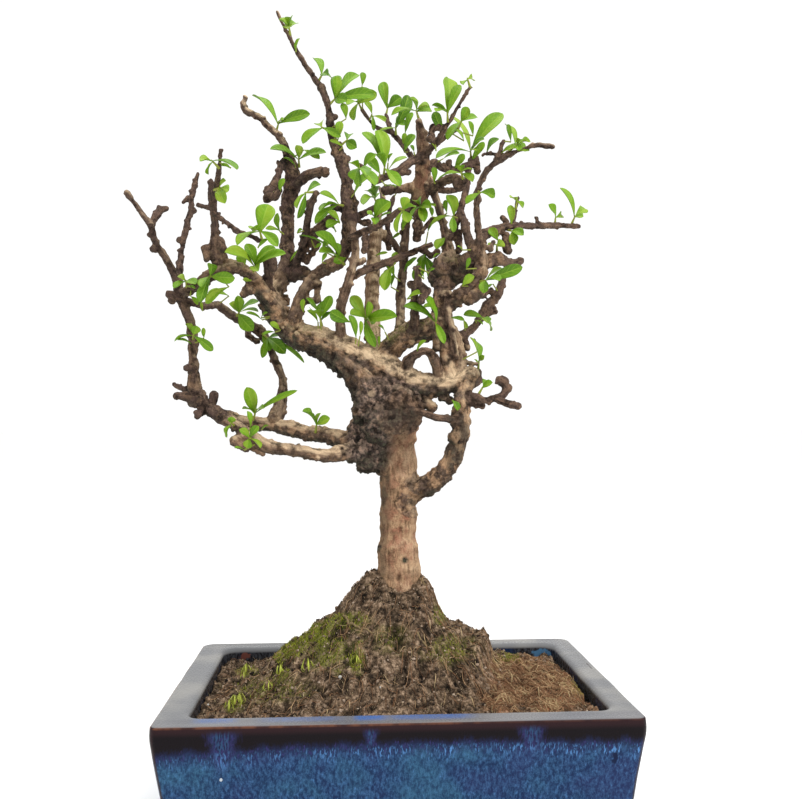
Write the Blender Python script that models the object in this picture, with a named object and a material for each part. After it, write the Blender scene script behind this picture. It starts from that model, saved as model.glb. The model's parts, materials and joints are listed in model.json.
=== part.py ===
"""Fukien tea bonsai in a glazed pot: pot, drainage screens, soil, wood and leaf sprays, in metres with +Z up.

The origin is the centre of the pot's flat base. The tree's limbs are laid out on the picture's own pixel grid
and carried into space by the view that the pot's rim corners give, so every route keeps its outline.
"""
import math

import bmesh
import bpy
import numpy as np
from mathutils.bvhtree import BVHTree

# Driving dimensions
MM = 0.001
UP = np.array((0.0, 0.0, 1.0))
RIM_WIDTH = 0.210
RIM_DEPTH = 0.1534
POT_HEIGHT = 0.062
LIP_HEIGHT = 0.0075
RIM_TOP_WIDTH = 0.0138
WALL_TAPER = math.radians(8.8)
FLOOR_THICKNESS = 0.008
FLOOR_WALL = 0.008
CORNER_RADIUS = 0.0038
CORNER_STEPS = 4
FOOT_CORNER_SHARE = 0.7
BASE_CORNER_SHARE = 0.8
INNER_CORNER_SHARE = 1.0
BASE_CHAMFER = 0.0015
GLAZE_EDGE = 0.0008
DRAIN_X = 0.045
DRAIN_RADIUS = 0.007
DRAIN_SIDES = 20
CUT_REACH = 0.01
SCREEN_SIDE = 0.024
SCREEN_THICKNESS = 0.001
SCREEN_OPENINGS = 3
GAP = 0.0003
TRUNK_HOLE_RADIUS = 0.0134
TRUNK_HOLE_BOTTOM = POT_HEIGHT + 0.016
TRUNK_HOLE_TOP = POT_HEIGHT + 0.08
TRUNK_HOLE_SIDES = 24

# The view that the rim corners give
VIEW_FOCAL_PX = 950.0
VIEW_CENTRE_PX = (401.0, 399.5)
VIEW_YAW = math.radians(3.10)
VIEW_PITCH = math.radians(1.62)
VIEW_ROLL = math.radians(-0.20)
VIEW_EYE = np.array((-0.0215, -0.4781, POT_HEIGHT + 0.1244))
DEPTH_SPREAD = 1.3

# Wood: each route lists (column px, row px, depth behind the trunk in mm before the spread, radius in mm)
ROUTES = {
    "trunk": [(399, 622, 0, 11.6), (398.5, 604, 0, 12.0), (398.5, 588, 0, 12.2), (399, 572, 0, 11.1),
              (398, 549, 0, 10.0), (398.3, 510, 0, 9.3), (399, 482, 0, 9.1), (399, 453, 0, 8.1),
              (394, 428, 0, 9.0), (386, 404, 0, 8.8), (384, 384, 0, 7.6), (390, 372, 0, 6.0)],
    "right_limb": [(403, 505, -1, 4.6), (417, 491, -4, 5.0), (432, 482.5, -7, 5.2), (448, 466, -9, 5.2),
                   (455, 451, -10, 4.5), (460, 434, -10, 4.5), (460.5, 415, -9, 4.4), (464, 392, -7, 4.4),
                   (469, 376, -4, 4.6)],
    "main_left_limb": [(470, 375, -4, 4.6), (460, 381, -4, 5.0), (440, 385, -4, 5.6), (422, 384, -3, 6.4),
                       (404, 379, -2, 6.9), (388, 371, 0, 7.2), (369, 361, 1, 7.2), (355, 353, 2, 7.2),
                       (340, 347, 4, 7.2), (311, 339, 6, 7.5), (294, 333, 8, 7.3), (282, 321, 9, 6.6),
                       (273, 307, 11, 6.2), (273, 291, 13, 5.8), (282, 277, 15, 5.4), (288, 264, 16, 4.2),
                       (287, 245, 18, 3.4), (288, 226, 20, 3.3), (288, 203, 22, 3.4), (291, 190, 22.5, 4.2),
                       (293, 176, 23.5, 4.5), (291, 166, 24, 3.8), (288, 156, 24.5, 2.7), (285, 146, 25, 2.1),
                       (279, 136.5, 26, 2.0), (271, 129, 27, 1.9), (257, 116, 28, 1.8), (246, 111, 29, 2.1),
                       (243, 103, 30, 1.6), (246, 98, 30, 1.2)],
    "under_limb": [(300, 340, 8, 4.8), (319, 347, 6, 6.0), (338, 357, 4, 6.6), (356, 372, 2, 7.6),
                   (370, 394, 0, 9.0)],
    "low_left_upper": [(366, 440, 0, 6.5), (348, 441, 2, 4.6), (328, 435.5, 6, 4.2), (307, 433, 9, 4.0),
                       (290, 428.5, 11, 3.9), (267, 424, 12, 3.7), (243, 421.5, 12, 3.2), (221, 414.5, 9, 3.2),
                       (206, 406, 5, 3.7), (198, 398, 3, 4.1), (195, 388, 2, 3.5), (194, 376, 1, 2.8),
                       (193, 357.6, 0, 2.5), (193, 340, 0, 2.5), (190.7, 325, 0, 2.4), (186, 310, -1, 2.4),
                       (180, 296, -2, 2.6), (176, 280, -4, 2.1), (168, 262, -6, 2.0), (160, 250, -8, 1.9),
                       (154, 239, -10, 1.8), (150.5, 225, -12, 1.9), (143.6, 216, -13, 1.4),
                       (134.4, 203, -14, 1.3), (127, 193, -15, 1.5)],
    "low_left_lower": [(366, 452, -4, 6.0), (346, 452, -9, 4.2), (328, 455.5, -14, 3.3), (298, 451, -18, 3.1),
                       (267, 446, -19, 3.0), (252, 437, -17, 3.1), (236.5, 426, -12, 3.1), (221, 417, -4, 3.2),
                       (207, 407, 3, 3.2)],
    "left_tip_side": [(150.5, 226, -12, 1.9), (156, 216, -8, 2.0), (161, 210, -5, 1.9), (167, 209, -3, 1.3)],
    "left_end_stub_low": [(199, 401, 3, 2.8), (188, 397, -2, 2.3), (176, 396, -5, 1.8)],
    "left_end_stub_high": [(197, 393, 2, 2.2), (186, 390, 7, 1.5), (174, 384.5, 11, 1.3)],
    "left_end_spur": [(206, 406, 5, 2.6), (200, 413, 0, 2.2), (197, 417, -2, 1.6)],
    "left_end_knob": [(209, 409, 4, 2.4), (213, 402, 3, 2.3), (214, 395, 3, 2.0)],
    "left_upright_spur_low": [(194, 368, 0, 1.9), (186, 368, -5, 1.5)],
    "low_left_twig": [(274, 421, 12, 4.0), (278, 411, 14, 3.7), (281, 399, 16, 3.2), (283, 386, 18, 2.6),
                      (281, 374, 20, 2.3), (275, 360, 22, 2.2), (270, 348, 23, 2.1), (266, 340, 24, 2.3),
                      (260, 331, 24, 2.9), (250, 325, 22, 2.4), (238, 319, 19, 2.4), (226, 311, 15, 2.3),
                      (218, 305.5, 12, 2.0), (203, 305.5, 5, 1.9), (184, 300, -2, 2.0)],
    "left_second_upright": [(180, 292, -2, 2.0), (179, 280, 1, 1.9), (180, 265, 5, 1.8), (182.6, 245, 10, 1.7),
                            (187, 225, 14, 1.7), (190.7, 209, 17, 1.6), (192, 196, 19, 1.5),
                            (194.7, 185, 20, 1.4), (197.6, 174, 21, 1.1)],
    "left_arm": [(283, 316, 9, 5.0), (270, 301, 6, 4.8), (259, 286, 2, 4.2), (250, 275, -2, 3.6),
                 (239, 268, -7, 3.3), (227, 267, -10, 3.4), (215, 273, -11, 3.3), (198, 284, -8, 2.8),
                 (181, 296, -2, 2.6)],
    "left_node_stub": [(181, 297, -2, 2.4), (174, 297, -5, 2.2), (169, 294, -7, 1.8)],
    "left_arm_upright": [(222, 266, -10, 3.6), (216, 255, -12, 3.4), (214, 246, -13, 2.6), (215, 227, -16, 1.9),
                         (213.6, 212.5, -19, 1.9), (213, 199, -21, 1.9), (211, 182, -23, 1.4)],
    "left_arm_fork": [(213, 203, -20, 1.6), (217, 184, -26, 1.5), (219, 168, -29, 1.2), (220.4, 150, -32, 0.9)],
    "left_arm_side": [(214, 212, -19, 1.4), (219, 217, -22, 1.2), (230, 225, -26, 1.2), (238, 232, -29, 1.5),
                      (248, 235, -31, 1.3), (261, 241, -33, 1.2)],
    "left_arm_stub": [(213.4, 209, -19, 1.4), (207, 207, -17, 1.3), (198, 205, -15, 1.1)],
    "crown_left_stub": [(293, 188, 22, 3.0), (300, 181, 19, 2.7), (310, 174.5, 14, 2.7), (319, 172, 9, 2.8),
                        (325, 172, 6, 2.6)],
    "crown_left_twig": [(289, 160, 24, 2.2), (282, 163, 20, 1.7), (278.5, 175, 15, 1.8), (273, 187, 11, 2.6),
                        (267, 199, 7, 2.5)],
    "burl_stub": [(266, 292, 6, 3.0), (269, 277, 2, 2.2), (266, 262, -2, 1.6)],
    "burl_twig": [(293, 272, 14, 2.4), (299, 257, 8, 2.1), (304, 241, 3, 2.0), (308, 218, -3, 1.8),
                  (311, 204, -6, 1.8), (316, 193, -9, 1.3)],
    "burl_stub_right": [(300, 256, 8, 2.3), (310, 238, 5, 2.6), (321, 227, 1, 2.8), (331, 220, -3, 2.8)],
    "leader_foot": [(292, 328, 7, 4.6), (297, 310, 4, 3.6), (303, 294, 4, 3.0), (312, 280, 5, 3.0),
                    (324, 269, 3, 3.0), (337, 262, 0, 3.6), (346, 248, 0, 3.0), (349, 228, 1, 3.5),
                    (349, 203, 2, 4.2), (347, 191, 3, 3.3), (346, 182, 3, 2.4), (344, 170, 4, 3.1),
                    (341, 159, 4, 3.5), (336, 147, 5, 3.2), (332, 137, 5, 2.5), (330, 120, 6, 2.1),
                    (327, 103, 6, 1.9), (321, 88, 6, 2.0), (317, 82, 6, 1.5), (304, 63, 5, 1.3),
                    (292, 42, 4, 1.1), (277, 12, 3, 0.8)],
    "pink_branch": [(342, 345, 4, 3.4), (340, 321, -2, 2.6), (342, 302, -6, 2.4), (348, 283, -8, 2.3),
                    (355, 257, -7, 2.2), (355, 242, -5, 2.1), (351, 226, -1, 2.0)],
    "centre_sweep": [(350, 279, -8, 1.9), (361, 272, -2, 1.9), (380, 265, 4, 1.8), (399, 258, 9, 1.7),
                     (417, 250, 14, 1.6), (431, 245, 18, 1.3)],
    "centre_front": [(350, 240, -3, 1.9), (360, 233, -10, 1.8), (374, 227, -16, 1.8), (390, 218, -21, 1.7),
                     (400, 210, -24, 1.4)],
    "centre_back_a": [(374, 352, 2, 4.4), (373, 333, 6, 4.0), (372, 315, 10, 3.9), (372, 289, 14, 3.8),
                      (373, 270, 17, 3.8), (374, 251, 20, 3.8), (376, 234, 22, 3.4), (378, 216, 25, 2.2),
                      (383, 200, 29, 1.5), (380, 188, 33, 1.0)],
    "centre_back_b": [(400, 336, 3, 3.2), (400, 321, 8, 2.7), (400.5, 306, 12, 2.6), (401, 289, 14, 2.5),
                      (403, 271, 15, 2.4), (405, 238, 14, 2.3), (407, 217, 11, 2.3), (415, 200, 8, 2.6)],
    "centre_dark": [(404, 262, 16, 1.8), (396, 246, 22, 1.7), (388, 232, 27, 1.6), (389, 214, 31, 1.4),
                    (394, 196, 35, 1.0)],
    "centre_short": [(414, 330, 0, 2.6), (415, 314, -5, 2.2), (414, 298, -9, 1.9), (417, 283, -12, 1.9),
                     (418, 268, -15, 1.6)],
    "mossy_rise": [(378, 362, 0, 5.2), (387, 351, 1, 4.8), (397, 340, 2, 5.0), (412, 331, 2, 5.1),
                   (429, 327, 1, 4.9), (444, 313, 0, 4.2)],
    "centre_loop": [(405, 374, -3, 3.2), (408, 363, -6, 2.8), (414, 355, -9, 2.1), (426, 351, -10, 1.9),
                    (434, 358, -9, 2.6), (438, 372, -6, 2.8), (439, 383, -4, 3.0)],
    "right_leader": [(452, 380, -4, 4.8), (447, 366, -3, 4.1), (447, 347, -2, 3.8), (445, 328, -1, 4.0),
                     (441, 308, 0, 4.3), (442, 291, 2, 4.6), (448, 272, 3, 5.0), (449, 254, 4, 3.3),
                     (447, 241, 5, 2.4), (441.6, 219, 5, 2.0), (436, 200, 5, 1.9), (430, 181, 4, 2.6)],
    "right_light": [(455, 356, -5, 2.2), (452, 334, -5, 1.9), (448, 312, -4, 2.0), (449, 294, -2, 2.4)],
    "crown_column": [(418, 203, 8, 4.2), (422, 188, 6, 5.0), (423, 170, 4, 4.2), (423, 150, 2, 3.5),
                     (421, 134, 1, 2.6), (419, 121, 0, 1.5)],
    "right_root": [(460, 382, -4, 3.4), (459.5, 352, -1, 3.2), (452, 330, 0, 3.0)],
    "crown_front": [(424, 158, 2, 2.2), (414, 160, -3, 2.0), (402, 168, -10, 1.9), (387, 176, -16, 1.7),
                    (374, 181, -21, 1.6), (367, 172, -24, 1.4), (358, 164, -27, 1.1)],
    "crown_back_left": [(424, 168, 4, 2.0), (415, 160, 10, 1.7), (409, 154, 14, 1.6), (401, 143, 19, 1.5),
                        (391, 131, 23, 1.4), (386, 115, 27, 1.0)],
    "crown_back_thin": [(391, 132, 23, 1.2), (375, 126, 28, 1.1), (362, 110, 31, 0.9)],
    "crown_arch": [(427, 172, 4, 2.0), (434, 163, 8, 1.9), (442, 168, 12, 1.9), (454, 170, 16, 1.8),
                   (470, 165, 20, 1.8)],
    "crown_arch_stub": [(448, 169, 14, 1.7), (449, 162, 15, 1.5)],
    "crown_right_front": [(432, 190, 4, 2.4), (442, 182, -4, 2.3), (455, 178, -10, 2.3), (464, 182, -14, 1.6)],
    "crown_right_stalk": [(448, 240, 5, 2.4), (457, 222, 8, 1.9), (462, 205, 12, 1.8), (466, 189, 16, 1.8),
                          (468, 172, 19, 1.7), (471, 160, 21, 1.5)],
    "crown_right_link": [(460, 210, 11, 1.8), (464, 222, 5, 2.0), (468, 238, -2, 2.2), (474, 254, -9, 2.4)],
    "crown_top_twig": [(424, 154, 2, 2.0), (437, 142, -4, 1.6), (446, 127, -8, 1.2), (470, 87, -14, 0.8)],
    "crown_top_side": [(436, 143, -4, 1.4), (447, 136, -2, 1.2), (457.6, 129, 0, 0.9)],
    "right_arm": [(444, 306, 0, 4.2), (455, 300, -4, 4.0), (468, 289, -8, 3.8), (479, 274, -10, 3.6),
                  (482, 260, -10, 3.0), (480, 246, -10, 1.9), (478, 226, -12, 1.5), (477, 213, -14, 1.5),
                  (476.7, 200, -15, 1.5), (478, 188, -17, 1.5), (484, 175, -19, 1.4), (492, 165, -22, 1.5),
                  (501, 159, -24, 2.0), (511, 153.5, -27, 1.4), (524, 149, -31, 0.9), (537, 145.5, -34, 1.3),
                  (553, 147, -37, 1.2)],
    "right_arm_stub_left": [(500, 158, -24, 1.4), (494, 154, -21, 1.1), (484, 154, -16, 0.9)],
    "right_arm_stub_up": [(500, 158, -24, 1.4), (500, 149, -26, 1.1), (503.5, 141.6, -27, 0.9)],
    "right_reach": [(474, 250, -9, 2.8), (483, 237, -4, 2.6), (494, 230, 2, 2.4), (513, 226, 8, 1.9),
                    (537, 226, 14, 1.7), (560, 225.5, 18, 1.6), (579, 226.7, 21, 1.2)],
    "right_reach_spur": [(537, 227, 14, 1.4), (537, 218, 16, 1.1)],
    "right_reach_upright": [(512, 227, 8, 1.7), (515, 212, 13, 1.2), (518, 198, 17, 1.0)],
    "right_arm_spur": [(480, 266, -10, 3.6), (491, 261, -6, 3.8), (501, 260, -2, 3.0), (511, 264, 2, 2.3),
                       (521, 261, 5, 1.9)],
    "right_low": [(448, 340, -2, 3.2), (462, 335, 4, 2.4), (474, 327, 9, 2.2), (482, 315, 13, 2.4),
                  (487, 305, 15, 2.8), (497, 296, 17, 2.5), (503, 279, 19, 1.9)],
    "right_hook": [(461, 396, -7, 3.6), (474, 397, -10, 2.3), (484, 400.5, -12, 1.8), (494, 398.5, -13, 1.8),
                   (503, 395, -13, 1.8), (506, 387, -13, 2.1), (502, 381, -13, 2.2)],
    "right_hook_spur": [(495, 398.5, -13, 1.8), (505, 402.5, -16, 1.6), (516, 406, -19, 1.8)],
    "right_elbow_stub": [(469, 385, -5, 2.6), (477, 382, 0, 2.2), (478, 371, 3, 1.7)],
    "burl_bridge": [(408, 411, -10, 3.0), (420, 412, -14, 1.9), (434, 417, -14, 1.7), (446, 419, -13, 1.7),
                    (459, 420, -10, 2.0)],
    "leader_stub_left": [(348, 209, 1, 2.2), (339, 208, 4, 1.8), (332, 207, 7, 1.4)],
    "leader_stub_right": [(350, 219, 0, 2.2), (360, 215, 6, 1.9), (377, 207, 13, 1.5)],
}

# Burl lumps and knots: (column px, row px, depth in mm, half width, half depth and half height in mm)
LUMPS = [
    (388, 424, -1, 16.0, 15.0, 13.0), (372, 446, -2, 10.5, 10.0, 9.5), (368, 462, -4, 6.2, 6.8, 6.2),
    (368, 412, -2, 8.6, 11.0, 9.0), (409, 414, -3, 8.0, 10.0, 9.0), (384, 396, 1, 12.0, 12.5, 10.0),
    (365, 430, 3, 8.8, 11.0, 8.5), (398, 400, -6, 8.0, 8.0, 7.5), (380, 430, -8, 8.5, 7.0, 8.0),
    (401, 438, -2, 7.3, 8.3, 7.0), (390, 410, 7, 10.0, 8.0, 9.0), (385, 468, -4, 5.2, 6.2, 5.0),
    (408.5, 361, -5, 3.3, 3.2, 3.2), (292, 273, 15, 6.6, 6.2, 5.4), (302, 273, 12, 5.4, 5.8, 4.0),
    (337, 263, 0, 4.2, 4.0, 3.8), (460, 270, -1, 6.8, 6.4, 7.2), (446, 268, 2, 7.4, 6.4, 7.6),
    (436, 276, 4, 4.6, 4.8, 5.6), (469, 263, -6, 5.4, 5.2, 5.6), (459, 184, -11, 3.6, 3.4, 3.6),
    (241, 437, -14, 3.0, 2.6, 3.2), (214, 396, 3, 2.5, 2.4, 2.8), (196, 400, 2, 5.0, 4.8, 4.4),
    (260, 331, 24, 3.5, 3.2, 3.3), (181, 296, -2, 3.8, 3.6, 3.8), (172, 301, -5, 2.4, 2.2, 1.9),
    (219, 258, -11, 4.6, 4.4, 4.2), (231, 267, -9, 4.2, 4.0, 3.8), (321, 88, 6, 2.5, 2.4, 2.4),
    (411, 284, -11, 2.3, 2.2, 2.2), (491, 309, 15.5, 2.9, 2.6, 2.8), (502, 381, -13, 2.6, 2.5, 2.6),
    (517, 406, -19.5, 2.3, 2.1, 2.1), (500, 158, -24, 2.7, 2.6, 2.6), (472, 162, 20, 2.3, 2.2, 2.2),
    (546, 146.5, -36, 2.3, 1.5, 1.5), (335, 117, 6, 1.9, 1.8, 1.7), (334, 153, 5, 2.2, 2.1, 2.0),
    (347, 160, 4, 2.1, 2.0, 2.0), (154, 249, -9, 2.4, 2.2, 2.0), (188.5, 199, 18.5, 2.0, 1.8, 1.8),
    (193, 211, 17, 2.2, 1.8, 1.9), (180, 240, 10.5, 2.1, 1.9, 1.8), (195, 186, 20, 1.9, 1.8, 1.9),
    (309, 204, -6, 2.4, 2.2, 2.2), (480, 272, -10, 4.4, 4.2, 4.2), (445, 300, 0, 5.2, 5.0, 4.8),
    (461, 379, -4, 5.8, 5.6, 5.2), (432, 484, -7, 4.9, 4.8, 4.6), (449, 353, -2, 4.6, 4.6, 4.8),
    (269, 190, 10, 2.8, 2.6, 2.7), (213, 199, -21, 2.4, 2.2, 2.3), (157, 214, -7, 2.4, 2.2, 2.4),
    (455, 437, -12, 4.0, 4.0, 4.2), (495, 232, 2, 3.0, 2.8, 2.8), (498, 259, -3, 4.0, 3.8, 3.8),
]
ROUTE_STEP = 0.009
TRUNK_SIDES = 12
LIMB_SIDES = 7
TWIG_SIDES = 5
TWIG_RADIUS = 0.003
END_DOME = 0.45
WOOD_SEED = 7
WOOD_SHARE = 0.61
BIG_LUMP = 0.0068
LUMP_GRAIN = 0.10
LIMB_GRAIN = 0.07

# Soil: height in mm over the rim at each distance in mm from the trunk, to the four sides
TRUNK_FOOT = (0.0031, 0.0)
MOUND_RIGHT = [(0, 49), (11, 50), (15, 46.4), (17.6, 41), (20, 33), (22.4, 29.6), (26, 24.2), (29, 23.2),
               (33, 21.2), (43, 19.4), (45, 16.5), (47.5, 9), (52, 5), (60, 2), (78, 0), (91, -6)]
MOUND_BACK = [(0, 47), (14, 47), (22, 38), (34, 24), (46, 8), (56, -3), (63, -7), (80, -7), (92, -7)]
MOUND_LEFT = [(0, 50), (12, 53), (15, 51.5), (19.4, 47.5), (23.3, 44), (26.8, 37.5), (29.4, 34), (33, 30.5),
              (47, 20), (60, 11), (66, 5), (78, -3), (91, -7)]
MOUND_FRONT = [(0, 44), (14, 43), (22, 36), (34, 22), (46, 9), (56, 0), (63, -3), (80, -4), (92, -5)]
SOIL_COLUMNS = 24
SOIL_ROWS = 16
SOIL_LUMPS = 0.0016
SOIL_EDGE_DEPTH = 0.008
SOIL_EDGE_DROP = 0.003
SOIL_EDGE_SLOPE = 2.2
SOIL_CALM_RADIUS = 0.014
SOIL_CALM_EDGE = 0.010

# Leaves
BLADE_THICKNESS = 0.00066
BLADE_FOLD = 0.16
BLADE_ARCH = 0.10
LONG_BLADE = 0.0135
BLADE_OUTLINE = ((0.36, 0.56), (0.72, 1.0), (0.93, 0.68))
SMALL_OUTLINE = ((0.45, 0.70), (0.84, 0.95))
BLADE_TESTS = 8
SEEN_FACING = np.array((0.0, -0.8, 0.6))
OPEN_FACING = np.array((0.0, -0.25, 1.0))
EXTRA_BREADTH = 0.52
LEAF_ANGLE = math.radians(137.5)
SWING_STEP = 0.13
SWING_TRIES = 60
ROLL_SPREAD = 0.5
ROLL_STEP = 0.35
SHOOT_RADIUS = 0.0010
SHOOT_SIDES = 4
SPRAY_SHARE = 0.68
SHOOT_WAIST = 0.7
ROOT_SHARES = (0.6, 0.9)
SHOOT_LENGTH = 0.0032
LEAF_SEED = 41
SHOOT_CLEARANCE = 0.0004
SHOOT_REACH = 0.02
SHOOT_STEP = 0.0001
SEAT_STEPS = 60
CLEAR_STEP = 0.00025
CLEAR_TRIES = 16
WOOD_CLEARANCE = 0.0006
LEAF_CLEARANCE = 0.0021

# Sprays: base (column px, row px, depth mm), the blades whose tips show as (column px, row px, depth mm from
# the base, width in mm), then how many more blades the tuft has and their length in mm
SPRAYS = {
    "tip_top": ((291, 41, 4), [(279, 19, -3, 4.5), (288, 24, -6, 5.5), (296, 22, 2, 5)], 2, 8),
    "tip_upper": ((318, 82, 6), [(315, 57, 3, 6), (327, 74, -5, 5), (333, 78, 6, 4.5)], 0, 8),
    "tip_right": ((331, 103, 6), [(346, 100, -6, 6.5), (374, 94, -2, 7), (332, 76, 2, 6),
                                  (358, 72, 6, 6)], 1, 10),
    "leader_left": ((331, 132, 5), [(302, 142, -3, 6.5), (321, 122, 4, 5.5), (340, 136, -6, 4)], 0, 8),
    "leader_right": ((339, 147, 5), [(356, 147, -4, 5.5), (349, 133, 5, 5)], 0, 9),
    "crown_left_low": ((299, 164, 22), [(271, 147, -6, 8), (297, 145, -3, 6), (325, 151, -6, 6)], 0, 10),
    "crown_left_mid": ((276, 132, 27), [(254, 93, 2, 7.5), (309, 113, -6, 6.5), (283, 119, -5, 4)], 0, 10),
    "arm_fork_top": ((218, 167, -30), [(200, 160, -4, 6), (246, 152, -5, 6.5), (209, 174, 3, 4)], 0, 7),
    "arm_fork_mid": ((214, 190, -25), [(224, 202, -8, 5.5), (229, 190, -3, 5), (225, 180, -6, 4)], 0, 8),
    "arm_side_big": ((262, 240, -33), [(268, 204, -2, 9), (236, 243, -5, 6), (253, 230, 5, 5),
                                       (278, 245, -4, 5)], 1, 9),
    "arm_side_low": ((253, 272, -4), [(227, 250, -14, 7.5), (273, 247, -12, 6), (284, 252, -9, 6)], 3, 11),
    "left_node": ((187, 289, -6), [(178, 276, -4, 5), (195, 283, -8, 5.5)], 1, 8),
    "left_arm_low": ((208, 279, -12), [(211, 262, -6, 5), (234, 278, -6, 6), (200, 301, -9, 5.5)], 2, 10),
    "burl_twig_top": ((316, 192, -9), [(296, 207, -4, 4), (298, 217, -2, 4), (318, 180, 3, 4)], 0, 7),
    "leader_mid_left": ((345, 206, 0), [(321, 192, -7, 5.5), (320, 209, -9, 6), (315, 222, -6, 5)], 0, 8),
    "leader_low_left": ((342, 262, -4), [(318, 231, -9, 6.5), (320, 250, -9, 5.5), (301, 232, 2, 4)], 1, 9),
    "leader_out_right": ((378, 206, 13), [(368, 189, -8, 6), (360, 199, -14, 6), (376, 192, 5, 5)], 1, 9),
    "centre_fan": ((358, 164, -27), [(354, 180, -4, 6.5), (372, 186, -6, 7), (364, 178, -9, 6)], 2, 9),
    "front_big": ((384, 173, -18), [(379, 129, 1, 7.5), (364, 130, 3, 6), (400, 185, -4, 6)], 1, 10),
    "centre_front_tip": ((400, 209, -25), [(407, 197, -3, 5), (408, 222, -4, 5), (396, 232, -2, 4)], 1, 8),
    "centre_front_mid": ((374, 226, -17), [(389, 201, -7, 8), (368, 213, -5, 5)], 1, 8),
    "column_low": ((420, 208, 6), [(416, 199, -14, 5), (430, 206, -12, 5.5), (424, 220, -12, 5)], 2, 9),
    "back_thin_top": ((362, 110, 31), [(359, 93, 3, 6.5), (347, 103, -8, 6), (376, 92, -4, 6.5),
                                       (352, 120, 2, 5)], 1, 9),
    "back_twig_top": ((386, 115, 27), [(377, 84, 2, 6), (401, 97, -2, 6.5), (391, 104, 6, 5)], 0, 9),
    "back_left_mid": ((396, 137, 21), [(409, 95, -3, 7), (404, 124, -6, 6), (378, 140, 6, 5)], 1, 9),
    "right_leader_top": ((419, 120, 0), [(411, 97, -2, 8), (391, 113, 4, 5), (431, 108, 3, 6)], 1, 9),
    "top_twig_tip": ((470, 87, -14), [(463, 84, -3, 4), (473, 79, 3, 4)], 0, 6),
    "top_twig_mid": ((448, 124, -9), [(449, 76, 3, 8.5), (436, 110, -6, 6), (462, 84, -5, 5)], 1, 9),
    "top_side": ((458, 129, 0), [(468, 107, -3, 5), (478, 116, 3, 4.5), (446, 140, -4, 5)], 0, 8),
    "arch_end": ((471, 158, 21), [(452, 113, 3, 7.5), (502, 112, -4, 8.5), (436, 155, -8, 6),
                                  (483, 138, -9, 5)], 1, 9),
    "right_front_tip": ((464, 182, -14), [(473, 181, -4, 5), (460, 165, -5, 4.5), (437, 178, 5, 5)], 1, 8),
    "stalk_low": ((458, 219, 8), [(448, 195, -7, 7), (453, 231, -8, 4), (430, 229, -8, 4)], 0, 8),
    "right_arm_mid": ((478, 191, -17), [(495, 196, -4, 6), (466, 203, -4, 4)], 0, 8),
    "right_arm_knot": ((508, 152, -26), [(507, 123, 2, 6), (529, 152, -4, 5), (518, 157, -6, 5)], 2, 7),
    "reach_upright": ((515, 213, 13), [(511, 197, -3, 5.5), (523, 206, 3, 4)], 0, 8),
    "reach_mid": ((508, 230, 6), [(523, 234, -8, 5), (516, 243, -6, 5)], 0, 8),
    "reach_spur": ((555, 223, 18), [(550, 204, -4, 5.5), (562, 214, 3, 4)], 0, 8),
    "reach_end": ((573, 221, 20), [(562, 187, -3, 6.5), (586, 208, 3, 5.5), (583, 216, -4, 4)], 0, 10),
    "right_long": ((483, 281, -13), [(522, 267, -7, 6), (499, 279, -10, 6), (483, 292, -6, 5)], 1, 10),
    "right_spur": ((497, 255, -2), [(503, 241, -3, 5), (489, 246, -6, 4)], 0, 8),
    "right_low_mid": ((478, 321, 12), [(488, 322, -10, 5), (464, 314, -6, 5), (492, 330, 4, 4)], 0, 9),
    "elbow": ((478, 370, 3), [(475, 338, 2, 7), (484, 356, -3, 3)], 0, 8),
    "hook": ((480, 392, -11), [(492, 382, -3, 4), (486, 379, 3, 3)], 0, 6),
    "centre_sweep_tip": ((428, 246, 17), [(421, 262, -5, 6), (434, 280, 1, 7), (403, 272, -4, 6)], 0, 9),
    "sweep_low": ((398, 259, 9), [(384, 289, -8, 6.5), (388, 275, -4, 5)], 0, 9),
    "centre_right": ((437, 326, -6), [(427, 296, -6, 7), (410, 297, -7, 6), (444, 342, -9, 4)], 0, 9),
    "centre_low": ((367, 324, 8), [(394, 316, -18, 7), (351, 313, -10, 7), (349, 297, -6, 6),
                                   (374, 346, -12, 5)], 2, 9),
    "left_burl_low": ((321, 322, 0), [(313, 309, -9, 7.5), (331, 296, -3, 5), (302, 300, -5, 4.5)], 1, 9),
    "twig_knot": ((263, 334, 22), [(285, 352, -8, 7), (262, 357, -6, 4), (305, 361, -3, 3.5)], 1, 9),
    "twig_left": ((236, 317, 17), [(252, 330, -7, 7.5), (258, 303, -6, 6.5), (230, 303, -5, 6)], 2, 10),
    "left_mid": ((193, 342, 0), [(174, 340, -4, 5), (197, 326, -5, 5), (213, 350, -4, 4.5)], 1, 8),
    "low_left_back": ((254, 417, 9), [(247, 388, -6, 7), (295, 390, -10, 3.2), (262, 404, -8, 4)], 1, 8),
    "low_left_front": ((316, 429, 4), [(304, 410, -7, 6.5), (329, 418, -5, 5), (320, 413, -2, 4)], 0, 8),
    "low_left_under": ((250, 437, -16), [(247, 448, -6, 4.5), (262, 449, -6, 4), (240, 429, -8, 4)], 0, 7),
    "left_low_tip": ((236, 427, -12), [(226, 437, -6, 4.5), (232, 417, -6, 4)], 0, 7),
}


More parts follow.
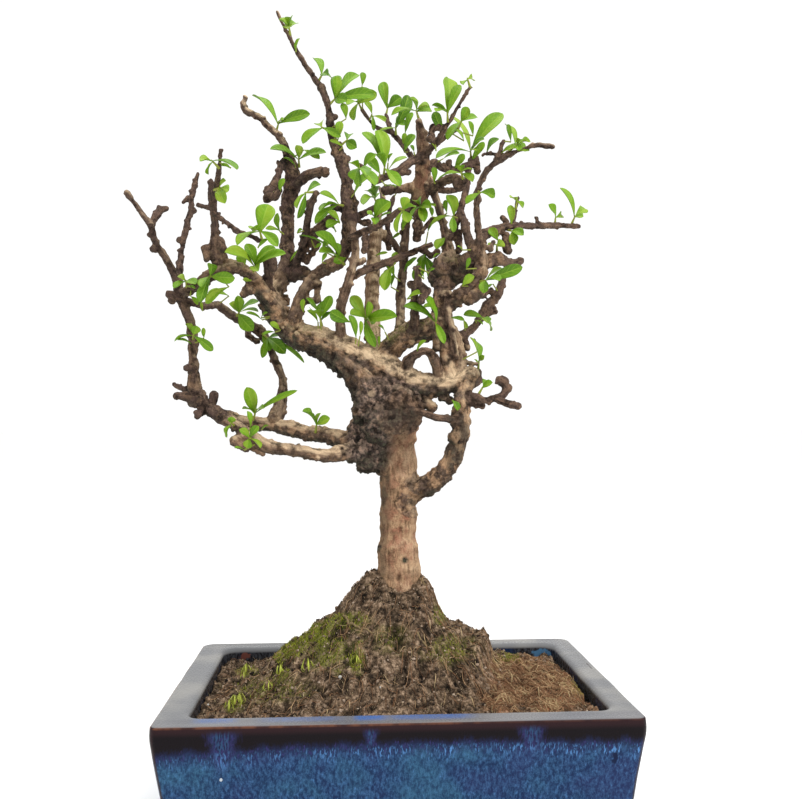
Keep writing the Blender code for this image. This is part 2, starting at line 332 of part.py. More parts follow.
def point_at(column, row, depth):
    """The point in space, in metres, that shows at this pixel and lies at this depth behind the trunk."""
    across = column - VIEW_CENTRE_PX[0]
    down = row - VIEW_CENTRE_PX[1]
    turned_across = math.cos(VIEW_ROLL) * across + math.sin(VIEW_ROLL) * down
    turned_down = -math.sin(VIEW_ROLL) * across + math.cos(VIEW_ROLL) * down
    right = np.array((math.cos(VIEW_YAW), -math.sin(VIEW_YAW), 0.0))
    level = np.array((math.sin(VIEW_YAW), math.cos(VIEW_YAW), 0.0))
    forward = level * math.cos(VIEW_PITCH) + UP * math.sin(VIEW_PITCH)
    above = UP * math.cos(VIEW_PITCH) - level * math.sin(VIEW_PITCH)
    ray = right * turned_across - above * turned_down + forward * VIEW_FOCAL_PX
    reach = (depth * MM * DEPTH_SPREAD - VIEW_EYE[1]) / ray[1]
    return VIEW_EYE + ray * reach


def smooth_route(route):
    """Evenly spaced points and radii along the curve through a route's points."""
    points = np.array([point_at(column, row, depth) for column, row, depth, _ in route])
    radii = np.array([radius * MM for _, _, _, radius in route])
    places = []
    widths = []
    for i in range(len(points) - 1):
        before = points[max(i - 1, 0)]
        start = points[i]
        end = points[i + 1]
        after = points[min(i + 2, len(points) - 1)]
        steps = max(1, round(float(np.linalg.norm(end - start)) / ROUTE_STEP))
        for k in range(steps):
            t = k / steps
            curve = 2 * start + (end - before) * t
            curve = curve + (2 * before - 5 * start + 4 * end - after) * t * t
            curve = curve + (3 * start - before - 3 * end + after) * t * t * t
            places.append(curve / 2)
            widths.append(radii[i] * (1 - t) + radii[i + 1] * t)
    places.append(points[-1])
    widths.append(radii[-1])
    return np.array(places), np.array(widths)


def unit(vector):
    """The vector at length one."""
    return vector / max(float(np.linalg.norm(vector)), 1e-12)


def add_object(name, vertices, faces, collection=None):
    """A mesh object with outward faces, linked to the scene or to the given collection."""
    mesh = bpy.data.meshes.new(name)
    mesh.from_pydata([tuple(map(float, v)) for v in vertices], [], faces)
    mesh.validate()
    built = bmesh.new()
    built.from_mesh(mesh)
    bmesh.ops.recalc_face_normals(built, faces=built.faces)
    built.to_mesh(mesh)
    built.free()
    made = bpy.data.objects.new(name, mesh)
    home = collection or bpy.context.scene.collection
    home.objects.link(made)
    return made


def tube(name, places, widths, sides, grain, rng, collection):
    """A closed tube through the places, its skin slightly uneven, with a low dome at each end."""
    vertices = []
    faces = []
    side = None
    for i, place in enumerate(places):
        tangent = unit(places[min(i + 1, len(places) - 1)] - places[max(i - 1, 0)])
        if side is None:
            side = unit(np.cross(tangent, (0.31, 0.87, 0.38)))
        side = unit(side - tangent * float(side @ tangent))
        other = np.cross(tangent, side)
        for k in range(sides):
            angle = 2 * math.pi * (k + 0.5 * (i % 2)) / sides
            radius = widths[i] * (1 + grain * rng.uniform(-1, 1))
            vertices.append(place + (side * math.cos(angle) + other * math.sin(angle)) * radius)
    for i in range(len(places) - 1):
        for k in range(sides):
            here = i * sides
            there = here + sides
            following = (k + 1) % sides
            if i % 2:
                faces.append((here + k, there + following, there + k))
                faces.append((here + k, here + following, there + following))
            else:
                faces.append((here + k, here + following, there + k))
                faces.append((here + following, there + following, there + k))
    first = len(vertices)
    vertices.append(places[0] - unit(places[1] - places[0]) * widths[0] * END_DOME)
    vertices.append(places[-1] + unit(places[-1] - places[-2]) * widths[-1] * END_DOME)
    last = (len(places) - 1) * sides
    for k in range(sides):
        following = (k + 1) % sides
        faces.append((first, following, k))
        faces.append((first + 1, last + k, last + following))
    return add_object(name, vertices, faces, collection)


def lump(name, centre, half, rng, collection):
    """An uneven rounded lump with the given half sizes."""
    built = bmesh.new()
    bmesh.ops.create_icosphere(built, subdivisions=2 if max(half) > BIG_LUMP else 1, radius=1.0)
    turn = rng.uniform(0, math.pi)
    for v in built.verts:
        uneven = 1 + LUMP_GRAIN * rng.uniform(-1, 1)
        x = v.co.x * math.cos(turn) - v.co.y * math.sin(turn)
        y = v.co.x * math.sin(turn) + v.co.y * math.cos(turn)
        place = centre + np.array((x * half[0], y * half[1], v.co.z * half[2])) * uneven
        v.co = tuple(place)
    mesh = bpy.data.meshes.new(name)
    built.to_mesh(mesh)
    built.free()
    made = bpy.data.objects.new(name, mesh)
    collection.objects.link(made)
    return made


def fuse(name, pieces):
    """One object from overlapping closed pieces, each joined to the first, which keeps the name."""
    first = pieces[0]
    for k, piece in enumerate(pieces[1:]):
        join = first.modifiers.new(f"join_{k}", "BOOLEAN")
        join.operation = "UNION"
        join.solver = "MANIFOLD"
        join.object = piece
        apply_modifiers(first)
    for piece in pieces[1:]:
        bpy.data.objects.remove(piece, do_unlink=True)
    first.name = name
    first.data.name = name
    return first


def thin_out(made, share, kept=None, reach=0.0):
    """Merges the smallest triangles that fusing left, down to this share, but none near the kept place."""
    thin = made.modifiers.new("thin", "DECIMATE")
    thin.ratio = share
    if kept is not None:
        far = [v.index for v in made.data.vertices if np.linalg.norm(np.array(v.co) - kept) > reach]
        made.vertex_groups.new(name="far").add(far, 1.0, "REPLACE")
        thin.vertex_group = "far"
    apply_modifiers(made)


def cut(target, cutter):
    """Cuts the cutter's shape out of the target, then removes the cutter."""
    cutter.hide_render = True
    cutter.display_type = "WIRE"
    bore = target.modifiers.new("cut", "BOOLEAN")
    bore.operation = "DIFFERENCE"
    bore.solver = "EXACT"
    bore.object = cutter
    apply_modifiers(target)
    bpy.data.objects.remove(cutter, do_unlink=True)


def apply_modifiers(made):
    """Turns the object's modifiers into its own mesh."""
    graph = bpy.context.evaluated_depsgraph_get()
    graph.update()
    mesh = bpy.data.meshes.new_from_object(made.evaluated_get(graph))
    made.modifiers.clear()
    made.data = mesh


def triangulate(made):
    """Splits every face of the object into triangles."""
    built = bmesh.new()
    built.from_mesh(made.data)
    bmesh.ops.triangulate(built, faces=built.faces)
    built.to_mesh(made.data)
    built.free()


def rounded_rectangle(half_width, half_depth, radius, height):
    """The corner-rounded loop of points at this height, counted anticlockwise from above."""
    loop = []
    for corner, (sx, sy) in enumerate(((1, 1), (-1, 1), (-1, -1), (1, -1))):
        for k in range(CORNER_STEPS + 1):
            angle = math.pi / 2 * (corner + k / CORNER_STEPS)
            x = sx * (half_width - radius) + radius * math.cos(angle)
            y = sy * (half_depth - radius) + radius * math.sin(angle)
            loop.append((x, y, height))
    return loop


def box(name, centre, size):
    """A plain box."""
    corners = []
    for side_x in (-0.5, 0.5):
        for side_y in (-0.5, 0.5):
            for side_z in (-0.5, 0.5):
                sides = (side_x, side_y, side_z)
                corners.append([c + side * length for c, side, length in zip(centre, sides, size)])
    faces = [(0, 1, 3, 2), (4, 6, 7, 5), (0, 4, 5, 1), (2, 3, 7, 6), (0, 2, 6, 4), (1, 5, 7, 3)]
    return add_object(name, corners, faces)


def upright_cylinder(name, centre, radius, bottom, top, sides):
    """A plain upright cylinder."""
    vertices = []
    for height in (bottom, top):
        for k in range(sides):
            angle = 2 * math.pi * k / sides
            x = centre[0] + radius * math.cos(angle)
            y = centre[1] + radius * math.sin(angle)
            vertices.append((x, y, height))
    faces = [tuple(range(sides)), tuple(range(sides, 2 * sides))]
    for k in range(sides):
        faces.append((k, (k + 1) % sides, sides + (k + 1) % sides, sides + k))
    return add_object(name, vertices, faces)


def inner_half(height):
    """The pot's inner half width and half depth at this height."""
    top = RIM_TOP_WIDTH
    outer_drop = (POT_HEIGHT - LIP_HEIGHT - FLOOR_THICKNESS) * math.tan(WALL_TAPER)
    bottom = outer_drop + FLOOR_WALL
    share = (POT_HEIGHT - height) / (POT_HEIGHT - FLOOR_THICKNESS)
    inset = top + (bottom - top) * share
    return RIM_WIDTH / 2 - inset, RIM_DEPTH / 2 - inset


def build_pot():
    """The glazed pot: lip band, tapering walls, flat base with a chamfer, floor with two drainage holes."""
    half_w = RIM_WIDTH / 2
    half_d = RIM_DEPTH / 2
    taper = math.tan(WALL_TAPER)
    low = (POT_HEIGHT - LIP_HEIGHT - BASE_CHAMFER) * taper
    foot = low + BASE_CHAMFER
    inner_top = inner_half(POT_HEIGHT - 2 * GLAZE_EDGE)
    inner_low = inner_half(FLOOR_THICKNESS)
    r = CORNER_RADIUS
    r_foot = r * FOOT_CORNER_SHARE
    r_base = r * BASE_CORNER_SHARE
    r_inner = r * INNER_CORNER_SHARE
    edge = 2 * GLAZE_EDGE
    loops = [
        rounded_rectangle(half_w - foot, half_d - foot, r_foot, 0.0),
        rounded_rectangle(half_w - low, half_d - low, r_base, BASE_CHAMFER),
        rounded_rectangle(half_w, half_d, r, POT_HEIGHT - LIP_HEIGHT),
        rounded_rectangle(half_w, half_d, r, POT_HEIGHT - GLAZE_EDGE),
        rounded_rectangle(half_w - GLAZE_EDGE, half_d - GLAZE_EDGE, r, POT_HEIGHT),
        rounded_rectangle(inner_top[0] + edge, inner_top[1] + edge, r_foot, POT_HEIGHT),
        rounded_rectangle(inner_top[0], inner_top[1], r_inner, POT_HEIGHT - edge),
        rounded_rectangle(inner_low[0], inner_low[1], r_inner, FLOOR_THICKNESS),
    ]
    count = len(loops[0])
    vertices = [v for loop in loops for v in loop]
    faces = [tuple(range(count))]
    for i in range(len(loops) - 1):
        for k in range(count):
            a = i * count + k
            b = i * count + (k + 1) % count
            faces.append((a, b, b + count, a + count))
    faces.append(tuple(range((len(loops) - 1) * count, len(loops) * count)))
    pot = add_object("pot", vertices, faces)
    for side in (-1, 1):
        top = FLOOR_THICKNESS + CUT_REACH
        cut(pot, upright_cylinder("drain", (side * DRAIN_X, 0), DRAIN_RADIUS, -CUT_REACH, top, DRAIN_SIDES))
    shade_smooth(pot, 40)
    return pot


def build_screen(name, x):
    """A square plastic drainage screen, pierced by a grid of openings, lying just above the floor."""
    cells = 2 * SCREEN_OPENINGS + 1
    step = SCREEN_SIDE / cells
    bottom = FLOOR_THICKNESS + GAP
    vertices = []
    for level in (bottom, bottom + SCREEN_THICKNESS):
        for j in range(cells + 1):
            for i in range(cells + 1):
                vertices.append((x - SCREEN_SIDE / 2 + i * step, -SCREEN_SIDE / 2 + j * step, level))
    level_count = (cells + 1) ** 2

    def solid(i, j):
        """Whether this cell of the grid holds material."""
        return 0 <= i < cells and 0 <= j < cells and not (i % 2 and j % 2)

    faces = []
    for j in range(cells):
        for i in range(cells):
            if not solid(i, j):
                continue
            a = j * (cells + 1) + i
            ring = (a, a + 1, a + cells + 2, a + cells + 1)
            faces.append(tuple(v + level_count for v in ring))
            faces.append(ring[::-1])
            beside = ((i, j - 1), (i + 1, j), (i, j + 1), (i - 1, j))
            for k, (ni, nj) in enumerate(beside):
                if not solid(ni, nj):
                    p = ring[k]
                    q = ring[(k + 1) % 4]
                    faces.append((p, q, q + level_count, p + level_count))
    return add_object(name, vertices, faces)


def profile_height(profile, distance):
    """The profile's height in metres over the rim at this distance in metres."""
    reach = [d * MM for d, _ in profile]
    rise = [h * MM for _, h in profile]
    return float(np.interp(distance, reach, rise))


def soil_height(x, y):
    """Height of the soil's surface at this place."""
    dx = x - TRUNK_FOOT[0]
    dy = y - TRUNK_FOOT[1]
    distance = math.hypot(dx, dy)
    angle = math.atan2(dy, dx) % (2 * math.pi)
    sides = (MOUND_RIGHT, MOUND_BACK, MOUND_LEFT, MOUND_FRONT)
    quarter = angle / (math.pi / 2)
    first = int(quarter) % 4
    share = quarter - int(quarter)
    share = share * share * (3 - 2 * share)
    height = profile_height(sides[first], distance) * (1 - share)
    height += profile_height(sides[(first + 1) % 4], distance) * share
    broad = math.sin(x * 310 + y * 170) * math.sin(y * 290 - x * 120 + 1.3)
    fine = math.sin(x * 640 - y * 380 + 0.7) * math.sin(y * 590 + x * 260)
    ripple = broad + 0.6 * fine
    spread = min(1.0, max(0.0, (distance - SOIL_CALM_RADIUS) / SOIL_CALM_EDGE))
    return POT_HEIGHT + height + SOIL_LUMPS * ripple * spread


def build_soil():
    """The mound of soil, clear of the pot and the screens, with a plain hole for the trunk."""
    top_half = inner_half(POT_HEIGHT - SOIL_EDGE_DEPTH)
    low_half = inner_half(FLOOR_THICKNESS)
    radius = CORNER_RADIUS * INNER_CORNER_SHARE
    vertices = []
    faces = []
    for j in range(SOIL_ROWS + 1):
        for i in range(SOIL_COLUMNS + 1):
            u = 2 * i / SOIL_COLUMNS - 1
            v = 2 * j / SOIL_ROWS - 1
            x = u * (top_half[0] - GAP)
            y = v * (top_half[1] - GAP)
            corner_x = abs(x) - (top_half[0] - GAP - radius)
            corner_y = abs(y) - (top_half[1] - GAP - radius)
            if corner_x > 0 and corner_y > 0:
                over = math.hypot(corner_x, corner_y)
                if over > radius:
                    x = math.copysign(abs(x) - corner_x * (1 - radius / over), x)
                    y = math.copysign(abs(y) - corner_y * (1 - radius / over), y)
            vertices.append((x, y, min(soil_height(x, y), edge_height(x, y))))
    row = SOIL_COLUMNS + 1
    for j in range(SOIL_ROWS):
        for i in range(SOIL_COLUMNS):
            a = j * row + i
            faces.append((a, a + 1, a + row + 1))
            faces.append((a, a + row + 1, a + row))
    border = [i for i in range(row)]
    border += [j * row + SOIL_COLUMNS for j in range(1, SOIL_ROWS + 1)]
    border += [SOIL_ROWS * row + i for i in range(SOIL_COLUMNS - 1, -1, -1)]
    border += [j * row for j in range(SOIL_ROWS - 1, 0, -1)]
    start = len(vertices)
    shrink_x = (low_half[0] - GAP) / (top_half[0] - GAP)
    shrink_y = (low_half[1] - GAP) / (top_half[1] - GAP)
    for index in border:
        x, y, _ = vertices[index]
        vertices.append((x * shrink_x, y * shrink_y, FLOOR_THICKNESS + GAP))
    count = len(border)
    for k in range(count):
        following = (k + 1) % count
        faces.append((border[k], border[following], start + following, start + k))
    faces.append(tuple(range(start, start + count)))
    soil = add_object("soil", vertices, faces)
    for side in (-1, 1):
        pocket = SCREEN_SIDE + 2 * GAP
        height = SCREEN_THICKNESS + 2 * GAP
        centre = (side * DRAIN_X, 0, FLOOR_THICKNESS + height / 2)
        cut(soil, box("pocket", centre, (pocket, pocket, height + 2 * GAP)))
    hole = upright_cylinder("hole", TRUNK_FOOT, TRUNK_HOLE_RADIUS, TRUNK_HOLE_BOTTOM, TRUNK_HOLE_TOP,
                            TRUNK_HOLE_SIDES)
    cut(soil, hole)
    triangulate(soil)
    shade_smooth(soil, 50)
    return soil


def edge_height(x, y):
    """The most that the soil may rise beside the pot's inner wall."""
    half = inner_half(POT_HEIGHT - SOIL_EDGE_DEPTH)
    inside = min(half[0] - abs(x), half[1] - abs(y))
    return POT_HEIGHT - SOIL_EDGE_DROP + max(0.0, inside) * SOIL_EDGE_SLOPE


def wood_skeleton():
    """Every limb's name with its places and radii, the trunk first."""
    return [(name, *smooth_route(route)) for name, route in ROUTES.items()]


def build_wood(skeleton):
    """Trunk, limbs, twigs, stubs and knots, fused into the one piece that they grew as."""
    rng = np.random.default_rng(WOOD_SEED)
    collection = bpy.data.collections.new("wood_pieces")
    bpy.context.scene.collection.children.link(collection)
    pieces = []
    for name, places, widths in skeleton:
        sides = LIMB_SIDES if float(widths.max()) > TWIG_RADIUS else TWIG_SIDES
        if name == "trunk":
            sides = TRUNK_SIDES
        pieces.append(tube(name, places, widths, sides, LIMB_GRAIN, rng, collection))
    for k, (column, row, depth, *half) in enumerate(LUMPS):
        centre = point_at(column, row, depth)
        pieces.append(lump(f"lump_{k}", centre, [h * MM for h in half], rng, collection))
    wood = fuse("wood", pieces)
    thin_out(wood, WOOD_SHARE)
    collection.objects.unlink(wood)
    bpy.context.scene.collection.objects.link(wood)
    bpy.data.collections.remove(collection)
    triangulate(wood)
    shade_smooth(wood, 60)
    return wood


class Thicket:
    """Keeps blades clear of the wood and of one another."""

    def __init__(self, skeleton):
        starts = []
        ends = []
        widths = []
        for _, places, radii in skeleton:
            starts += list(places[:-1])
            ends += list(places[1:])
            widths += list(np.maximum(radii[:-1], radii[1:]))
        for column, row, depth, *half in LUMPS:
            centre = point_at(column, row, depth)
            starts.append(centre)
            ends.append(centre + np.array((0.0, 0.0, 1e-6)))
            widths.append(max(half) * MM)
        self.starts = np.array(starts)
        self.along = np.array(ends) - self.starts
        self.widths = np.array(widths) * (1 + LIMB_GRAIN)
        self.squares = np.maximum((self.along ** 2).sum(axis=1), 1e-12)
        self.leaves = np.zeros((0, 3))

    def wood_gap(self, points):
        """Distance from each point to the wood's skin, less than zero inside it."""
        offset = points[:, None, :] - self.starts[None]
        share = np.clip((offset * self.along[None]).sum(axis=2) / self.squares[None], 0, 1)
        nearest = self.starts[None] + share[:, :, None] * self.along[None]
        return (np.linalg.norm(points[:, None, :] - nearest, axis=2) - self.widths[None]).min(axis=1)

    def leaf_gap(self, points, own=None):
        """Least distance from the points to the leaves placed earlier and to the spray's own ones."""
        others = self.leaves if own is None or not len(own) else np.vstack((self.leaves, own))
        if not len(others):
            return 1.0
        return float(np.linalg.norm(points[:, None, :] - others[None], axis=2).min())

    def keep(self, points):
        """Remembers a finished spray."""
        self.leaves = np.vstack((self.leaves, points))


def blade_frame(start, tip, roll, facing):
    """The blade's directions: along it, across it and out of its upper face, turned towards the facing."""
    along = unit(tip - start)
    hint = facing
    if abs(float(unit(hint) @ along)) > 0.93:
        hint = unit(np.cross(along, (1.0, 0.0, 0.0)))
        hint = hint * math.copysign(1.0, float(hint @ (SEEN_FACING + OPEN_FACING)))
    out = unit(hint - along * float(hint @ along))
    across = np.cross(along, out)
    turned = across * math.cos(roll) + out * math.sin(roll)
    return along, turned, np.cross(turned, along)


def blade_point(start, frame, length, half_width, share, side):
    """A point of the blade's middle surface; side runs from -1 at one edge to 1 at the other."""
    along, across, out = frame
    arch = BLADE_ARCH * length * (math.sin(math.pi * share * 0.9) - 1.1 * share * share)
    lift = BLADE_FOLD * half_width * side * side * 2
    return start + along * (share * length) + across * (side * half_width) + out * (arch + lift)


def blade_samples(start, frame, length, width):
    """Points spread over the blade past its stalk end."""
    found = []
    shares, breadths = zip((0.0, 0.08), *BLADE_OUTLINE, (1.0, 0.2))
    for share in np.linspace(shares[0] + 0.08, 1.0, BLADE_TESTS):
        local = float(np.interp(share, shares, breadths))
        for side in (-1, -0.5, 0, 0.5, 1):
            found.append(blade_point(start, frame, length, width / 2 * local, share, side))
    return np.array(found)


def blade_mesh(root, start, frame, length, width):
    """Vertices and faces of one folded, arching blade with its root in the shoot, split alike on both faces."""
    outline = BLADE_OUTLINE if length > LONG_BLADE else SMALL_OUTLINE
    rows = [(0.0, 0.0)] + list(outline) + [(1.0, 0.0)]
    middle = []
    left = []
    right = []
    last = len(rows) - 1
    for share, breadth in rows:
        half = width / 2 * max(breadth, 0.02)
        middle.append(blade_point(start, frame, length, half, share, 0))
        left.append(blade_point(start, frame, length, half, share, -1))
        right.append(blade_point(start, frame, length, half, share, 1))
    upper = frame[2] * BLADE_THICKNESS / 2
    ridge = [0]
    edge_left = [0]
    edge_right = [0]
    flat = [root]
    for k in range(1, last):
        ridge.append(len(flat))
        flat.append(middle[k])
        edge_left.append(len(flat))
        flat.append(left[k])
        edge_right.append(len(flat))
        flat.append(right[k])
    ridge.append(len(flat))
    edge_left.append(len(flat))
    edge_right.append(len(flat))
    flat.append(middle[last])
    top = []
    for edge, turn in ((edge_left, False), (edge_right, True)):
        for k in range(last):
            for face in ((ridge[k], ridge[k + 1], edge[k + 1]), (ridge[k], edge[k + 1], edge[k])):
                if len(set(face)) == 3:
                    top.append(face[::-1] if turn else face)
    count = len(flat)
    points = [p + upper for p in flat] + [p - upper for p in flat]
    faces = list(top)
    faces += [tuple(v + count for v in face[::-1]) for face in top]
    rim = edge_left + edge_right[-2:0:-1]
    for k in range(len(rim)):
        a = rim[k]
        b = rim[(k + 1) % len(rim)]
        faces.append((a, b, b + count))
        faces.append((a, b + count, a + count))
    return points, faces


def turned_tips(start, tip, tries):
    """The wanted tip, then the same blade swung about its base by growing angles."""
    along = tip - start
    length = float(np.linalg.norm(along))
    along = along / length
    side = unit(np.cross(along, (0.2, 0.5, 0.84)))
    other = np.cross(along, side)
    yield tip
    for k in range(1, tries):
        swing = SWING_STEP * math.sqrt(k)
        angle = LEAF_ANGLE * k
        lean = (side * math.cos(angle) + other * math.sin(angle)) * math.sin(swing)
        yield start + (along * math.cos(swing) + lean) * length


def extra_tips(base, direction, count, length, rng):
    """Tips of the blades that fill a tuft, spread round its shoot by the leaf angle of a spiral."""
    side = unit(np.cross(direction, (0.13, 0.41, 0.9)))
    other = np.cross(direction, side)
    start = rng.uniform(0, 2 * math.pi)
    for k in range(count):
        angle = start + LEAF_ANGLE * k
        spread = rng.uniform(0.8, 1.25)
        lean = (side * math.cos(angle) + other * math.sin(angle)) * math.sin(spread)
        yield base + (direction * math.cos(spread) + lean) * length * rng.uniform(0.85, 1.1)


def place_spray(thicket, base, shown, extra, extra_length, rng):
    """Shoot start and end, and for each blade its base, frame, length and width, all clear of other things."""
    anchor = point_at(*base)
    tips = []
    for column, row, offset, width in shown:
        tips.append((point_at(column, row, base[2] + offset), width * MM, SEEN_FACING))
    direction = unit(sum(unit(tip - anchor) for tip, _, _ in tips) + UP / 2)
    for trial in turned_tips(anchor, anchor + direction * SHOOT_LENGTH, SWING_TRIES):
        way = unit(trial - anchor)
        reach = 0.0
        while thicket.wood_gap((anchor + way * reach)[None])[0] < SHOOT_CLEARANCE and reach < SHOOT_REACH:
            reach += SHOOT_STEP
        start = anchor + way * reach
        line = start + way[None] * (SHOOT_LENGTH * np.linspace(0, 1, 5))[:, None]
        if thicket.leaf_gap(line) > LEAF_CLEARANCE and thicket.wood_gap(line[2:]).min() > 2 * SHOOT_CLEARANCE:
            direction = way
            break
    start = anchor + direction * reach
    end = start + direction * SHOOT_LENGTH
    for tip in extra_tips(end, direction, extra, extra_length * MM, rng):
        tips.append((tip, extra_length * MM * EXTRA_BREADTH, OPEN_FACING))
    placed = []
    own = np.zeros((0, 3))
    for k, (tip, width, facing) in enumerate(tips):
        seat = start + direction * SHOOT_LENGTH * (0.55 + 0.35 * ((k * 0.618) % 1))
        base_roll = rng.uniform(-ROLL_SPREAD, ROLL_SPREAD)
        for attempt, trial in enumerate(turned_tips(seat, tip, SWING_TRIES)):
            roll = base_roll + ROLL_STEP * (attempt % 3 - 1)
            frame = blade_frame(seat, trial, roll, facing)
            length = float(np.linalg.norm(trial - seat)) * (1 - 0.004 * attempt)
            samples = blade_samples(seat, frame, length, width)
            if float(thicket.wood_gap(samples).min()) < WOOD_CLEARANCE + BLADE_THICKNESS / 2:
                continue
            if thicket.leaf_gap(samples) < LEAF_CLEARANCE:
                continue
            if len(own) and thicket.leaf_gap(samples[15:], own) < LEAF_CLEARANCE * 0.6:
                continue
            own = np.vstack((own, samples[15:]))
            placed.append(((seat, frame, length, width), samples))
            break
    if placed:
        kept = [samples for _, samples in placed]
        shoot_line = np.array([start + (end - start) * t for t in np.linspace(0, 1, 4)])
        thicket.keep(np.vstack(kept + [shoot_line]))
    return start, end, [blade for blade, _ in placed]


def seat_shoot(skin, start, end):
    """The shoot's start, drawn back and towards the nearest bark until the gap between them is small."""
    back = unit(start - end)
    place = start
    for _ in range(SEAT_STEPS):
        nearest, _, _, distance = skin.find_nearest(tuple(place))
        if distance <= GAP + SHOOT_STEP:
            break
        pull = unit(np.array(nearest) - place)
        place = place + unit(back + pull) * min(SHOOT_STEP, distance - GAP)
    return place


def build_spray(name, start, end, blades):
    """One leafy shoot: a short green stem with its blades fused to it."""
    pieces = []
    axis = unit(end - start)
    side = unit(np.cross(axis, (0.3, 0.2, 0.9)))
    other = np.cross(axis, side)
    vertices = [start, end + axis * SHOOT_RADIUS]
    for k in range(SHOOT_SIDES):
        angle = 2 * math.pi * k / SHOOT_SIDES
        ring = (side * math.cos(angle) + other * math.sin(angle)) * SHOOT_RADIUS
        vertices.append(start + (end - start) * SHOOT_WAIST + ring)
    faces = []
    for k in range(SHOOT_SIDES):
        following = (k + 1) % SHOOT_SIDES
        faces.append((0, 2 + following, 2 + k))
        faces.append((1, 2 + k, 2 + following))
    pieces.append(add_object(name, vertices, faces))
    for k, blade in enumerate(blades):
        seat = blade[0]
        whole = end - start
        share = float(np.clip((seat - start) @ whole / (whole @ whole), *ROOT_SHARES))
        points, blade_faces = blade_mesh(start + whole * share, *blade)
        pieces.append(add_object(f"{name}_blade_{k}", points, blade_faces))
    spray = fuse(name, pieces)
    thin_out(spray, SPRAY_SHARE, start, SHOOT_LENGTH * 0.7)
    triangulate(spray)
    shade_smooth(spray, 35)
    return spray


def skin_of(made):
    """The object's surface, for distances and crossings."""
    return BVHTree.FromPolygons([v.co for v in made.data.vertices], [p.vertices for p in made.data.polygons])


def build_clear_spray(name, skin, start, end, blades):
    """The spray, moved out along its shoot until it crosses no bark."""
    step = unit(end - start) * CLEAR_STEP
    for k in range(CLEAR_TRIES):
        shift = step * k
        moved = [(seat + shift, frame, length, width) for seat, frame, length, width in blades]
        spray = build_spray(name, seat_shoot(skin, start + shift, end + shift), end + shift, moved)
        if not skin.overlap(skin_of(spray)):
            break
        bpy.data.objects.remove(spray, do_unlink=True)
    return spray


def shade_smooth(made, limit_degrees):
    """Smooth shading, with edges sharper than the limit kept crisp."""
    for polygon in made.data.polygons:
        polygon.use_smooth = True
    made.data.set_sharp_from_angle(angle=math.radians(limit_degrees))


def paint(made, colour, roughness, metallic=0.0):
    """Gives the object a material of its own."""
    material = bpy.data.materials.new(made.name)
    material.use_nodes = True
    shader = material.node_tree.nodes["Principled BSDF"]
    shader.inputs["Base Color"].default_value = (*colour, 1.0)
    shader.inputs["Roughness"].default_value = roughness
    shader.inputs["Metallic"].default_value = metallic
    made.data.materials.clear()
    made.data.materials.append(material)


def build():
    """Clears the scene and builds every node."""
    for old in list(bpy.data.objects):
        bpy.data.objects.remove(old, do_unlink=True)
    paint(build_pot(), (0.01, 0.12, 0.42), 0.12)
    paint(build_screen("drain_screen_left", -DRAIN_X), (0.03, 0.03, 0.03), 0.6)
    paint(build_screen("drain_screen_right", DRAIN_X), (0.03, 0.03, 0.03), 0.6)
    paint(build_soil(), (0.07, 0.045, 0.03), 0.95)
    skeleton = wood_skeleton()
    wood = build_wood(skeleton)
    paint(wood, (0.19, 0.12, 0.075), 0.85)
    skin = skin_of(wood)
    thicket = Thicket(skeleton)
    rng = np.random.default_rng(LEAF_SEED)
    for name, (base, shown, extra, extra_length) in SPRAYS.items():
        start, end, blades = place_spray(thicket, base, shown, extra, extra_length, rng)
        spray = build_clear_spray(f"leaves_{name}", skin, start, end, blades)
        green = 0.8 + 0.4 * rng.uniform()
        paint(spray, (0.10 * green, 0.27 * green, 0.02), 0.4)


build()
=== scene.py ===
"""Looks of a fukien tea bonsai in its pot: bark, leaves, soil with moss and roots, and glaze.

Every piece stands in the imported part's own frame, in metres with +Z up. The limbs, lumps and sprays repeat
the part's own routes, so the finer pieces keep its forms.
"""

import json
import logging
import math
from collections.abc import Iterator
from dataclasses import dataclass
from enum import Enum

import bmesh
import bpy
import numpy as np
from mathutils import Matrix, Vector
from mathutils.kdtree import KDTree

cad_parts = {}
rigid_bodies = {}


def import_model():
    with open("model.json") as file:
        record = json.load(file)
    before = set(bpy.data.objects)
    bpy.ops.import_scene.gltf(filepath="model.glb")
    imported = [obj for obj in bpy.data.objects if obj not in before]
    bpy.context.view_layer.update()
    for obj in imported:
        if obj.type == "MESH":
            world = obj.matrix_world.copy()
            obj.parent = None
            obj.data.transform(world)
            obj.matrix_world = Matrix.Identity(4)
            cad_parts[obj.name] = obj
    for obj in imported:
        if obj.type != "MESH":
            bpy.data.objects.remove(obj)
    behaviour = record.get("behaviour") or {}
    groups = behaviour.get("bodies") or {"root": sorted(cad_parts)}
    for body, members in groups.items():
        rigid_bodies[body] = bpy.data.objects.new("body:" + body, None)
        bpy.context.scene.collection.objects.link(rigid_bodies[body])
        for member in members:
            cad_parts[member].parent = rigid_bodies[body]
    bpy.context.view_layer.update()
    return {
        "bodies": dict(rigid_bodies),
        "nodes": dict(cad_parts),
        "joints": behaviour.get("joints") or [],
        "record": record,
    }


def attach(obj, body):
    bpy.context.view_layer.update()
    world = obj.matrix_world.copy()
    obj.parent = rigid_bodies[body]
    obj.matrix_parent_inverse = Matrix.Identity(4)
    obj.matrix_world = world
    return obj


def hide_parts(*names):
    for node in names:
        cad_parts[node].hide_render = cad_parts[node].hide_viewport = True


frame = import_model()

MM = 0.001
UP = np.array((0.0, 0.0, 1.0))
LEAF_ANGLE = math.radians(137.5)
SIDE_HINT = np.array((0.31, 0.87, 0.38))
BODY = "root"

Colour = tuple[float, float, float]
Row = tuple[float, ...]
Frame3 = tuple[np.ndarray, np.ndarray, np.ndarray]
Faces = list[tuple[int, ...]]
Shape = tuple[np.ndarray, Faces]

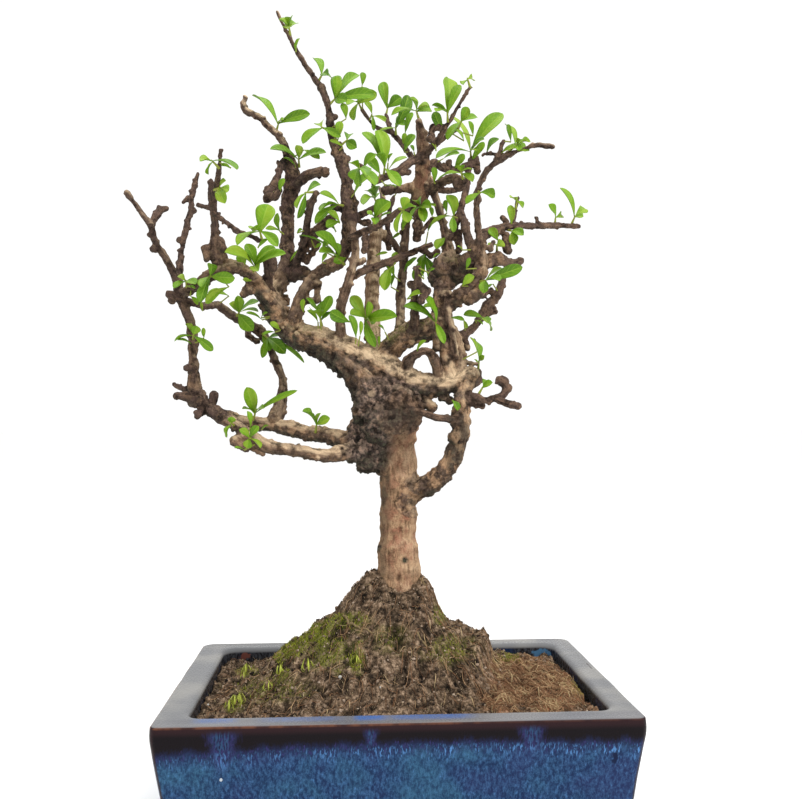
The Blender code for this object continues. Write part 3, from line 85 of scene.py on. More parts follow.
# Wood: each route lists (column px, row px, depth behind the trunk in mm before the spread, radius in mm)
ROUTES = {
    "trunk": [(399, 622, 0, 11.6), (398.5, 604, 0, 12), (398.5, 588, 0, 12.2), (399, 572, 0, 11.1),
        (398, 549, 0, 10), (398.3, 510, 0, 9.3), (399, 482, 0, 9.1), (399, 453, 0, 8.1), (394, 428, 0, 9),
        (386, 404, 0, 8.8), (384, 384, 0, 7.6), (390, 372, 0, 6)],
    "right_limb": [(403, 505, -1, 4.6), (417, 491, -4, 5), (432, 482.5, -7, 5.2), (448, 466, -9, 5.2),
        (455, 451, -10, 4.5), (460, 434, -10, 4.5), (460.5, 415, -9, 4.4), (464, 392, -7, 4.4),
        (469, 376, -4, 4.6)],
    "main_left_limb": [(470, 375, -4, 4.6), (460, 381, -4, 5), (440, 385, -4, 5.6), (422, 384, -3, 6.4),
        (404, 379, -2, 6.9), (388, 371, 0, 7.2), (369, 361, 1, 7.2), (355, 353, 2, 7.2), (340, 347, 4, 7.2),
        (311, 339, 6, 7.5), (294, 333, 8, 7.3), (282, 321, 9, 6.6), (273, 307, 11, 6.2), (273, 291, 13, 5.8),
        (282, 277, 15, 5.4), (288, 264, 16, 4.2), (287, 245, 18, 3.4), (288, 226, 20, 3.3),
        (288, 203, 22, 3.4), (291, 190, 22.5, 4.2), (293, 176, 23.5, 4.5), (291, 166, 24, 3.8),
        (288, 156, 24.5, 2.7), (285, 146, 25, 2.1), (279, 136.5, 26, 2), (271, 129, 27, 1.9),
        (257, 116, 28, 1.8), (246, 111, 29, 2.1), (243, 103, 30, 1.6), (246, 98, 30, 1.2)],
    "under_limb": [(300, 340, 8, 4.8), (319, 347, 6, 6), (338, 357, 4, 6.6), (356, 372, 2, 7.6),
        (370, 394, 0, 9)],
    "low_left_upper": [(366, 440, 0, 6.5), (348, 441, 2, 4.6), (328, 435.5, 6, 4.2), (307, 433, 9, 4),
        (290, 428.5, 11, 3.9), (267, 424, 12, 3.7), (243, 421.5, 12, 3.2), (221, 414.5, 9, 3.2),
        (206, 406, 5, 3.7), (198, 398, 3, 4.1), (195, 388, 2, 3.5), (194, 376, 1, 2.8), (193, 357.6, 0, 2.5),
        (193, 340, 0, 2.5), (190.7, 325, 0, 2.4), (186, 310, -1, 2.4), (180, 296, -2, 2.6),
        (176, 280, -4, 2.1), (168, 262, -6, 2), (160, 250, -8, 1.9), (154, 239, -10, 1.8),
        (150.5, 225, -12, 1.9), (143.6, 216, -13, 1.4), (134.4, 203, -14, 1.3), (127, 193, -15, 1.5)],
    "low_left_lower": [(366, 452, -4, 6), (346, 452, -9, 4.2), (328, 455.5, -14, 3.3), (298, 451, -18, 3.1),
        (267, 446, -19, 3), (252, 437, -17, 3.1), (236.5, 426, -12, 3.1), (221, 417, -4, 3.2),
        (207, 407, 3, 3.2)],
    "left_tip_side": [(150.5, 226, -12, 1.9), (156, 216, -8, 2), (161, 210, -5, 1.9), (167, 209, -3, 1.3)],
    "left_end_stub_low": [(199, 401, 3, 2.8), (188, 397, -2, 2.3), (176, 396, -5, 1.8)],
    "left_end_stub_high": [(197, 393, 2, 2.2), (186, 390, 7, 1.5), (174, 384.5, 11, 1.3)],
    "left_end_spur": [(206, 406, 5, 2.6), (200, 413, 0, 2.2), (197, 417, -2, 1.6)],
    "left_end_knob": [(209, 409, 4, 2.4), (213, 402, 3, 2.3), (214, 395, 3, 2)],
    "left_upright_spur_low": [(194, 368, 0, 1.9), (186, 368, -5, 1.5)],
    "low_left_twig": [(274, 421, 12, 4), (278, 411, 14, 3.7), (281, 399, 16, 3.2), (283, 386, 18, 2.6),
        (281, 374, 20, 2.3), (275, 360, 22, 2.2), (270, 348, 23, 2.1), (266, 340, 24, 2.3),
        (260, 331, 24, 2.9), (250, 325, 22, 2.4), (238, 319, 19, 2.4), (226, 311, 15, 2.3),
        (218, 305.5, 12, 2), (203, 305.5, 5, 1.9), (184, 300, -2, 2)],
    "left_second_upright": [(180, 292, -2, 2), (179, 280, 1, 1.9), (180, 265, 5, 1.8), (182.6, 245, 10, 1.7),
        (187, 225, 14, 1.7), (190.7, 209, 17, 1.6), (192, 196, 19, 1.5), (194.7, 185, 20, 1.4),
        (197.6, 174, 21, 1.1)],
    "left_arm": [(283, 316, 9, 5), (270, 301, 6, 4.8), (259, 286, 2, 4.2), (250, 275, -2, 3.6),
        (239, 268, -7, 3.3), (227, 267, -10, 3.4), (215, 273, -11, 3.3), (198, 284, -8, 2.8),
        (181, 296, -2, 2.6)],
    "left_node_stub": [(181, 297, -2, 2.4), (174, 297, -5, 2.2), (169, 294, -7, 1.8)],
    "left_arm_upright": [(222, 266, -10, 3.6), (216, 255, -12, 3.4), (214, 246, -13, 2.6),
        (215, 227, -16, 1.9), (213.6, 212.5, -19, 1.9), (213, 199, -21, 1.9), (211, 182, -23, 1.4)],
    "left_arm_fork": [(213, 203, -20, 1.6), (217, 184, -26, 1.5), (219, 168, -29, 1.2),
        (220.4, 150, -32, 0.9)],
    "left_arm_side": [(214, 212, -19, 1.4), (219, 217, -22, 1.2), (230, 225, -26, 1.2), (238, 232, -29, 1.5),
        (248, 235, -31, 1.3), (261, 241, -33, 1.2)],
    "left_arm_stub": [(213.4, 209, -19, 1.4), (207, 207, -17, 1.3), (198, 205, -15, 1.1)],
    "crown_left_stub": [(293, 188, 22, 3), (300, 181, 19, 2.7), (310, 174.5, 14, 2.7), (319, 172, 9, 2.8),
        (325, 172, 6, 2.6)],
    "crown_left_twig": [(289, 160, 24, 2.2), (282, 163, 20, 1.7), (278.5, 175, 15, 1.8), (273, 187, 11, 2.6),
        (267, 199, 7, 2.5)],
    "burl_stub": [(266, 292, 6, 3), (269, 277, 2, 2.2), (266, 262, -2, 1.6)],
    "burl_twig": [(293, 272, 14, 2.4), (299, 257, 8, 2.1), (304, 241, 3, 2), (308, 218, -3, 1.8),
        (311, 204, -6, 1.8), (316, 193, -9, 1.3)],
    "burl_stub_right": [(300, 256, 8, 2.3), (310, 238, 5, 2.6), (321, 227, 1, 2.8), (331, 220, -3, 2.8)],
    "leader_foot": [(292, 328, 7, 4.6), (297, 310, 4, 3.6), (303, 294, 4, 3), (312, 280, 5, 3),
        (324, 269, 3, 3), (337, 262, 0, 3.6), (346, 248, 0, 3), (349, 228, 1, 3.5), (349, 203, 2, 4.2),
        (347, 191, 3, 3.3), (346, 182, 3, 2.4), (344, 170, 4, 3.1), (341, 159, 4, 3.5), (336, 147, 5, 3.2),
        (332, 137, 5, 2.5), (330, 120, 6, 2.1), (327, 103, 6, 1.9), (321, 88, 6, 2), (317, 82, 6, 1.5),
        (304, 63, 5, 1.3), (292, 42, 4, 1.1), (277, 12, 3, 0.8)],
    "pink_branch": [(342, 345, 4, 3.4), (340, 321, -2, 2.6), (342, 302, -6, 2.4), (348, 283, -8, 2.3),
        (355, 257, -7, 2.2), (355, 242, -5, 2.1), (351, 226, -1, 2)],
    "centre_sweep": [(350, 279, -8, 1.9), (361, 272, -2, 1.9), (380, 265, 4, 1.8), (399, 258, 9, 1.7),
        (417, 250, 14, 1.6), (431, 245, 18, 1.3)],
    "centre_front": [(350, 240, -3, 1.9), (360, 233, -10, 1.8), (374, 227, -16, 1.8), (390, 218, -21, 1.7),
        (400, 210, -24, 1.4)],
    "centre_back_a": [(374, 352, 2, 4.4), (373, 333, 6, 4), (372, 315, 10, 3.9), (372, 289, 14, 3.8),
        (373, 270, 17, 3.8), (374, 251, 20, 3.8), (376, 234, 22, 3.4), (378, 216, 25, 2.2),
        (383, 200, 29, 1.5), (380, 188, 33, 1)],
    "centre_back_b": [(400, 336, 3, 3.2), (400, 321, 8, 2.7), (400.5, 306, 12, 2.6), (401, 289, 14, 2.5),
        (403, 271, 15, 2.4), (405, 238, 14, 2.3), (407, 217, 11, 2.3), (415, 200, 8, 2.6)],
    "centre_dark": [(404, 262, 16, 1.8), (396, 246, 22, 1.7), (388, 232, 27, 1.6), (389, 214, 31, 1.4),
        (394, 196, 35, 1)],
    "centre_short": [(414, 330, 0, 2.6), (415, 314, -5, 2.2), (414, 298, -9, 1.9), (417, 283, -12, 1.9),
        (418, 268, -15, 1.6)],
    "mossy_rise": [(378, 362, 0, 5.2), (387, 351, 1, 4.8), (397, 340, 2, 5), (412, 331, 2, 5.1),
        (429, 327, 1, 4.9), (444, 313, 0, 4.2)],
    "centre_loop": [(405, 374, -3, 3.2), (408, 363, -6, 2.8), (414, 355, -9, 2.1), (426, 351, -10, 1.9),
        (434, 358, -9, 2.6), (438, 372, -6, 2.8), (439, 383, -4, 3)],
    "right_leader": [(452, 380, -4, 4.8), (447, 366, -3, 4.1), (447, 347, -2, 3.8), (445, 328, -1, 4),
        (441, 308, 0, 4.3), (442, 291, 2, 4.6), (448, 272, 3, 5), (449, 254, 4, 3.3), (447, 241, 5, 2.4),
        (441.6, 219, 5, 2), (436, 200, 5, 1.9), (430, 181, 4, 2.6)],
    "right_light": [(455, 356, -5, 2.2), (452, 334, -5, 1.9), (448, 312, -4, 2), (449, 294, -2, 2.4)],
    "crown_column": [(418, 203, 8, 4.2), (422, 188, 6, 5), (423, 170, 4, 4.2), (423, 150, 2, 3.5),
        (421, 134, 1, 2.6), (419, 121, 0, 1.5)],
    "right_root": [(460, 382, -4, 3.4), (459.5, 352, -1, 3.2), (452, 330, 0, 3)],
    "crown_front": [(424, 158, 2, 2.2), (414, 160, -3, 2), (402, 168, -10, 1.9), (387, 176, -16, 1.7),
        (374, 181, -21, 1.6), (367, 172, -24, 1.4), (358, 164, -27, 1.1)],
    "crown_back_left": [(424, 168, 4, 2), (415, 160, 10, 1.7), (409, 154, 14, 1.6), (401, 143, 19, 1.5),
        (391, 131, 23, 1.4), (386, 115, 27, 1)],
    "crown_back_thin": [(391, 132, 23, 1.2), (375, 126, 28, 1.1), (362, 110, 31, 0.9)],
    "crown_arch": [(427, 172, 4, 2), (434, 163, 8, 1.9), (442, 168, 12, 1.9), (454, 170, 16, 1.8),
        (470, 165, 20, 1.8)],
    "crown_arch_stub": [(448, 169, 14, 1.7), (449, 162, 15, 1.5)],
    "crown_right_front": [(432, 190, 4, 2.4), (442, 182, -4, 2.3), (455, 178, -10, 2.3),
        (464, 182, -14, 1.6)],
    "crown_right_stalk": [(448, 240, 5, 2.4), (457, 222, 8, 1.9), (462, 205, 12, 1.8), (466, 189, 16, 1.8),
        (468, 172, 19, 1.7), (471, 160, 21, 1.5)],
    "crown_right_link": [(460, 210, 11, 1.8), (464, 222, 5, 2), (468, 238, -2, 2.2), (474, 254, -9, 2.4)],
    "crown_top_twig": [(424, 154, 2, 2), (437, 142, -4, 1.6), (446, 127, -8, 1.2), (470, 87, -14, 0.8)],
    "crown_top_side": [(436, 143, -4, 1.4), (447, 136, -2, 1.2), (457.6, 129, 0, 0.9)],
    "right_arm": [(444, 306, 0, 4.2), (455, 300, -4, 4), (468, 289, -8, 3.8), (479, 274, -10, 3.6),
        (482, 260, -10, 3), (480, 246, -10, 1.9), (478, 226, -12, 1.5), (477, 213, -14, 1.5),
        (476.7, 200, -15, 1.5), (478, 188, -17, 1.5), (484, 175, -19, 1.4), (492, 165, -22, 1.5),
        (501, 159, -24, 2), (511, 153.5, -27, 1.4), (524, 149, -31, 0.9), (537, 145.5, -34, 1.3),
        (553, 147, -37, 1.2)],
    "right_arm_stub_left": [(500, 158, -24, 1.4), (494, 154, -21, 1.1), (484, 154, -16, 0.9)],
    "right_arm_stub_up": [(500, 158, -24, 1.4), (500, 149, -26, 1.1), (503.5, 141.6, -27, 0.9)],
    "right_reach": [(474, 250, -9, 2.8), (483, 237, -4, 2.6), (494, 230, 2, 2.4), (513, 226, 8, 1.9),
        (537, 226, 14, 1.7), (560, 225.5, 18, 1.6), (579, 226.7, 21, 1.2)],
    "right_reach_spur": [(537, 227, 14, 1.4), (537, 218, 16, 1.1)],
    "right_reach_upright": [(512, 227, 8, 1.7), (515, 212, 13, 1.2), (518, 198, 17, 1)],
    "right_arm_spur": [(480, 266, -10, 3.6), (491, 261, -6, 3.8), (501, 260, -2, 3), (511, 264, 2, 2.3),
        (521, 261, 5, 1.9)],
    "right_low": [(448, 340, -2, 3.2), (462, 335, 4, 2.4), (474, 327, 9, 2.2), (482, 315, 13, 2.4),
        (487, 305, 15, 2.8), (497, 296, 17, 2.5), (503, 279, 19, 1.9)],
    "right_hook": [(461, 396, -7, 3.6), (474, 397, -10, 2.3), (484, 400.5, -12, 1.8), (494, 398.5, -13, 1.8),
        (503, 395, -13, 1.8), (506, 387, -13, 2.1), (502, 381, -13, 2.2)],
    "right_hook_spur": [(495, 398.5, -13, 1.8), (505, 402.5, -16, 1.6), (516, 406, -19, 1.8)],
    "right_elbow_stub": [(469, 385, -5, 2.6), (477, 382, 0, 2.2), (478, 371, 3, 1.7)],
    "burl_bridge": [(408, 411, -10, 3), (420, 412, -14, 1.9), (434, 417, -14, 1.7), (446, 419, -13, 1.7),
        (459, 420, -10, 2)],
    "leader_stub_left": [(348, 209, 1, 2.2), (339, 208, 4, 1.8), (332, 207, 7, 1.4)],
    "leader_stub_right": [(350, 219, 0, 2.2), (360, 215, 6, 1.9), (377, 207, 13, 1.5)],
}

# Burl lumps and knots: (column px, row px, depth in mm, half width, half depth and half height in mm)
LUMPS = [
    (388, 424, -1, 16, 15, 13), (372, 446, -2, 10.5, 10, 9.5), (368, 462, -4, 6.2, 6.8, 6.2),
    (368, 412, -2, 8.6, 11, 9), (409, 414, -3, 8, 10, 9), (384, 396, 1, 12, 12.5, 10),
    (365, 430, 3, 8.8, 11, 8.5), (398, 400, -6, 8, 8, 7.5), (380, 430, -8, 8.5, 7, 8),
    (401, 438, -2, 7.3, 8.3, 7), (390, 410, 7, 10, 8, 9), (385, 468, -4, 5.2, 6.2, 5),
    (408.5, 361, -5, 3.3, 3.2, 3.2), (292, 273, 15, 6.6, 6.2, 5.4), (302, 273, 12, 5.4, 5.8, 4),
    (337, 263, 0, 4.2, 4, 3.8), (460, 270, -1, 6.8, 6.4, 7.2), (446, 268, 2, 7.4, 6.4, 7.6),
    (436, 276, 4, 4.6, 4.8, 5.6), (469, 263, -6, 5.4, 5.2, 5.6), (459, 184, -11, 3.6, 3.4, 3.6),
    (241, 437, -14, 3, 2.6, 3.2), (214, 396, 3, 2.5, 2.4, 2.8), (196, 400, 2, 5, 4.8, 4.4),
    (260, 331, 24, 3.5, 3.2, 3.3), (181, 296, -2, 3.8, 3.6, 3.8), (172, 301, -5, 2.4, 2.2, 1.9),
    (219, 258, -11, 4.6, 4.4, 4.2), (231, 267, -9, 4.2, 4, 3.8), (321, 88, 6, 2.5, 2.4, 2.4),
    (411, 284, -11, 2.3, 2.2, 2.2), (491, 309, 15.5, 2.9, 2.6, 2.8), (502, 381, -13, 2.6, 2.5, 2.6),
    (517, 406, -19.5, 2.3, 2.1, 2.1), (500, 158, -24, 2.7, 2.6, 2.6), (472, 162, 20, 2.3, 2.2, 2.2),
    (546, 146.5, -36, 2.3, 1.5, 1.5), (335, 117, 6, 1.9, 1.8, 1.7), (334, 153, 5, 2.2, 2.1, 2),
    (347, 160, 4, 2.1, 2, 2), (154, 249, -9, 2.4, 2.2, 2), (188.5, 199, 18.5, 2, 1.8, 1.8),
    (193, 211, 17, 2.2, 1.8, 1.9), (180, 240, 10.5, 2.1, 1.9, 1.8), (195, 186, 20, 1.9, 1.8, 1.9),
    (309, 204, -6, 2.4, 2.2, 2.2), (480, 272, -10, 4.4, 4.2, 4.2), (445, 300, 0, 5.2, 5, 4.8),
    (461, 379, -4, 5.8, 5.6, 5.2), (432, 484, -7, 4.9, 4.8, 4.6), (449, 353, -2, 4.6, 4.6, 4.8),
    (269, 190, 10, 2.8, 2.6, 2.7), (213, 199, -21, 2.4, 2.2, 2.3), (157, 214, -7, 2.4, 2.2, 2.4),
    (455, 437, -12, 4, 4, 4.2), (495, 232, 2, 3, 2.8, 2.8), (498, 259, -3, 4, 3.8, 3.8),
]

# Sprays: base (column px, row px, depth), shown tips (column px, row px, depth offset, width in mm), how many
# blades fill it and how long they are in mm
SPRAYS = {
    "tip_top": ((291, 41, 4), [(279, 19, -3, 4.5), (288, 24, -6, 5.5), (296, 22, 2, 5)], 2, 8),
    "tip_upper": ((318, 82, 6), [(315, 57, 3, 6), (327, 74, -5, 5), (333, 78, 6, 4.5)], 0, 8),
    "tip_right": ((331, 103, 6), [(346, 100, -6, 6.5), (374, 94, -2, 7), (332, 76, 2, 6), (358, 72, 6, 6)], 1,
        10),
    "leader_left": ((331, 132, 5), [(302, 142, -3, 6.5), (321, 122, 4, 5.5), (340, 136, -6, 4)], 0, 8),
    "leader_right": ((339, 147, 5), [(356, 147, -4, 5.5), (349, 133, 5, 5)], 0, 9),
    "crown_left_low": ((299, 164, 22), [(271, 147, -6, 8), (297, 145, -3, 6), (325, 151, -6, 6)], 0, 10),
    "crown_left_mid": ((276, 132, 27), [(254, 93, 2, 7.5), (309, 113, -6, 6.5), (283, 119, -5, 4)], 0, 10),
    "arm_fork_top": ((218, 167, -30), [(200, 160, -4, 6), (246, 152, -5, 6.5), (209, 174, 3, 4)], 0, 7),
    "arm_fork_mid": ((214, 190, -25), [(224, 202, -8, 5.5), (229, 190, -3, 5), (225, 180, -6, 4)], 0, 8),
    "arm_side_big": ((262, 240, -33), [(268, 204, -2, 9), (236, 243, -5, 6), (253, 230, 5, 5),
        (278, 245, -4, 5)], 1, 9),
    "arm_side_low": ((253, 272, -4), [(227, 250, -14, 7.5), (273, 247, -12, 6), (284, 252, -9, 6)], 3, 11),
    "left_node": ((187, 289, -6), [(178, 276, -4, 5), (195, 283, -8, 5.5)], 1, 8),
    "left_arm_low": ((208, 279, -12), [(211, 262, -6, 5), (234, 278, -6, 6), (200, 301, -9, 5.5)], 2, 10),
    "burl_twig_top": ((316, 192, -9), [(296, 207, -4, 4), (298, 217, -2, 4), (318, 180, 3, 4)], 0, 7),
    "leader_mid_left": ((345, 206, 0), [(321, 192, -7, 5.5), (320, 209, -9, 6), (315, 222, -6, 5)], 0, 8),
    "leader_low_left": ((342, 262, -4), [(318, 231, -9, 6.5), (320, 250, -9, 5.5), (301, 232, 2, 4)], 1, 9),
    "leader_out_right": ((378, 206, 13), [(368, 189, -8, 6), (360, 199, -14, 6), (376, 192, 5, 5)], 1, 9),
    "centre_fan": ((358, 164, -27), [(354, 180, -4, 6.5), (372, 186, -6, 7), (364, 178, -9, 6)], 2, 9),
    "front_big": ((384, 173, -18), [(379, 129, 1, 7.5), (364, 130, 3, 6), (400, 185, -4, 6)], 1, 10),
    "centre_front_tip": ((400, 209, -25), [(407, 197, -3, 5), (408, 222, -4, 5), (396, 232, -2, 4)], 1, 8),
    "centre_front_mid": ((374, 226, -17), [(389, 201, -7, 8), (368, 213, -5, 5)], 1, 8),
    "column_low": ((420, 208, 6), [(416, 199, -14, 5), (430, 206, -12, 5.5), (424, 220, -12, 5)], 2, 9),
    "back_thin_top": ((362, 110, 31), [(359, 93, 3, 6.5), (347, 103, -8, 6), (376, 92, -4, 6.5),
        (352, 120, 2, 5)], 1, 9),
    "back_twig_top": ((386, 115, 27), [(377, 84, 2, 6), (401, 97, -2, 6.5), (391, 104, 6, 5)], 0, 9),
    "back_left_mid": ((396, 137, 21), [(409, 95, -3, 7), (404, 124, -6, 6), (378, 140, 6, 5)], 1, 9),
    "right_leader_top": ((419, 120, 0), [(411, 97, -2, 8), (391, 113, 4, 5), (431, 108, 3, 6)], 1, 9),
    "top_twig_tip": ((470, 87, -14), [(463, 84, -3, 4), (473, 79, 3, 4)], 0, 6),
    "top_twig_mid": ((448, 124, -9), [(449, 76, 3, 8.5), (436, 110, -6, 6), (462, 84, -5, 5)], 1, 9),
    "top_side": ((458, 129, 0), [(468, 107, -3, 5), (478, 116, 3, 4.5), (446, 140, -4, 5)], 0, 8),
    "arch_end": ((471, 158, 21), [(452, 113, 3, 7.5), (502, 112, -4, 8.5), (436, 155, -8, 6),
        (483, 138, -9, 5)], 1, 9),
    "right_front_tip": ((464, 182, -14), [(473, 181, -4, 5), (460, 165, -5, 4.5), (437, 178, 5, 5)], 1, 8),
    "stalk_low": ((458, 219, 8), [(448, 195, -7, 7), (453, 231, -8, 4), (430, 229, -8, 4)], 0, 8),
    "right_arm_mid": ((478, 191, -17), [(495, 196, -4, 6), (466, 203, -4, 4)], 0, 8),
    "right_arm_knot": ((508, 152, -26), [(507, 123, 2, 6), (529, 152, -4, 5), (518, 157, -6, 5)], 2, 7),
    "reach_upright": ((515, 213, 13), [(511, 197, -3, 5.5), (523, 206, 3, 4)], 0, 8),
    "reach_mid": ((508, 230, 6), [(523, 234, -8, 5), (516, 243, -6, 5)], 0, 8),
    "reach_spur": ((555, 223, 18), [(550, 204, -4, 5.5), (562, 214, 3, 4)], 0, 8),
    "reach_end": ((573, 221, 20), [(562, 187, -3, 6.5), (586, 208, 3, 5.5), (583, 216, -4, 4)], 0, 10),
    "right_long": ((483, 281, -13), [(522, 267, -7, 6), (499, 279, -10, 6), (483, 292, -6, 5)], 1, 10),
    "right_spur": ((497, 255, -2), [(503, 241, -3, 5), (489, 246, -6, 4)], 0, 8),
    "right_low_mid": ((478, 321, 12), [(488, 322, -10, 5), (464, 314, -6, 5), (492, 330, 4, 4)], 0, 9),
    "elbow": ((478, 370, 3), [(475, 338, 2, 7), (484, 356, -3, 3)], 0, 8),
    "hook": ((480, 392, -11), [(492, 382, -3, 4), (486, 379, 3, 3)], 0, 6),
    "centre_sweep_tip": ((428, 246, 17), [(421, 262, -5, 6), (434, 280, 1, 7), (403, 272, -4, 6)], 0, 9),
    "sweep_low": ((398, 259, 9), [(384, 289, -8, 6.5), (388, 275, -4, 5)], 0, 9),
    "centre_right": ((437, 326, -6), [(427, 296, -6, 7), (410, 297, -7, 6), (444, 342, -9, 4)], 0, 9),
    "centre_low": ((367, 324, 8), [(394, 316, -18, 7), (351, 313, -10, 7), (349, 297, -6, 6),
        (374, 346, -12, 5)], 2, 9),
    "left_burl_low": ((321, 322, 0), [(313, 309, -9, 7.5), (331, 296, -3, 5), (302, 300, -5, 4.5)], 1, 9),
    "twig_knot": ((263, 334, 22), [(285, 352, -8, 7), (262, 357, -6, 4), (305, 361, -3, 3.5)], 1, 9),
    "twig_left": ((236, 317, 17), [(252, 330, -7, 7.5), (258, 303, -6, 6.5), (230, 303, -5, 6)], 2, 10),
    "left_mid": ((193, 342, 0), [(174, 340, -4, 5), (197, 326, -5, 5), (213, 350, -4, 4.5)], 1, 8),
    "low_left_back": ((254, 417, 9), [(247, 388, -6, 7), (295, 390, -10, 3.2), (262, 404, -8, 4)], 1, 8),
    "low_left_front": ((316, 429, 4), [(304, 410, -7, 6.5), (329, 418, -5, 5), (320, 413, -2, 4)], 0, 8),
    "low_left_under": ((250, 437, -16), [(247, 448, -6, 4.5), (262, 449, -6, 4), (240, 429, -8, 4)], 0, 7),
    "left_low_tip": ((236, 427, -12), [(226, 437, -6, 4.5), (232, 417, -6, 4)], 0, 7),
}

# Soil heights over the rim: (distance from the trunk in mm, height in mm)
MOUND_RIGHT = [
    (0, 49), (11, 50), (15, 46.4), (17.6, 41), (20, 33), (22.4, 29.6), (26, 24.2), (29, 23.2), (33, 21.2),
    (43, 19.4), (45, 16.5), (47.5, 9), (52, 5), (60, 2), (78, 0), (91, -6),
]
MOUND_BACK = [
    (0, 47), (14, 47), (22, 38), (34, 24), (46, 8), (56, -3), (63, -7), (80, -7), (92, -7),
]
MOUND_LEFT = [
    (0, 50), (12, 53), (15, 51.5), (19.4, 47.5), (23.3, 44), (26.8, 37.5), (29.4, 34), (33, 30.5), (47, 20),
    (60, 11), (66, 5), (78, -3), (91, -7),
]
MOUND_FRONT = [
    (0, 44), (14, 43), (22, 36), (34, 22), (46, 9), (56, 0), (63, -3), (80, -4), (92, -5),
]

# How blades and shoots are spread and kept apart
ROUTE_STEP = 0.009
LIMB_GRAIN = 0.07
BLADE_THICKNESS = 0.00066
BLADE_OUTLINE = ((0.36, 0.56), (0.72, 1.0), (0.93, 0.68))
BLADE_TESTS = 8
SEEN_FACING = np.array((0.0, -0.8, 0.6))
OPEN_FACING = np.array((0.0, -0.25, 1.0))
EXTRA_BREADTH = 0.52
SWING_STEP = 0.13
SWING_TRIES = 60
ROLL_SPREAD = 0.5
ROLL_STEP = 0.35
SHOOT_LENGTH = 0.0032
SHOOT_CLEARANCE = 0.0004
SHOOT_REACH = 0.02
SHOOT_STEP = 0.0001
WOOD_CLEARANCE = 0.0006
LEAF_CLEARANCE = 0.0021

# Bark regions on the picture's pixel grid: centre column and row, half width, half height, strength
BURL_REGIONS = (
    (408, 412, 18, 14, 0.9), (369, 442, 24, 36, 1), (388, 398, 40, 26, 0.95), (366, 464, 20, 18, 0.9),
    (300, 272, 26, 18, 0.45), (452, 272, 24, 26, 0.7), (332, 366, 34, 14, 0.6), (200, 402, 20, 16, 0.5),
    (448, 394, 14, 10, 0.7),
)
# Dark spots in the bark, and painted shade along the limbs' shadow sides
DARK_AND_SHADED_BARK = (
    (402, 418, 16, 15, 0.7), (394, 436, 12, 14, 0.5), (400, 450, 16, 24, 0.35), (310, 353, 20, 10, 0.85),
    (327, 363, 18, 12, 0.85), (341, 379, 15, 16, 0.8), (350, 398, 10, 18, 0.75), (383, 478, 7, 32, 0.8),
    (387, 505, 5, 22, 0.4), (370, 466, 16, 14, 0.8), (457, 446, 12, 38, 0.6), (384, 455, 6, 40, 0.4),
    (383, 520, 4, 70, 0.45), (379, 548, 3, 4, 1), (405, 560, 3, 3, 1), (448, 393, 12, 7, 0.7),
    (374, 422, 14, 16, 0.55), (474, 366, 8, 22, 0.6), (430, 334, 22, 8, 0.5),
)
# Painted highlights: pale where the tops of the limbs face the light
HIGHLIGHTED_BARK = (
    (335, 343, 12, 5, 0.8), (352, 348, 14, 6, 0.9), (368, 354, 14, 6, 0.9), (384, 361, 14, 7, 0.9),
    (400, 369, 14, 7, 0.95), (414, 377, 13, 7, 1), (430, 383, 14, 7, 1), (446, 380, 14, 8, 1),
    (458, 376, 8, 5, 0.9), (372, 393, 4, 4, 0.7), (391, 404, 4, 4, 0.4), (413, 480, 6, 40, 0.3),
)
# Painted shadow: regions of the crown and limbs that lie in shade
SHADOWED_BARK = (
    (160, 270, 48, 110, 0.6), (212, 404, 22, 20, 0.95), (203, 345, 14, 60, 0.55), (505, 215, 36, 60, 0.3),
    (291, 215, 17, 84, 0.95), (347, 195, 15, 72, 0.95), (326, 100, 14, 46, 0.85), (300, 60, 26, 44, 0.5),
)
# Painted shadow: each limb's share of it
SHADOWED_ROUTES = {
    "burl_twig": 0.6, "crown_arch_stub": 0.4, "crown_column": 0.15, "crown_left_twig": 0.5,
    "centre_back_b": 0.35, "centre_dark": 0.65, "centre_short": 0.5, "crown_back_left": 0.45,
    "crown_back_thin": 0.45, "crown_arch": 0.35, "crown_right_front": 0.15, "crown_right_stalk": 0.35,
    "crown_right_link": 0.3, "crown_top_side": 0.25, "crown_top_twig": 0.2, "crown_front": 0.15,
    "right_arm": 0.15, "right_arm_stub_left": 0.2, "right_arm_stub_up": 0.2, "right_reach": 0.2,
    "right_arm_spur": 0.3, "right_low": 0.4, "right_hook": 0.2, "right_hook_spur": 0.2,
    "right_elbow_stub": 0.4, "burl_bridge": 0.1, "low_left_twig": 0.6, "left_second_upright": 0.45,
    "left_arm_upright": 0.6, "left_arm_fork": 0.6, "left_arm_side": 0.5, "left_arm_stub": 0.5,
    "left_node_stub": 0.5, "burl_stub": 0.5, "left_end_stub_low": 0.6, "left_end_stub_high": 0.6,
    "left_end_spur": 0.5, "left_end_knob": 0.7, "leader_stub_left": 0.7, "leader_stub_right": 0.5,
    "left_upright_spur_low": 0.6,
}
FILLS = (
    (404, 437, 1, 5.2, 9.5, 5.2), (409, 424, 1, 5, 8, 4.6), (410, 437, -1, 3.7, 8.5, 4.2),
    (421, 399, 0, 4.6, 5, 4.2), (503, 382, -13, 3.2, 3, 3.1), (507, 388, -13, 2.6, 2.5, 2.6),
    (513, 405, -18.5, 2.5, 2.2, 2.2), (342, 372, 3, 3, 3.6, 3.4), (431, 393, 0, 3.4, 3, 3.2),
)
LIT_ROUTES = ("pink_branch", "centre_back_a", "centre_front", "centre_sweep")
WARM_REGIONS = (
    (400, 538, 16, 34, 1), (392, 500, 12, 20, 0.6), (404, 590, 12, 16, 0.5), (406, 440, 18, 22, 0.55),
    (411, 414, 13, 16, 0.6), (398, 470, 16, 30, 0.6), (424, 160, 13, 46, 0.9), (452, 280, 16, 30, 0.5),
)
BARK_MOSS = (
    (398, 334, 30, 12, 0.8), (430, 326, 18, 8, 0.7), (300, 330, 18, 8, 0.4), (225, 262, 14, 8, 0.4),
    (452, 262, 12, 8, 0.4),
)
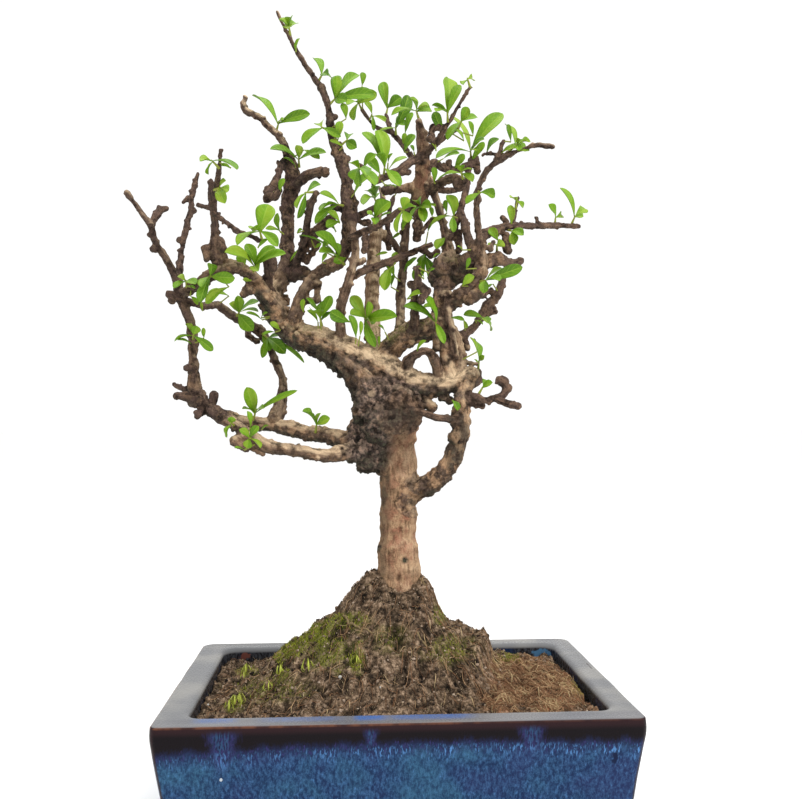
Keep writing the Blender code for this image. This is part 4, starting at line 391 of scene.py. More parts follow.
PALE_ROUTES = {
    "main_left_limb": 1.0, "low_left_upper": 0.75, "low_left_lower": 0.7, "low_left_twig": 0.5,
    "left_arm": 0.5, "right_limb": 0.3, "centre_back_a": 0.9, "centre_back_b": 0.7, "pink_branch": 0.9,
    "crown_column": 0.45, "right_leader": 0.7, "leader_foot": 0.6, "trunk": 0.35, "right_root": 0.5,
    "right_light": 0.9, "right_arm": 0.4, "mossy_rise": 0.7, "under_limb": 0.3,
}
PLAIN_ROUTES = {"trunk": 0.8, "centre_back_a": 0.6, "crown_column": 0.5, "pink_branch": 0.5}

# Growth on the soil on the same grid: centre column and row, half width, half height, strength
MOSS_PATCHES = (
    (312, 634, 26, 16, 1), (288, 647, 22, 14, 0.9), (348, 622, 22, 10, 0.8), (357, 660, 9, 16, 0.9),
    (247, 672, 12, 6, 0.6), (281, 674, 10, 6, 0.7), (330, 652, 26, 18, 0.6), (235, 705, 12, 8, 0.6),
    (440, 612, 8, 14, 0.5), (450, 650, 26, 16, 0.45), (270, 690, 40, 14, 0.35), (388, 640, 20, 16, 0.35),
    (508, 659, 14, 6, 0.8), (580, 680, 11, 13, 0.75),
)
FIBRE_PATCHES = (
    (545, 692, 50, 24, 1), (520, 668, 30, 12, 0.9), (505, 700, 26, 14, 0.9), (572, 686, 24, 18, 0.9),
)
GRANULES = ((340, 678, 0.9), (380, 688, 0.6), (208, 706, 0.8), (331, 700, 0.5))
ROOTS = (
    ((343, 615, 0.5), (350, 624, 0.6), (362, 630, 0.5), (378, 633, 0.4), (392, 637, 0.3)),
    ((418, 634, 0.45), (430, 648, 0.45), (441, 660, 0.4), (452, 672, 0.3)),
    ((402, 590, 0.5), (408, 580, 0.6), (416, 578, 0.5), (424, 586, 0.4)),
)
SEEDLINGS = (
    (234, 707, 7, 6.4), (229, 712, 4, 5.4), (240, 704, 5, 5), (247, 674, 7, 5), (281, 675, 8, 5.2),
    (308, 672, 7, 5.8), (243, 680, 5, 4.2), (268, 691, 5, 4.4), (357, 664, 6, 4.2),
)

# Glaze: drips down the front wall (column px, half width in mm, length in mm), blue glaze washes with painted
# sheen on the rim's top (column px, half width in mm, strength), and the pixel row of the rim's front
DRIPS = ((222, 8.8, 21.0), (371, 5.0, 10.0), (532, 8.0, 14.5))
SHEEN_WASHES = ((370, 9.0, 0.95), (432, 24.0, 0.75), (300, 22.0, 0.45), (212, 12.0, 0.55))
RIM_ROW = 745.0

# Bunches of leaves: the pixel column that each ends at, its name, and the row that parts high from low
BUNCHES = ((262, "left", 260), (372, "leader", 190), (440, "centre", 190), (math.inf, "right", 190))

# Short knobby spurs on the same grid: from column and row, to column and row, radius in mm
SPURS = (
    (411, 188, 386, 190, 2.5), (418, 213, 417, 238, 2.3), (431, 219, 423, 232, 1.2),
    (366, 239, 365, 250, 1.6), (362, 222, 368, 222, 1.7), (384, 232, 389, 248, 1.4),
    (359, 263, 364, 260, 1.3), (431, 256, 437, 252, 1.8), (458, 234, 459, 250, 2.1),
    (475, 158, 477, 172, 1.8), (440, 191, 456, 190, 1.4), (433, 127, 431, 138, 1.7),
    (480, 291, 468, 300, 2.8), (491, 289, 484, 296, 1.3), (488, 314, 495, 311, 1.4),
    (506, 236, 507, 249, 2.1), (490, 248, 494, 242, 1.3), (507, 222, 503, 218, 1.5), (427, 291, 421, 300, 2),
    (401, 173, 409, 172, 1.3), (398, 354, 410, 343, 1.6), (411, 343, 436, 337, 1.7),
    (436, 337, 437, 348, 1.7), (418, 399, 432, 407, 2.5), (444, 397, 449, 400, 2), (470, 404, 482, 406, 1.6),
    (465, 338, 467, 348, 1.4), (467, 362, 476, 364, 0.9), (317, 300, 317, 285, 1.9),
    (306, 261, 317, 245, 1.9), (205, 249, 207, 259, 1.6), (221, 242, 224, 249, 1.4), (272, 259, 273, 267, 2),
    (286, 295, 288, 304, 1.2), (243, 295, 250, 291, 2.1), (275, 197, 279, 190, 1.6),
    (248, 336, 257, 341, 1.7), (235, 442, 245, 446, 2.4), (246, 447, 262, 453, 1.5), (188, 199, 183, 202, 1),
    (496, 384, 498, 378, 0.9),
)

# Single leaves on the same grid: base column and row, tip column and row, width in mm
SINGLE_LEAVES = (
    (296, 52, 299, 38, 3.5), (338, 140, 340, 121, 4.4), (404, 152, 414, 134, 5), (304, 150, 319, 158, 4),
    (456, 168, 464, 154, 4), (500, 156, 520, 146, 5), (484, 152, 498, 138, 5.5), (354, 194, 372, 172, 6.5),
    (340, 222, 326, 226, 5), (388, 170, 406, 156, 5.5), (366, 168, 375, 154, 5), (402, 230, 410, 213, 4.5),
    (428, 232, 435, 219, 4), (246, 270, 240, 254, 5), (288, 262, 304, 250, 5), (322, 250, 331, 240, 4.4),
    (346, 258, 334, 262, 4), (394, 276, 386, 262, 4.6), (404, 262, 392, 256, 4.6), (440, 308, 424, 306, 5),
    (350, 322, 330, 312, 6), (262, 334, 270, 350, 5), (250, 438, 258, 426, 4), (498, 240, 490, 228, 4.6),
    (452, 400, 458, 410, 4), (462, 286, 474, 276, 5), (444, 236, 436, 248, 5), (362, 86, 363, 72, 3.6),
    (346, 119, 343, 103, 3.8), (372, 114, 365, 102, 4.2), (372, 114, 374, 130, 2.4),
    (373, 116, 387, 121, 3.2), (380, 174, 368, 158, 5), (405, 134, 412, 112, 3.6), (402, 143, 405, 133, 2.8),
    (441, 135, 434, 112, 5), (464, 141, 456, 129, 4.2), (473, 136, 469, 121, 2.8), (469, 159, 484, 142, 4),
    (511, 142, 508, 124, 2.4), (517, 152, 529, 150, 3), (443, 159, 459, 152, 3), (414, 152, 411, 145, 2),
    (436, 151, 432, 143, 2), (388, 163, 392, 153, 1.8), (434, 183, 434, 167, 3.2), (380, 196, 386, 184, 2.4),
    (386, 186, 396, 186, 2), (400, 188, 410, 185, 2), (447, 213, 445, 200, 2.6), (432, 217, 431, 207, 2.4),
    (418, 223, 414, 214, 1.8), (380, 218, 391, 212, 2.2), (340, 223, 328, 211, 4), (336, 232, 330, 226, 2),
    (512, 227, 511, 205, 4.2), (392, 236, 400, 233, 1.8), (378, 254, 387, 252, 1.8), (441, 254, 433, 257, 2),
    (343, 147, 330, 140, 2.4), (231, 168, 221, 165, 2.6), (296, 167, 284, 157, 3), (280, 194, 283, 178, 3.2),
    (280, 232, 277, 213, 3.6), (280, 231, 266, 228, 3), (258, 248, 267, 239, 2.2), (229, 287, 205, 302, 4.6),
    (229, 296, 208, 292, 4.4), (190, 296, 198, 304, 2.4), (203, 311, 201, 302, 1.6),
    (187, 286, 195, 288, 1.6), (204, 338, 203, 328, 2.2), (190, 341, 178, 339, 2.2), (251, 281, 243, 279, 2),
    (262, 320, 247, 312, 2.6), (261, 318, 267, 312, 2), (280, 330, 271, 322, 3), (275, 332, 263, 334, 2.2),
    (297, 233, 302, 229, 2), (322, 262, 326, 253, 2.2), (315, 248, 321, 243, 1.8), (304, 312, 303, 299, 2.6),
    (318, 322, 308, 310, 3.4), (320, 322, 331, 312, 3.2), (356, 338, 350, 315, 4.4),
    (360, 336, 361, 321, 2.6), (250, 428, 248, 411, 3.2), (261, 430, 268, 425, 2), (244, 450, 235, 447, 1.8),
    (379, 346, 379, 336, 1.6), (385, 332, 379, 325, 2.4), (401, 271, 416, 257, 3), (391, 287, 394, 274, 2),
    (407, 299, 424, 291, 3.6), (424, 279, 421, 272, 1.6), (429, 273, 434, 268, 1.6),
    (466, 269, 470, 258, 2.4), (413, 352, 425, 340, 3), (452, 315, 464, 319, 2.4), (464, 320, 467, 328, 2),
    (475, 320, 483, 324, 1.8), (477, 352, 471, 337, 2.4), (479, 367, 475, 359, 1.6),
    (462, 250, 458, 246, 1.6), (493, 284, 488, 287, 1.6),
)


def unit(vector: np.ndarray) -> np.ndarray:
    """The vector at length one."""
    return vector / max(float(np.linalg.norm(vector)), 1e-12)


def units(vectors: np.ndarray) -> np.ndarray:
    """Each row at length one."""
    return vectors / np.maximum(np.linalg.norm(vectors, axis=1, keepdims=True), 1e-12)


def lattice(cells: np.ndarray, seed: int) -> np.ndarray:
    """A fixed random value for each whole-number cell.

    Args:
        cells: Cell numbers, three to a row.
        seed: Which set of values to draw from.

    Returns:
        One value per row, from -1 to 1.
    """
    parts = cells.astype(np.int64) * np.array((374761393, 668265263, 1440662683))
    mixed = (parts.sum(axis=1) + seed * 1013904223).astype(np.uint64) & np.uint64(0xFFFFFFFF)
    mixed = ((mixed ^ (mixed >> np.uint64(13))) * np.uint64(1274126177)) & np.uint64(0xFFFFFFFF)
    mixed = mixed ^ (mixed >> np.uint64(16))
    return (mixed & np.uint64(0xFFFF)).astype(float) / 32767.5 - 1.0


def noise(points: np.ndarray, seed: int = 0) -> np.ndarray:
    """Smooth noise with one bump per unit of length.

    Args:
        points: Places, three coordinates to a row.
        seed: Which noise field to read.

    Returns:
        One value per row, from about -1 to 1.
    """
    base = np.floor(points)
    part = points - base
    part = part * part * (3.0 - 2.0 * part)
    total = np.zeros(len(points))
    for corner in range(8):
        step = np.array((corner & 1, corner >> 1 & 1, corner >> 2 & 1))
        weight = np.prod(np.where(step, part, 1.0 - part), axis=1)
        total += weight * lattice(base + step, seed)
    return total


def layered(points: np.ndarray, seed: int, layers: int) -> np.ndarray:
    """Noise with finer, fainter layers added.

    Args:
        points: Places, three coordinates to a row.
        seed: Which noise field to read.
        layers: How many layers there are.

    Returns:
        One value per row.
    """
    total = np.zeros(len(points))
    for k in range(layers):
        total += noise(points * 2.03 ** k, seed + k) * 0.5 ** k
    return total


@dataclass(frozen=True)
class PhotoView:
    """The camera that the pot's rim corners give."""

    focal_px: float = 950.0
    centre_px: tuple[float, float] = (401.0, 399.5)
    width_px: float = 802.0
    sensor_mm: float = 36.0
    yaw: float = math.radians(3.10)
    pitch: float = math.radians(1.62)
    roll: float = math.radians(-0.20)
    eye: tuple[float, float, float] = (-0.0215, -0.4781, 0.1864)
    depth_spread: float = 1.3

    def axes(self) -> Frame3:
        """The view's right, upward and forward directions, before its roll."""
        right = np.array((math.cos(self.yaw), -math.sin(self.yaw), 0.0))
        level = np.array((math.sin(self.yaw), math.cos(self.yaw), 0.0))
        forward = level * math.cos(self.pitch) + UP * math.sin(self.pitch)
        above = UP * math.cos(self.pitch) - level * math.sin(self.pitch)
        return right, above, forward

    def ray(self, column: float, row: float) -> np.ndarray:
        """The direction in which this pixel looks.

        Args:
            column: Pixel column.
            row: Pixel row.

        Returns:
            A direction, not of length one.
        """
        right, above, forward = self.axes()
        across = column - self.centre_px[0]
        down = row - self.centre_px[1]
        turned_across = math.cos(self.roll) * across + math.sin(self.roll) * down
        turned_down = -math.sin(self.roll) * across + math.cos(self.roll) * down
        return right * turned_across - above * turned_down + forward * self.focal_px

    def point(self, column: float, row: float, depth: float) -> np.ndarray:
        """The place that shows at this pixel, this many millimetres behind the trunk before the spread."""
        return self.meet(column, row, 1, depth * MM * self.depth_spread)

    def meet(self, column: float, row: float, axis: int, value: float) -> np.ndarray:
        """The place that shows at this pixel on a plane.

        Args:
            column: Pixel column.
            row: Pixel row.
            axis: The coordinate that is the same all over the plane.
            value: That coordinate in metres.

        Returns:
            The place.
        """
        ray = self.ray(column, row)
        eye = np.array(self.eye)
        return eye + ray * ((value - eye[axis]) / ray[axis])

    def pixel(self, places: np.ndarray) -> np.ndarray:
        """The pixel column and row of each place.

        Args:
            places: Places, three coordinates to a row.

        Returns:
            Column and row, a pair to a row.
        """
        right, above, forward = self.axes()
        offset = places - np.array(self.eye)
        reach = offset @ forward
        across = offset @ right / reach * self.focal_px
        down = -(offset @ above) / reach * self.focal_px
        turned = math.cos(self.roll) * across - math.sin(self.roll) * down
        lowered = math.sin(self.roll) * across + math.cos(self.roll) * down
        return np.stack((turned + self.centre_px[0], lowered + self.centre_px[1]), axis=1)

    def make_camera(self) -> bpy.types.Object:
        """The scene's camera at the photograph's viewing angle."""
        right, above, forward = self.axes()
        cos = math.cos(self.roll)
        sin = math.sin(self.roll)
        columns = (right * cos + above * sin, above * cos - right * sin, -forward)
        data = bpy.data.cameras.new("view")
        data.sensor_fit = "HORIZONTAL"
        data.sensor_width = self.sensor_mm
        data.lens = self.focal_px / self.width_px * self.sensor_mm
        data.clip_start = 0.01
        camera = bpy.data.objects.new("view", data)
        bpy.context.scene.collection.objects.link(camera)
        for row in range(3):
            for column in range(3):
                camera.matrix_world[row][column] = float(columns[column][row])
            camera.matrix_world[row][3] = self.eye[row]
        bpy.context.scene.camera = camera
        return camera


VIEW = PhotoView()


class MeshParts:
    """Collects many small closed shapes into one mesh."""

    def __init__(self) -> None:
        """Starts with nothing in it."""
        self.points: list[np.ndarray] = []
        self.faces: Faces = []
        self.notes: dict[str, list[np.ndarray]] = {}
        self.count = 0

    def add(self, points: np.ndarray, faces: Faces, **notes: object) -> None:
        """Adds one shape.

        Args:
            points: Its vertices.
            faces: Its faces, counted from its own first vertex.
            notes: A value per vertex, or one for all of them, for each attribute.
        """
        self.faces += [tuple(v + self.count for v in face) for face in faces]
        self.points.append(points)
        for key, value in notes.items():
            held = np.asarray(value, dtype=float)
            if held.ndim == 0:
                held = np.full(len(points), float(held))
            self.notes.setdefault(key, []).append(held)
        self.count += len(points)

    def build(self, name: str, smooth: bool = True) -> bpy.types.Object:
        """The mesh object with every shape in it.

        Args:
            name: The object's name.
            smooth: Whether its faces are shaded smooth.

        Returns:
            The new object, linked to the scene.
        """
        mesh = bpy.data.meshes.new(name)
        mesh.from_pydata(np.concatenate(self.points).tolist(), [], self.faces)
        for polygon in mesh.polygons:
            polygon.use_smooth = smooth
        made = bpy.data.objects.new(name, mesh)
        bpy.context.scene.collection.objects.link(made)
        for key, values in self.notes.items():
            write_note(made, key, np.concatenate(values))
        return made


def write_note(made: bpy.types.Object, key: str, values: np.ndarray) -> None:
    """Stores a number or a vector per vertex, for the materials to read.

    Args:
        made: The mesh object.
        key: The attribute's name.
        values: One number, or three, per vertex.
    """
    kind = "FLOAT" if values.ndim == 1 else "FLOAT_VECTOR"
    held = made.data.attributes.new(key, kind, "POINT")
    held.data.foreach_set("value" if values.ndim == 1 else "vector", values.astype(np.float32).ravel())


def show(piece: bpy.types.Object, material: bpy.types.Material, slot: str, *nodes: str) -> None:
    """Dresses a finished piece, joins it to the body and hides the part's nodes that it replaces.

    Args:
        piece: The finished piece.
        material: Its material.
        slot: Not used.
        nodes: The part's nodes that it replaces.
    """
    piece.data.materials.clear()
    piece.data.materials.append(material)
    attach(piece, BODY)
    if nodes:
        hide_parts(*nodes)
    faces = sum(len(polygon.vertices) - 2 for polygon in piece.data.polygons)
    logging.info("%s: %d triangles", piece.name, faces)


class Shader:
    """A material's node tree, built by short calls."""

    def __init__(self, name: str) -> None:
        """Makes the material and keeps its Principled node as the surface.

        Args:
            name: The material's name.
        """
        self.material = bpy.data.materials.new(name)
        self.material.use_nodes = True
        self.tree = self.material.node_tree
        self.surface = self.tree.nodes["Principled BSDF"]

    def feed(self, socket: bpy.types.NodeSocket, value: object) -> None:
        """Links a value into this socket, or sets it to a plain number or colour.

        Args:
            socket: The socket to fill.
            value: What goes into it.
        """
        if isinstance(value, Value):
            self.tree.links.new(value.socket, socket)
        elif isinstance(value, tuple) and len(value) == 3 and len(socket.default_value) == 4:
            socket.default_value = (*value, 1.0)
        else:
            socket.default_value = value

    def node(self, kind: str, inputs: dict, out: object = 0, **options: object) -> "Value":
        """One node of the tree.

        Args:
            kind: Blender's name of the node.
            inputs: What goes into each of its sockets.
            out: The socket that is read.
            options: Its settings.

        Returns:
            What it gives.
        """
        made = self.tree.nodes.new(kind)
        for name, option in options.items():
            setattr(made, name, option)
        for key, value in inputs.items():
            self.feed(made.inputs[key], value)
        return Value(self, made.outputs[out])

    def place(self) -> "Value":
        """The point being shaded, in the object's own metres."""
        return self.node("ShaderNodeTexCoord", {}, "Object")

    def note(self, key: str, out: str = "Fac") -> "Value":
        """A number, or with "Vector" a vector, that the mesh stores per vertex."""
        return self.node("ShaderNodeAttribute", {}, out, attribute_name=key)

    def math(self, operation: str, first: object, second: object = 0.0) -> "Value":
        """One arithmetic step, by Blender's name for it."""
        return self.node("ShaderNodeMath", {0: first, 1: second}, operation=operation)

    def mix(self, share: object, first: object, second: object, blend: str = "MIX") -> "Value":
        """The first colour with this share of the second one over it."""
        inputs = {0: share, 6: first, 7: second}
        return self.node("ShaderNodeMix", inputs, 2, data_type="RGBA", blend_type=blend)

    def dimmed(self, colour: object, shade: "Value") -> "Value":
        """The colour darkened where the shade is below one."""
        return self.mix(1.0, colour, shade.ramp(((0.0, (0, 0, 0)), (1.0, (1, 1, 1)))), "MULTIPLY")

    def finish(self, colour: object, roughness: object, height: object = None, lift: float = 0.0,
               gloss: float = 0.1) -> bpy.types.Material:
        """Joins colour, roughness and relief to the surface.

        Args:
            colour: The base colour.
            roughness: The roughness.
            height: The relief's height from 0 to 1, if it has one.
            lift: How far a height of 1 stands out, in metres.
            gloss: The surface's specular level.

        Returns:
            The finished material.
        """
        self.feed(self.surface.inputs["Base Color"], colour)
        self.feed(self.surface.inputs["Roughness"], roughness)
        self.surface.inputs["Specular IOR Level"].default_value = gloss
        if height is not None:
            inputs = {"Strength": 1.0, "Distance": lift, "Height": height}
            self.feed(self.surface.inputs["Normal"], self.node("ShaderNodeBump", inputs, "Normal"))
        return self.material


class Value:
    """A number, vector or colour in a material, reckoned with as in a formula."""

    def __init__(self, shader: Shader, socket: bpy.types.NodeSocket) -> None:
        """Keeps the socket that gives the value."""
        self.shader = shader
        self.socket = socket

    def __add__(self, other: object) -> "Value":
        """The sum."""
        return self.shader.math("ADD", self, other)

    def __radd__(self, other: object) -> "Value":
        """The sum with a plain number before it."""
        return self.shader.math("ADD", other, self)

    def __sub__(self, other: object) -> "Value":
        """The difference."""
        return self.shader.math("SUBTRACT", self, other)

    def __rsub__(self, other: object) -> "Value":
        """What is left of a plain number."""
        return self.shader.math("SUBTRACT", other, self)

    def __mul__(self, other: object) -> "Value":
        """The product."""
        return self.shader.math("MULTIPLY", self, other)

    def __truediv__(self, other: object) -> "Value":
        """The quotient."""
        return self.shader.math("DIVIDE", self, other)

    def __abs__(self) -> "Value":
        """The value without its sign."""
        return self.shader.math("ABSOLUTE", self)

    def split(self) -> tuple["Value", ...]:
        """The vector's three numbers."""
        node = self.shader.node("ShaderNodeSeparateXYZ", {0: self}).socket.node
        return tuple(Value(self.shader, socket) for socket in node.outputs)

    def scaled(self, scale: Colour) -> "Value":
        """The vector with each of its numbers multiplied."""
        return self.shader.node("ShaderNodeVectorMath", {0: self, 1: scale}, operation="MULTIPLY")

    def noise(self, scale: float, detail: float, rough: float) -> "Value":
        """Cloudy noise of about 0 to 1.

        Args:
            scale: Bumps per metre.
            detail: How many finer layers it has.
            rough: How strong the finer layers are.

        Returns:
            The noise read at this place.
        """
        inputs = {"Vector": self, "Scale": scale, "Detail": detail, "Roughness": rough}
        return self.shader.node("ShaderNodeTexNoise", inputs, "Fac")

    def cells(self, scale: float) -> "Value":
        """Distance to the nearest of many scattered points."""
        return self.shader.node("ShaderNodeTexVoronoi", {"Vector": self, "Scale": scale}, "Distance")

    def step(self, low: float, high: float, start: object = 0.0, end: object = 1.0) -> "Value":
        """A smooth rise from start to end as this value goes from low to high."""
        inputs = {"Value": self, "From Min": low, "From Max": high, "To Min": start, "To Max": end}
        return self.shader.node("ShaderNodeMapRange", inputs, "Result", interpolation_type="SMOOTHSTEP")

    def ramp(self, stops: tuple[tuple[float, Colour], ...]) -> "Value":
        """The colour that a row of stops gives at this share.

        Args:
            stops: Each stop's place and colour.

        Returns:
            The colour.
        """
        read = self.shader.node("ShaderNodeValToRGB", {0: self}, "Color")
        elements = read.socket.node.color_ramp.elements
        while len(elements) < len(stops):
            elements.new(0.5)
        for element, (position, colour) in zip(elements, stops):
            element.position = position
            element.color = (*colour, 1.0)
        return read


@dataclass(frozen=True)
class BarkFinish:
    """Fibrous bark: tan on the trunk, pale on rubbed ridges, dark and mottled on the burl, brown on twigs,
    with painted highlights and painted shade.
    """

    tan: Colour = (0.440, 0.278, 0.162)
    tan_dark: Colour = (0.290, 0.170, 0.098)
    pale: Colour = (0.680, 0.510, 0.330)
    black: Colour = (0.026, 0.021, 0.018)
    umber: Colour = (0.096, 0.067, 0.057)
    stone: Colour = (0.160, 0.118, 0.094)
    knob: Colour = (0.330, 0.215, 0.160)
    twig: Colour = (0.250, 0.155, 0.104)
    twig_dark: Colour = (0.062, 0.040, 0.030)
    red: Colour = (0.420, 0.190, 0.112)
    plum: Colour = (0.100, 0.062, 0.052)
    lichen_and_shade: Colour = (0.058, 0.060, 0.038)
    moss: Colour = (0.125, 0.130, 0.034)

    def make(self) -> bpy.types.Material:
        """The material, which reads the bark's stored grain and regions."""
        shader = Shader("bark")
        place = shader.place()
        fibre = shader.note("grain", "Vector").noise(900.0, 4.0, 0.62)
        patch = place.noise(190.0, 4.0, 0.62)
        lump = place.noise(430.0, 2.0, 0.60)
        speck = place.noise(620.0, 4.0, 0.68)
        grit = place.noise(1700.0, 2.0, 0.6)
        ridge = shader.note("ridge")
        trunk = shader.mix(fibre.step(0.34, 0.60), self.tan_dark, self.tan)
        red = shader.note("warm") * patch.step(0.42, 0.62)
        trunk = shader.mix(red, trunk, self.red)
        twig = shader.mix(fibre.step(0.34, 0.66), self.twig_dark, self.twig)
        colour = shader.mix(shader.note("thin"), trunk, twig)
        rough = shader.note("rough") * patch.step(0.42, 0.56)
        colour = shader.mix(rough, colour, shader.mix(speck.step(0.40, 0.60), self.black, self.umber))
        mottle = lump * 0.72 + speck * 0.28
        fleck = mottle.ramp(((0.40, self.black), (0.47, self.umber), (0.54, self.stone), (0.63, self.knob)))
        knotted = shader.note("burl") * patch.step(0.22, 0.46, 0.60, 1.0)
        colour = shader.mix(knotted, colour, fleck)
        # Painted highlight: pale on rubbed limbs, strongest on the sides that face the light
        lightened = shader.note("lightened") * fibre.step(0.30, 0.60, 0.35, 1.0)
        colour = shader.mix(lightened, colour, self.pale)
        # Painted shadow: plum-black over the limbs and regions that lie in shade
        shadowed = shader.note("shadowed") * speck.step(0.62, 0.40, 0.45, 1.0)
        colour = shader.mix(shadowed, colour, shader.mix(patch.step(0.40, 0.62), self.black, self.plum))
        # Partly lichen, partly painted shade: lichen-black on the sides turned from the light and in the dark
        # regions
        under = shader.mix(speck.step(0.42, 0.64), self.black, self.lichen_and_shade)
        colour = shader.mix(shader.note("under"), colour, under)
        green = shader.note("moss") * speck.step(0.44, 0.58)
        colour = shader.mix(green, colour, self.moss)
        shade = ridge.step(0.10, 0.68, 0.24, 1.22)
        shade = shade * grit.step(0.30, 0.62, 0.62, 1.12)
        height = fibre * 0.6 + speck * 0.8
        return shader.finish(shader.dimmed(colour, shade), 0.90, height, 0.0011)


@dataclass(frozen=True)
class LeafFinish:
    """Glossy fresh leaves: lime green, paler when young, with a lighter rib and side veins."""

    young: Colour = (0.235, 0.345, 0.026)
    fresh: Colour = (0.132, 0.272, 0.009)
    old: Colour = (0.056, 0.145, 0.007)
    rib: Colour = (0.250, 0.390, 0.040)
    stalk: Colour = (0.230, 0.260, 0.040)
    roughness: float = 0.42
    veins: float = 7.0

    def make(self) -> bpy.types.Material:
        """The material, which reads how old a leaf is and where on it a point lies."""
        shader = Shader("leaf")
        along, across, _ = shader.note("blade", "Vector").split()
        side = abs(across)
        age = shader.note("age")
        cloud = shader.place().noise(420.0, 3.0, 0.6)
        tone = age + (cloud - 0.5) * 0.60
        # Painted shade: one half of each blade darker and the other lighter, as light falls across its fold
        tone = tone + across.step(-0.10, 0.10, 0.14, -0.08)
        colour = tone.ramp(((0.0, self.young), (0.42, self.fresh), (1.0, self.old)))
        lean = along - side * 0.22
        wave = shader.math("FRACT", lean * self.veins)
        thin = abs(wave - 0.5)
        vein = thin.step(0.36, 0.5)
        rib = side.step(0.10, 0.02)
        lines = shader.math("MAXIMUM", vein * 0.38, rib * 0.75)
        colour = shader.mix(lines, colour, self.rib)
        stem = along.step(0.10, 0.0)
        colour = shader.mix(stem, colour, self.stalk)
        height = cloud * 0.25 - lines * 0.6
        return shader.finish(colour, self.roughness, height, 0.00018, gloss=0.18)


@dataclass(frozen=True)
class GroundFinish:
    """Damp fibrous soil of dark crumbs with brown and tan ones among them, green where moss grows on it."""

    dark: Colour = (0.024, 0.017, 0.012)
    brown: Colour = (0.145, 0.096, 0.060)
    tan: Colour = (0.400, 0.285, 0.195)
    rust: Colour = (0.320, 0.150, 0.075)
    green: Colour = (0.155, 0.180, 0.022)

    def make(self) -> bpy.types.Material:
        """The material, which reads where moss and fibres grow and how deep a hollow is."""
        shader = Shader("ground")
        place = shader.place()
        coarse = place.noise(380.0, 4.0, 0.70)
        fine = place.noise(1300.0, 3.0, 0.65)
        crumb = place.cells(900.0)
        colour = coarse.ramp(((0.38, self.dark), (0.51, self.brown), (0.66, self.tan)))
        rust = shader.note("rust") * fine.step(0.34, 0.56)
        colour = shader.mix(rust, colour, self.rust)
        green = shader.note("moss") * fine.step(0.34, 0.54)
        colour = shader.mix(green, colour, self.green)
        shade = shader.note("ridge").step(0.12, 0.86, 0.17, 1.20)
        height = crumb * 0.6 + fine * 0.8
        return shader.finish(shader.dimmed(colour, shade), 0.95, height, 0.0011)


@dataclass(frozen=True)
class ToneFinish:
    """A natural surface whose tone runs through a row of colours, each grain or fibre with its own."""

    name: str
    stops: tuple[tuple[float, Colour], ...]
    roughness: float = 0.9
    speckle: float = 1200.0
    relief: float = 0.0003

    def make(self) -> bpy.types.Material:
        """The material, which reads each grain's or fibre's tone."""
        shader = Shader(self.name)
        fine = shader.place().noise(self.speckle, 3.0, 0.6)
        spread = (fine - 0.5) * 0.45
        colour = (shader.note("tone") + spread).ramp(self.stops)
        return shader.finish(colour, self.roughness, fine, self.relief)


@dataclass(frozen=True)
class ScreenFinish:
    """Black moulded plastic mesh, with faint wear in lighter patches."""

    black: Colour = (0.018, 0.018, 0.020)
    lightened: Colour = (0.05, 0.05, 0.052)

    def make(self) -> bpy.types.Material:
        """The material."""
        shader = Shader("screen_plastic")
        cloud = shader.place().noise(500.0, 4.0, 0.6)
        colour = shader.mix(cloud.step(0.45, 0.7), self.black, self.lightened)
        return shader.finish(colour, cloud.step(0.3, 0.7, 0.45, 0.65), cloud, 0.0001, gloss=0.5)


class Mark(Enum):
    """What a spot in the glaze is, with its colour."""

    SPECK = (0.42, 0.46, 0.50)
    DIMPLE = (0.006, 0.012, 0.040)
    CHIP = (0.130, 0.045, 0.035)
    PATCH = (0.060, 0.150, 0.270)
    HAIRLINE = (0.050, 0.042, 0.040)


@dataclass(frozen=True)
class Spot:
    """One small spot: what it is, its middle, its half sizes, and whether it lies inside the pot."""

    mark: Mark
    middle: Row
    half: Row
    inside: bool = False


# Marks in the glaze: what, column and row, the wall's or rim's distance, half sizes in mm, inside or not
SPOTS = ((Mark.SPECK, 221, 779, -0.0735, (0.7, 9.0, 0.7), False),
         (Mark.DIMPLE, 614.5, 758.5, -0.0750, (1.6, 9.0, 2.6), False),
         (Mark.CHIP, 244, 657, 0.0610, (3.4, 9.0, 2.2), True),
         (Mark.PATCH, 541, 655, 0.0610, (6.0, 9.0, 3.0), True),
         (Mark.HAIRLINE, 588.5, 665.0, 0.0620, (0.35, 6.0, 2.0), False))


def glaze_spots() -> tuple[Spot, ...]:
    """The few small marks in the glaze, each where its pixel meets the pot."""
    found = []
    for mark, column, row, wall, half, inside in SPOTS:
        at = VIEW.meet(column, row, 2 if mark is Mark.HAIRLINE else 1, wall)
        found.append(Spot(mark, tuple(float(v) for v in at), tuple(v * MM for v in half), inside))
    return tuple(found)


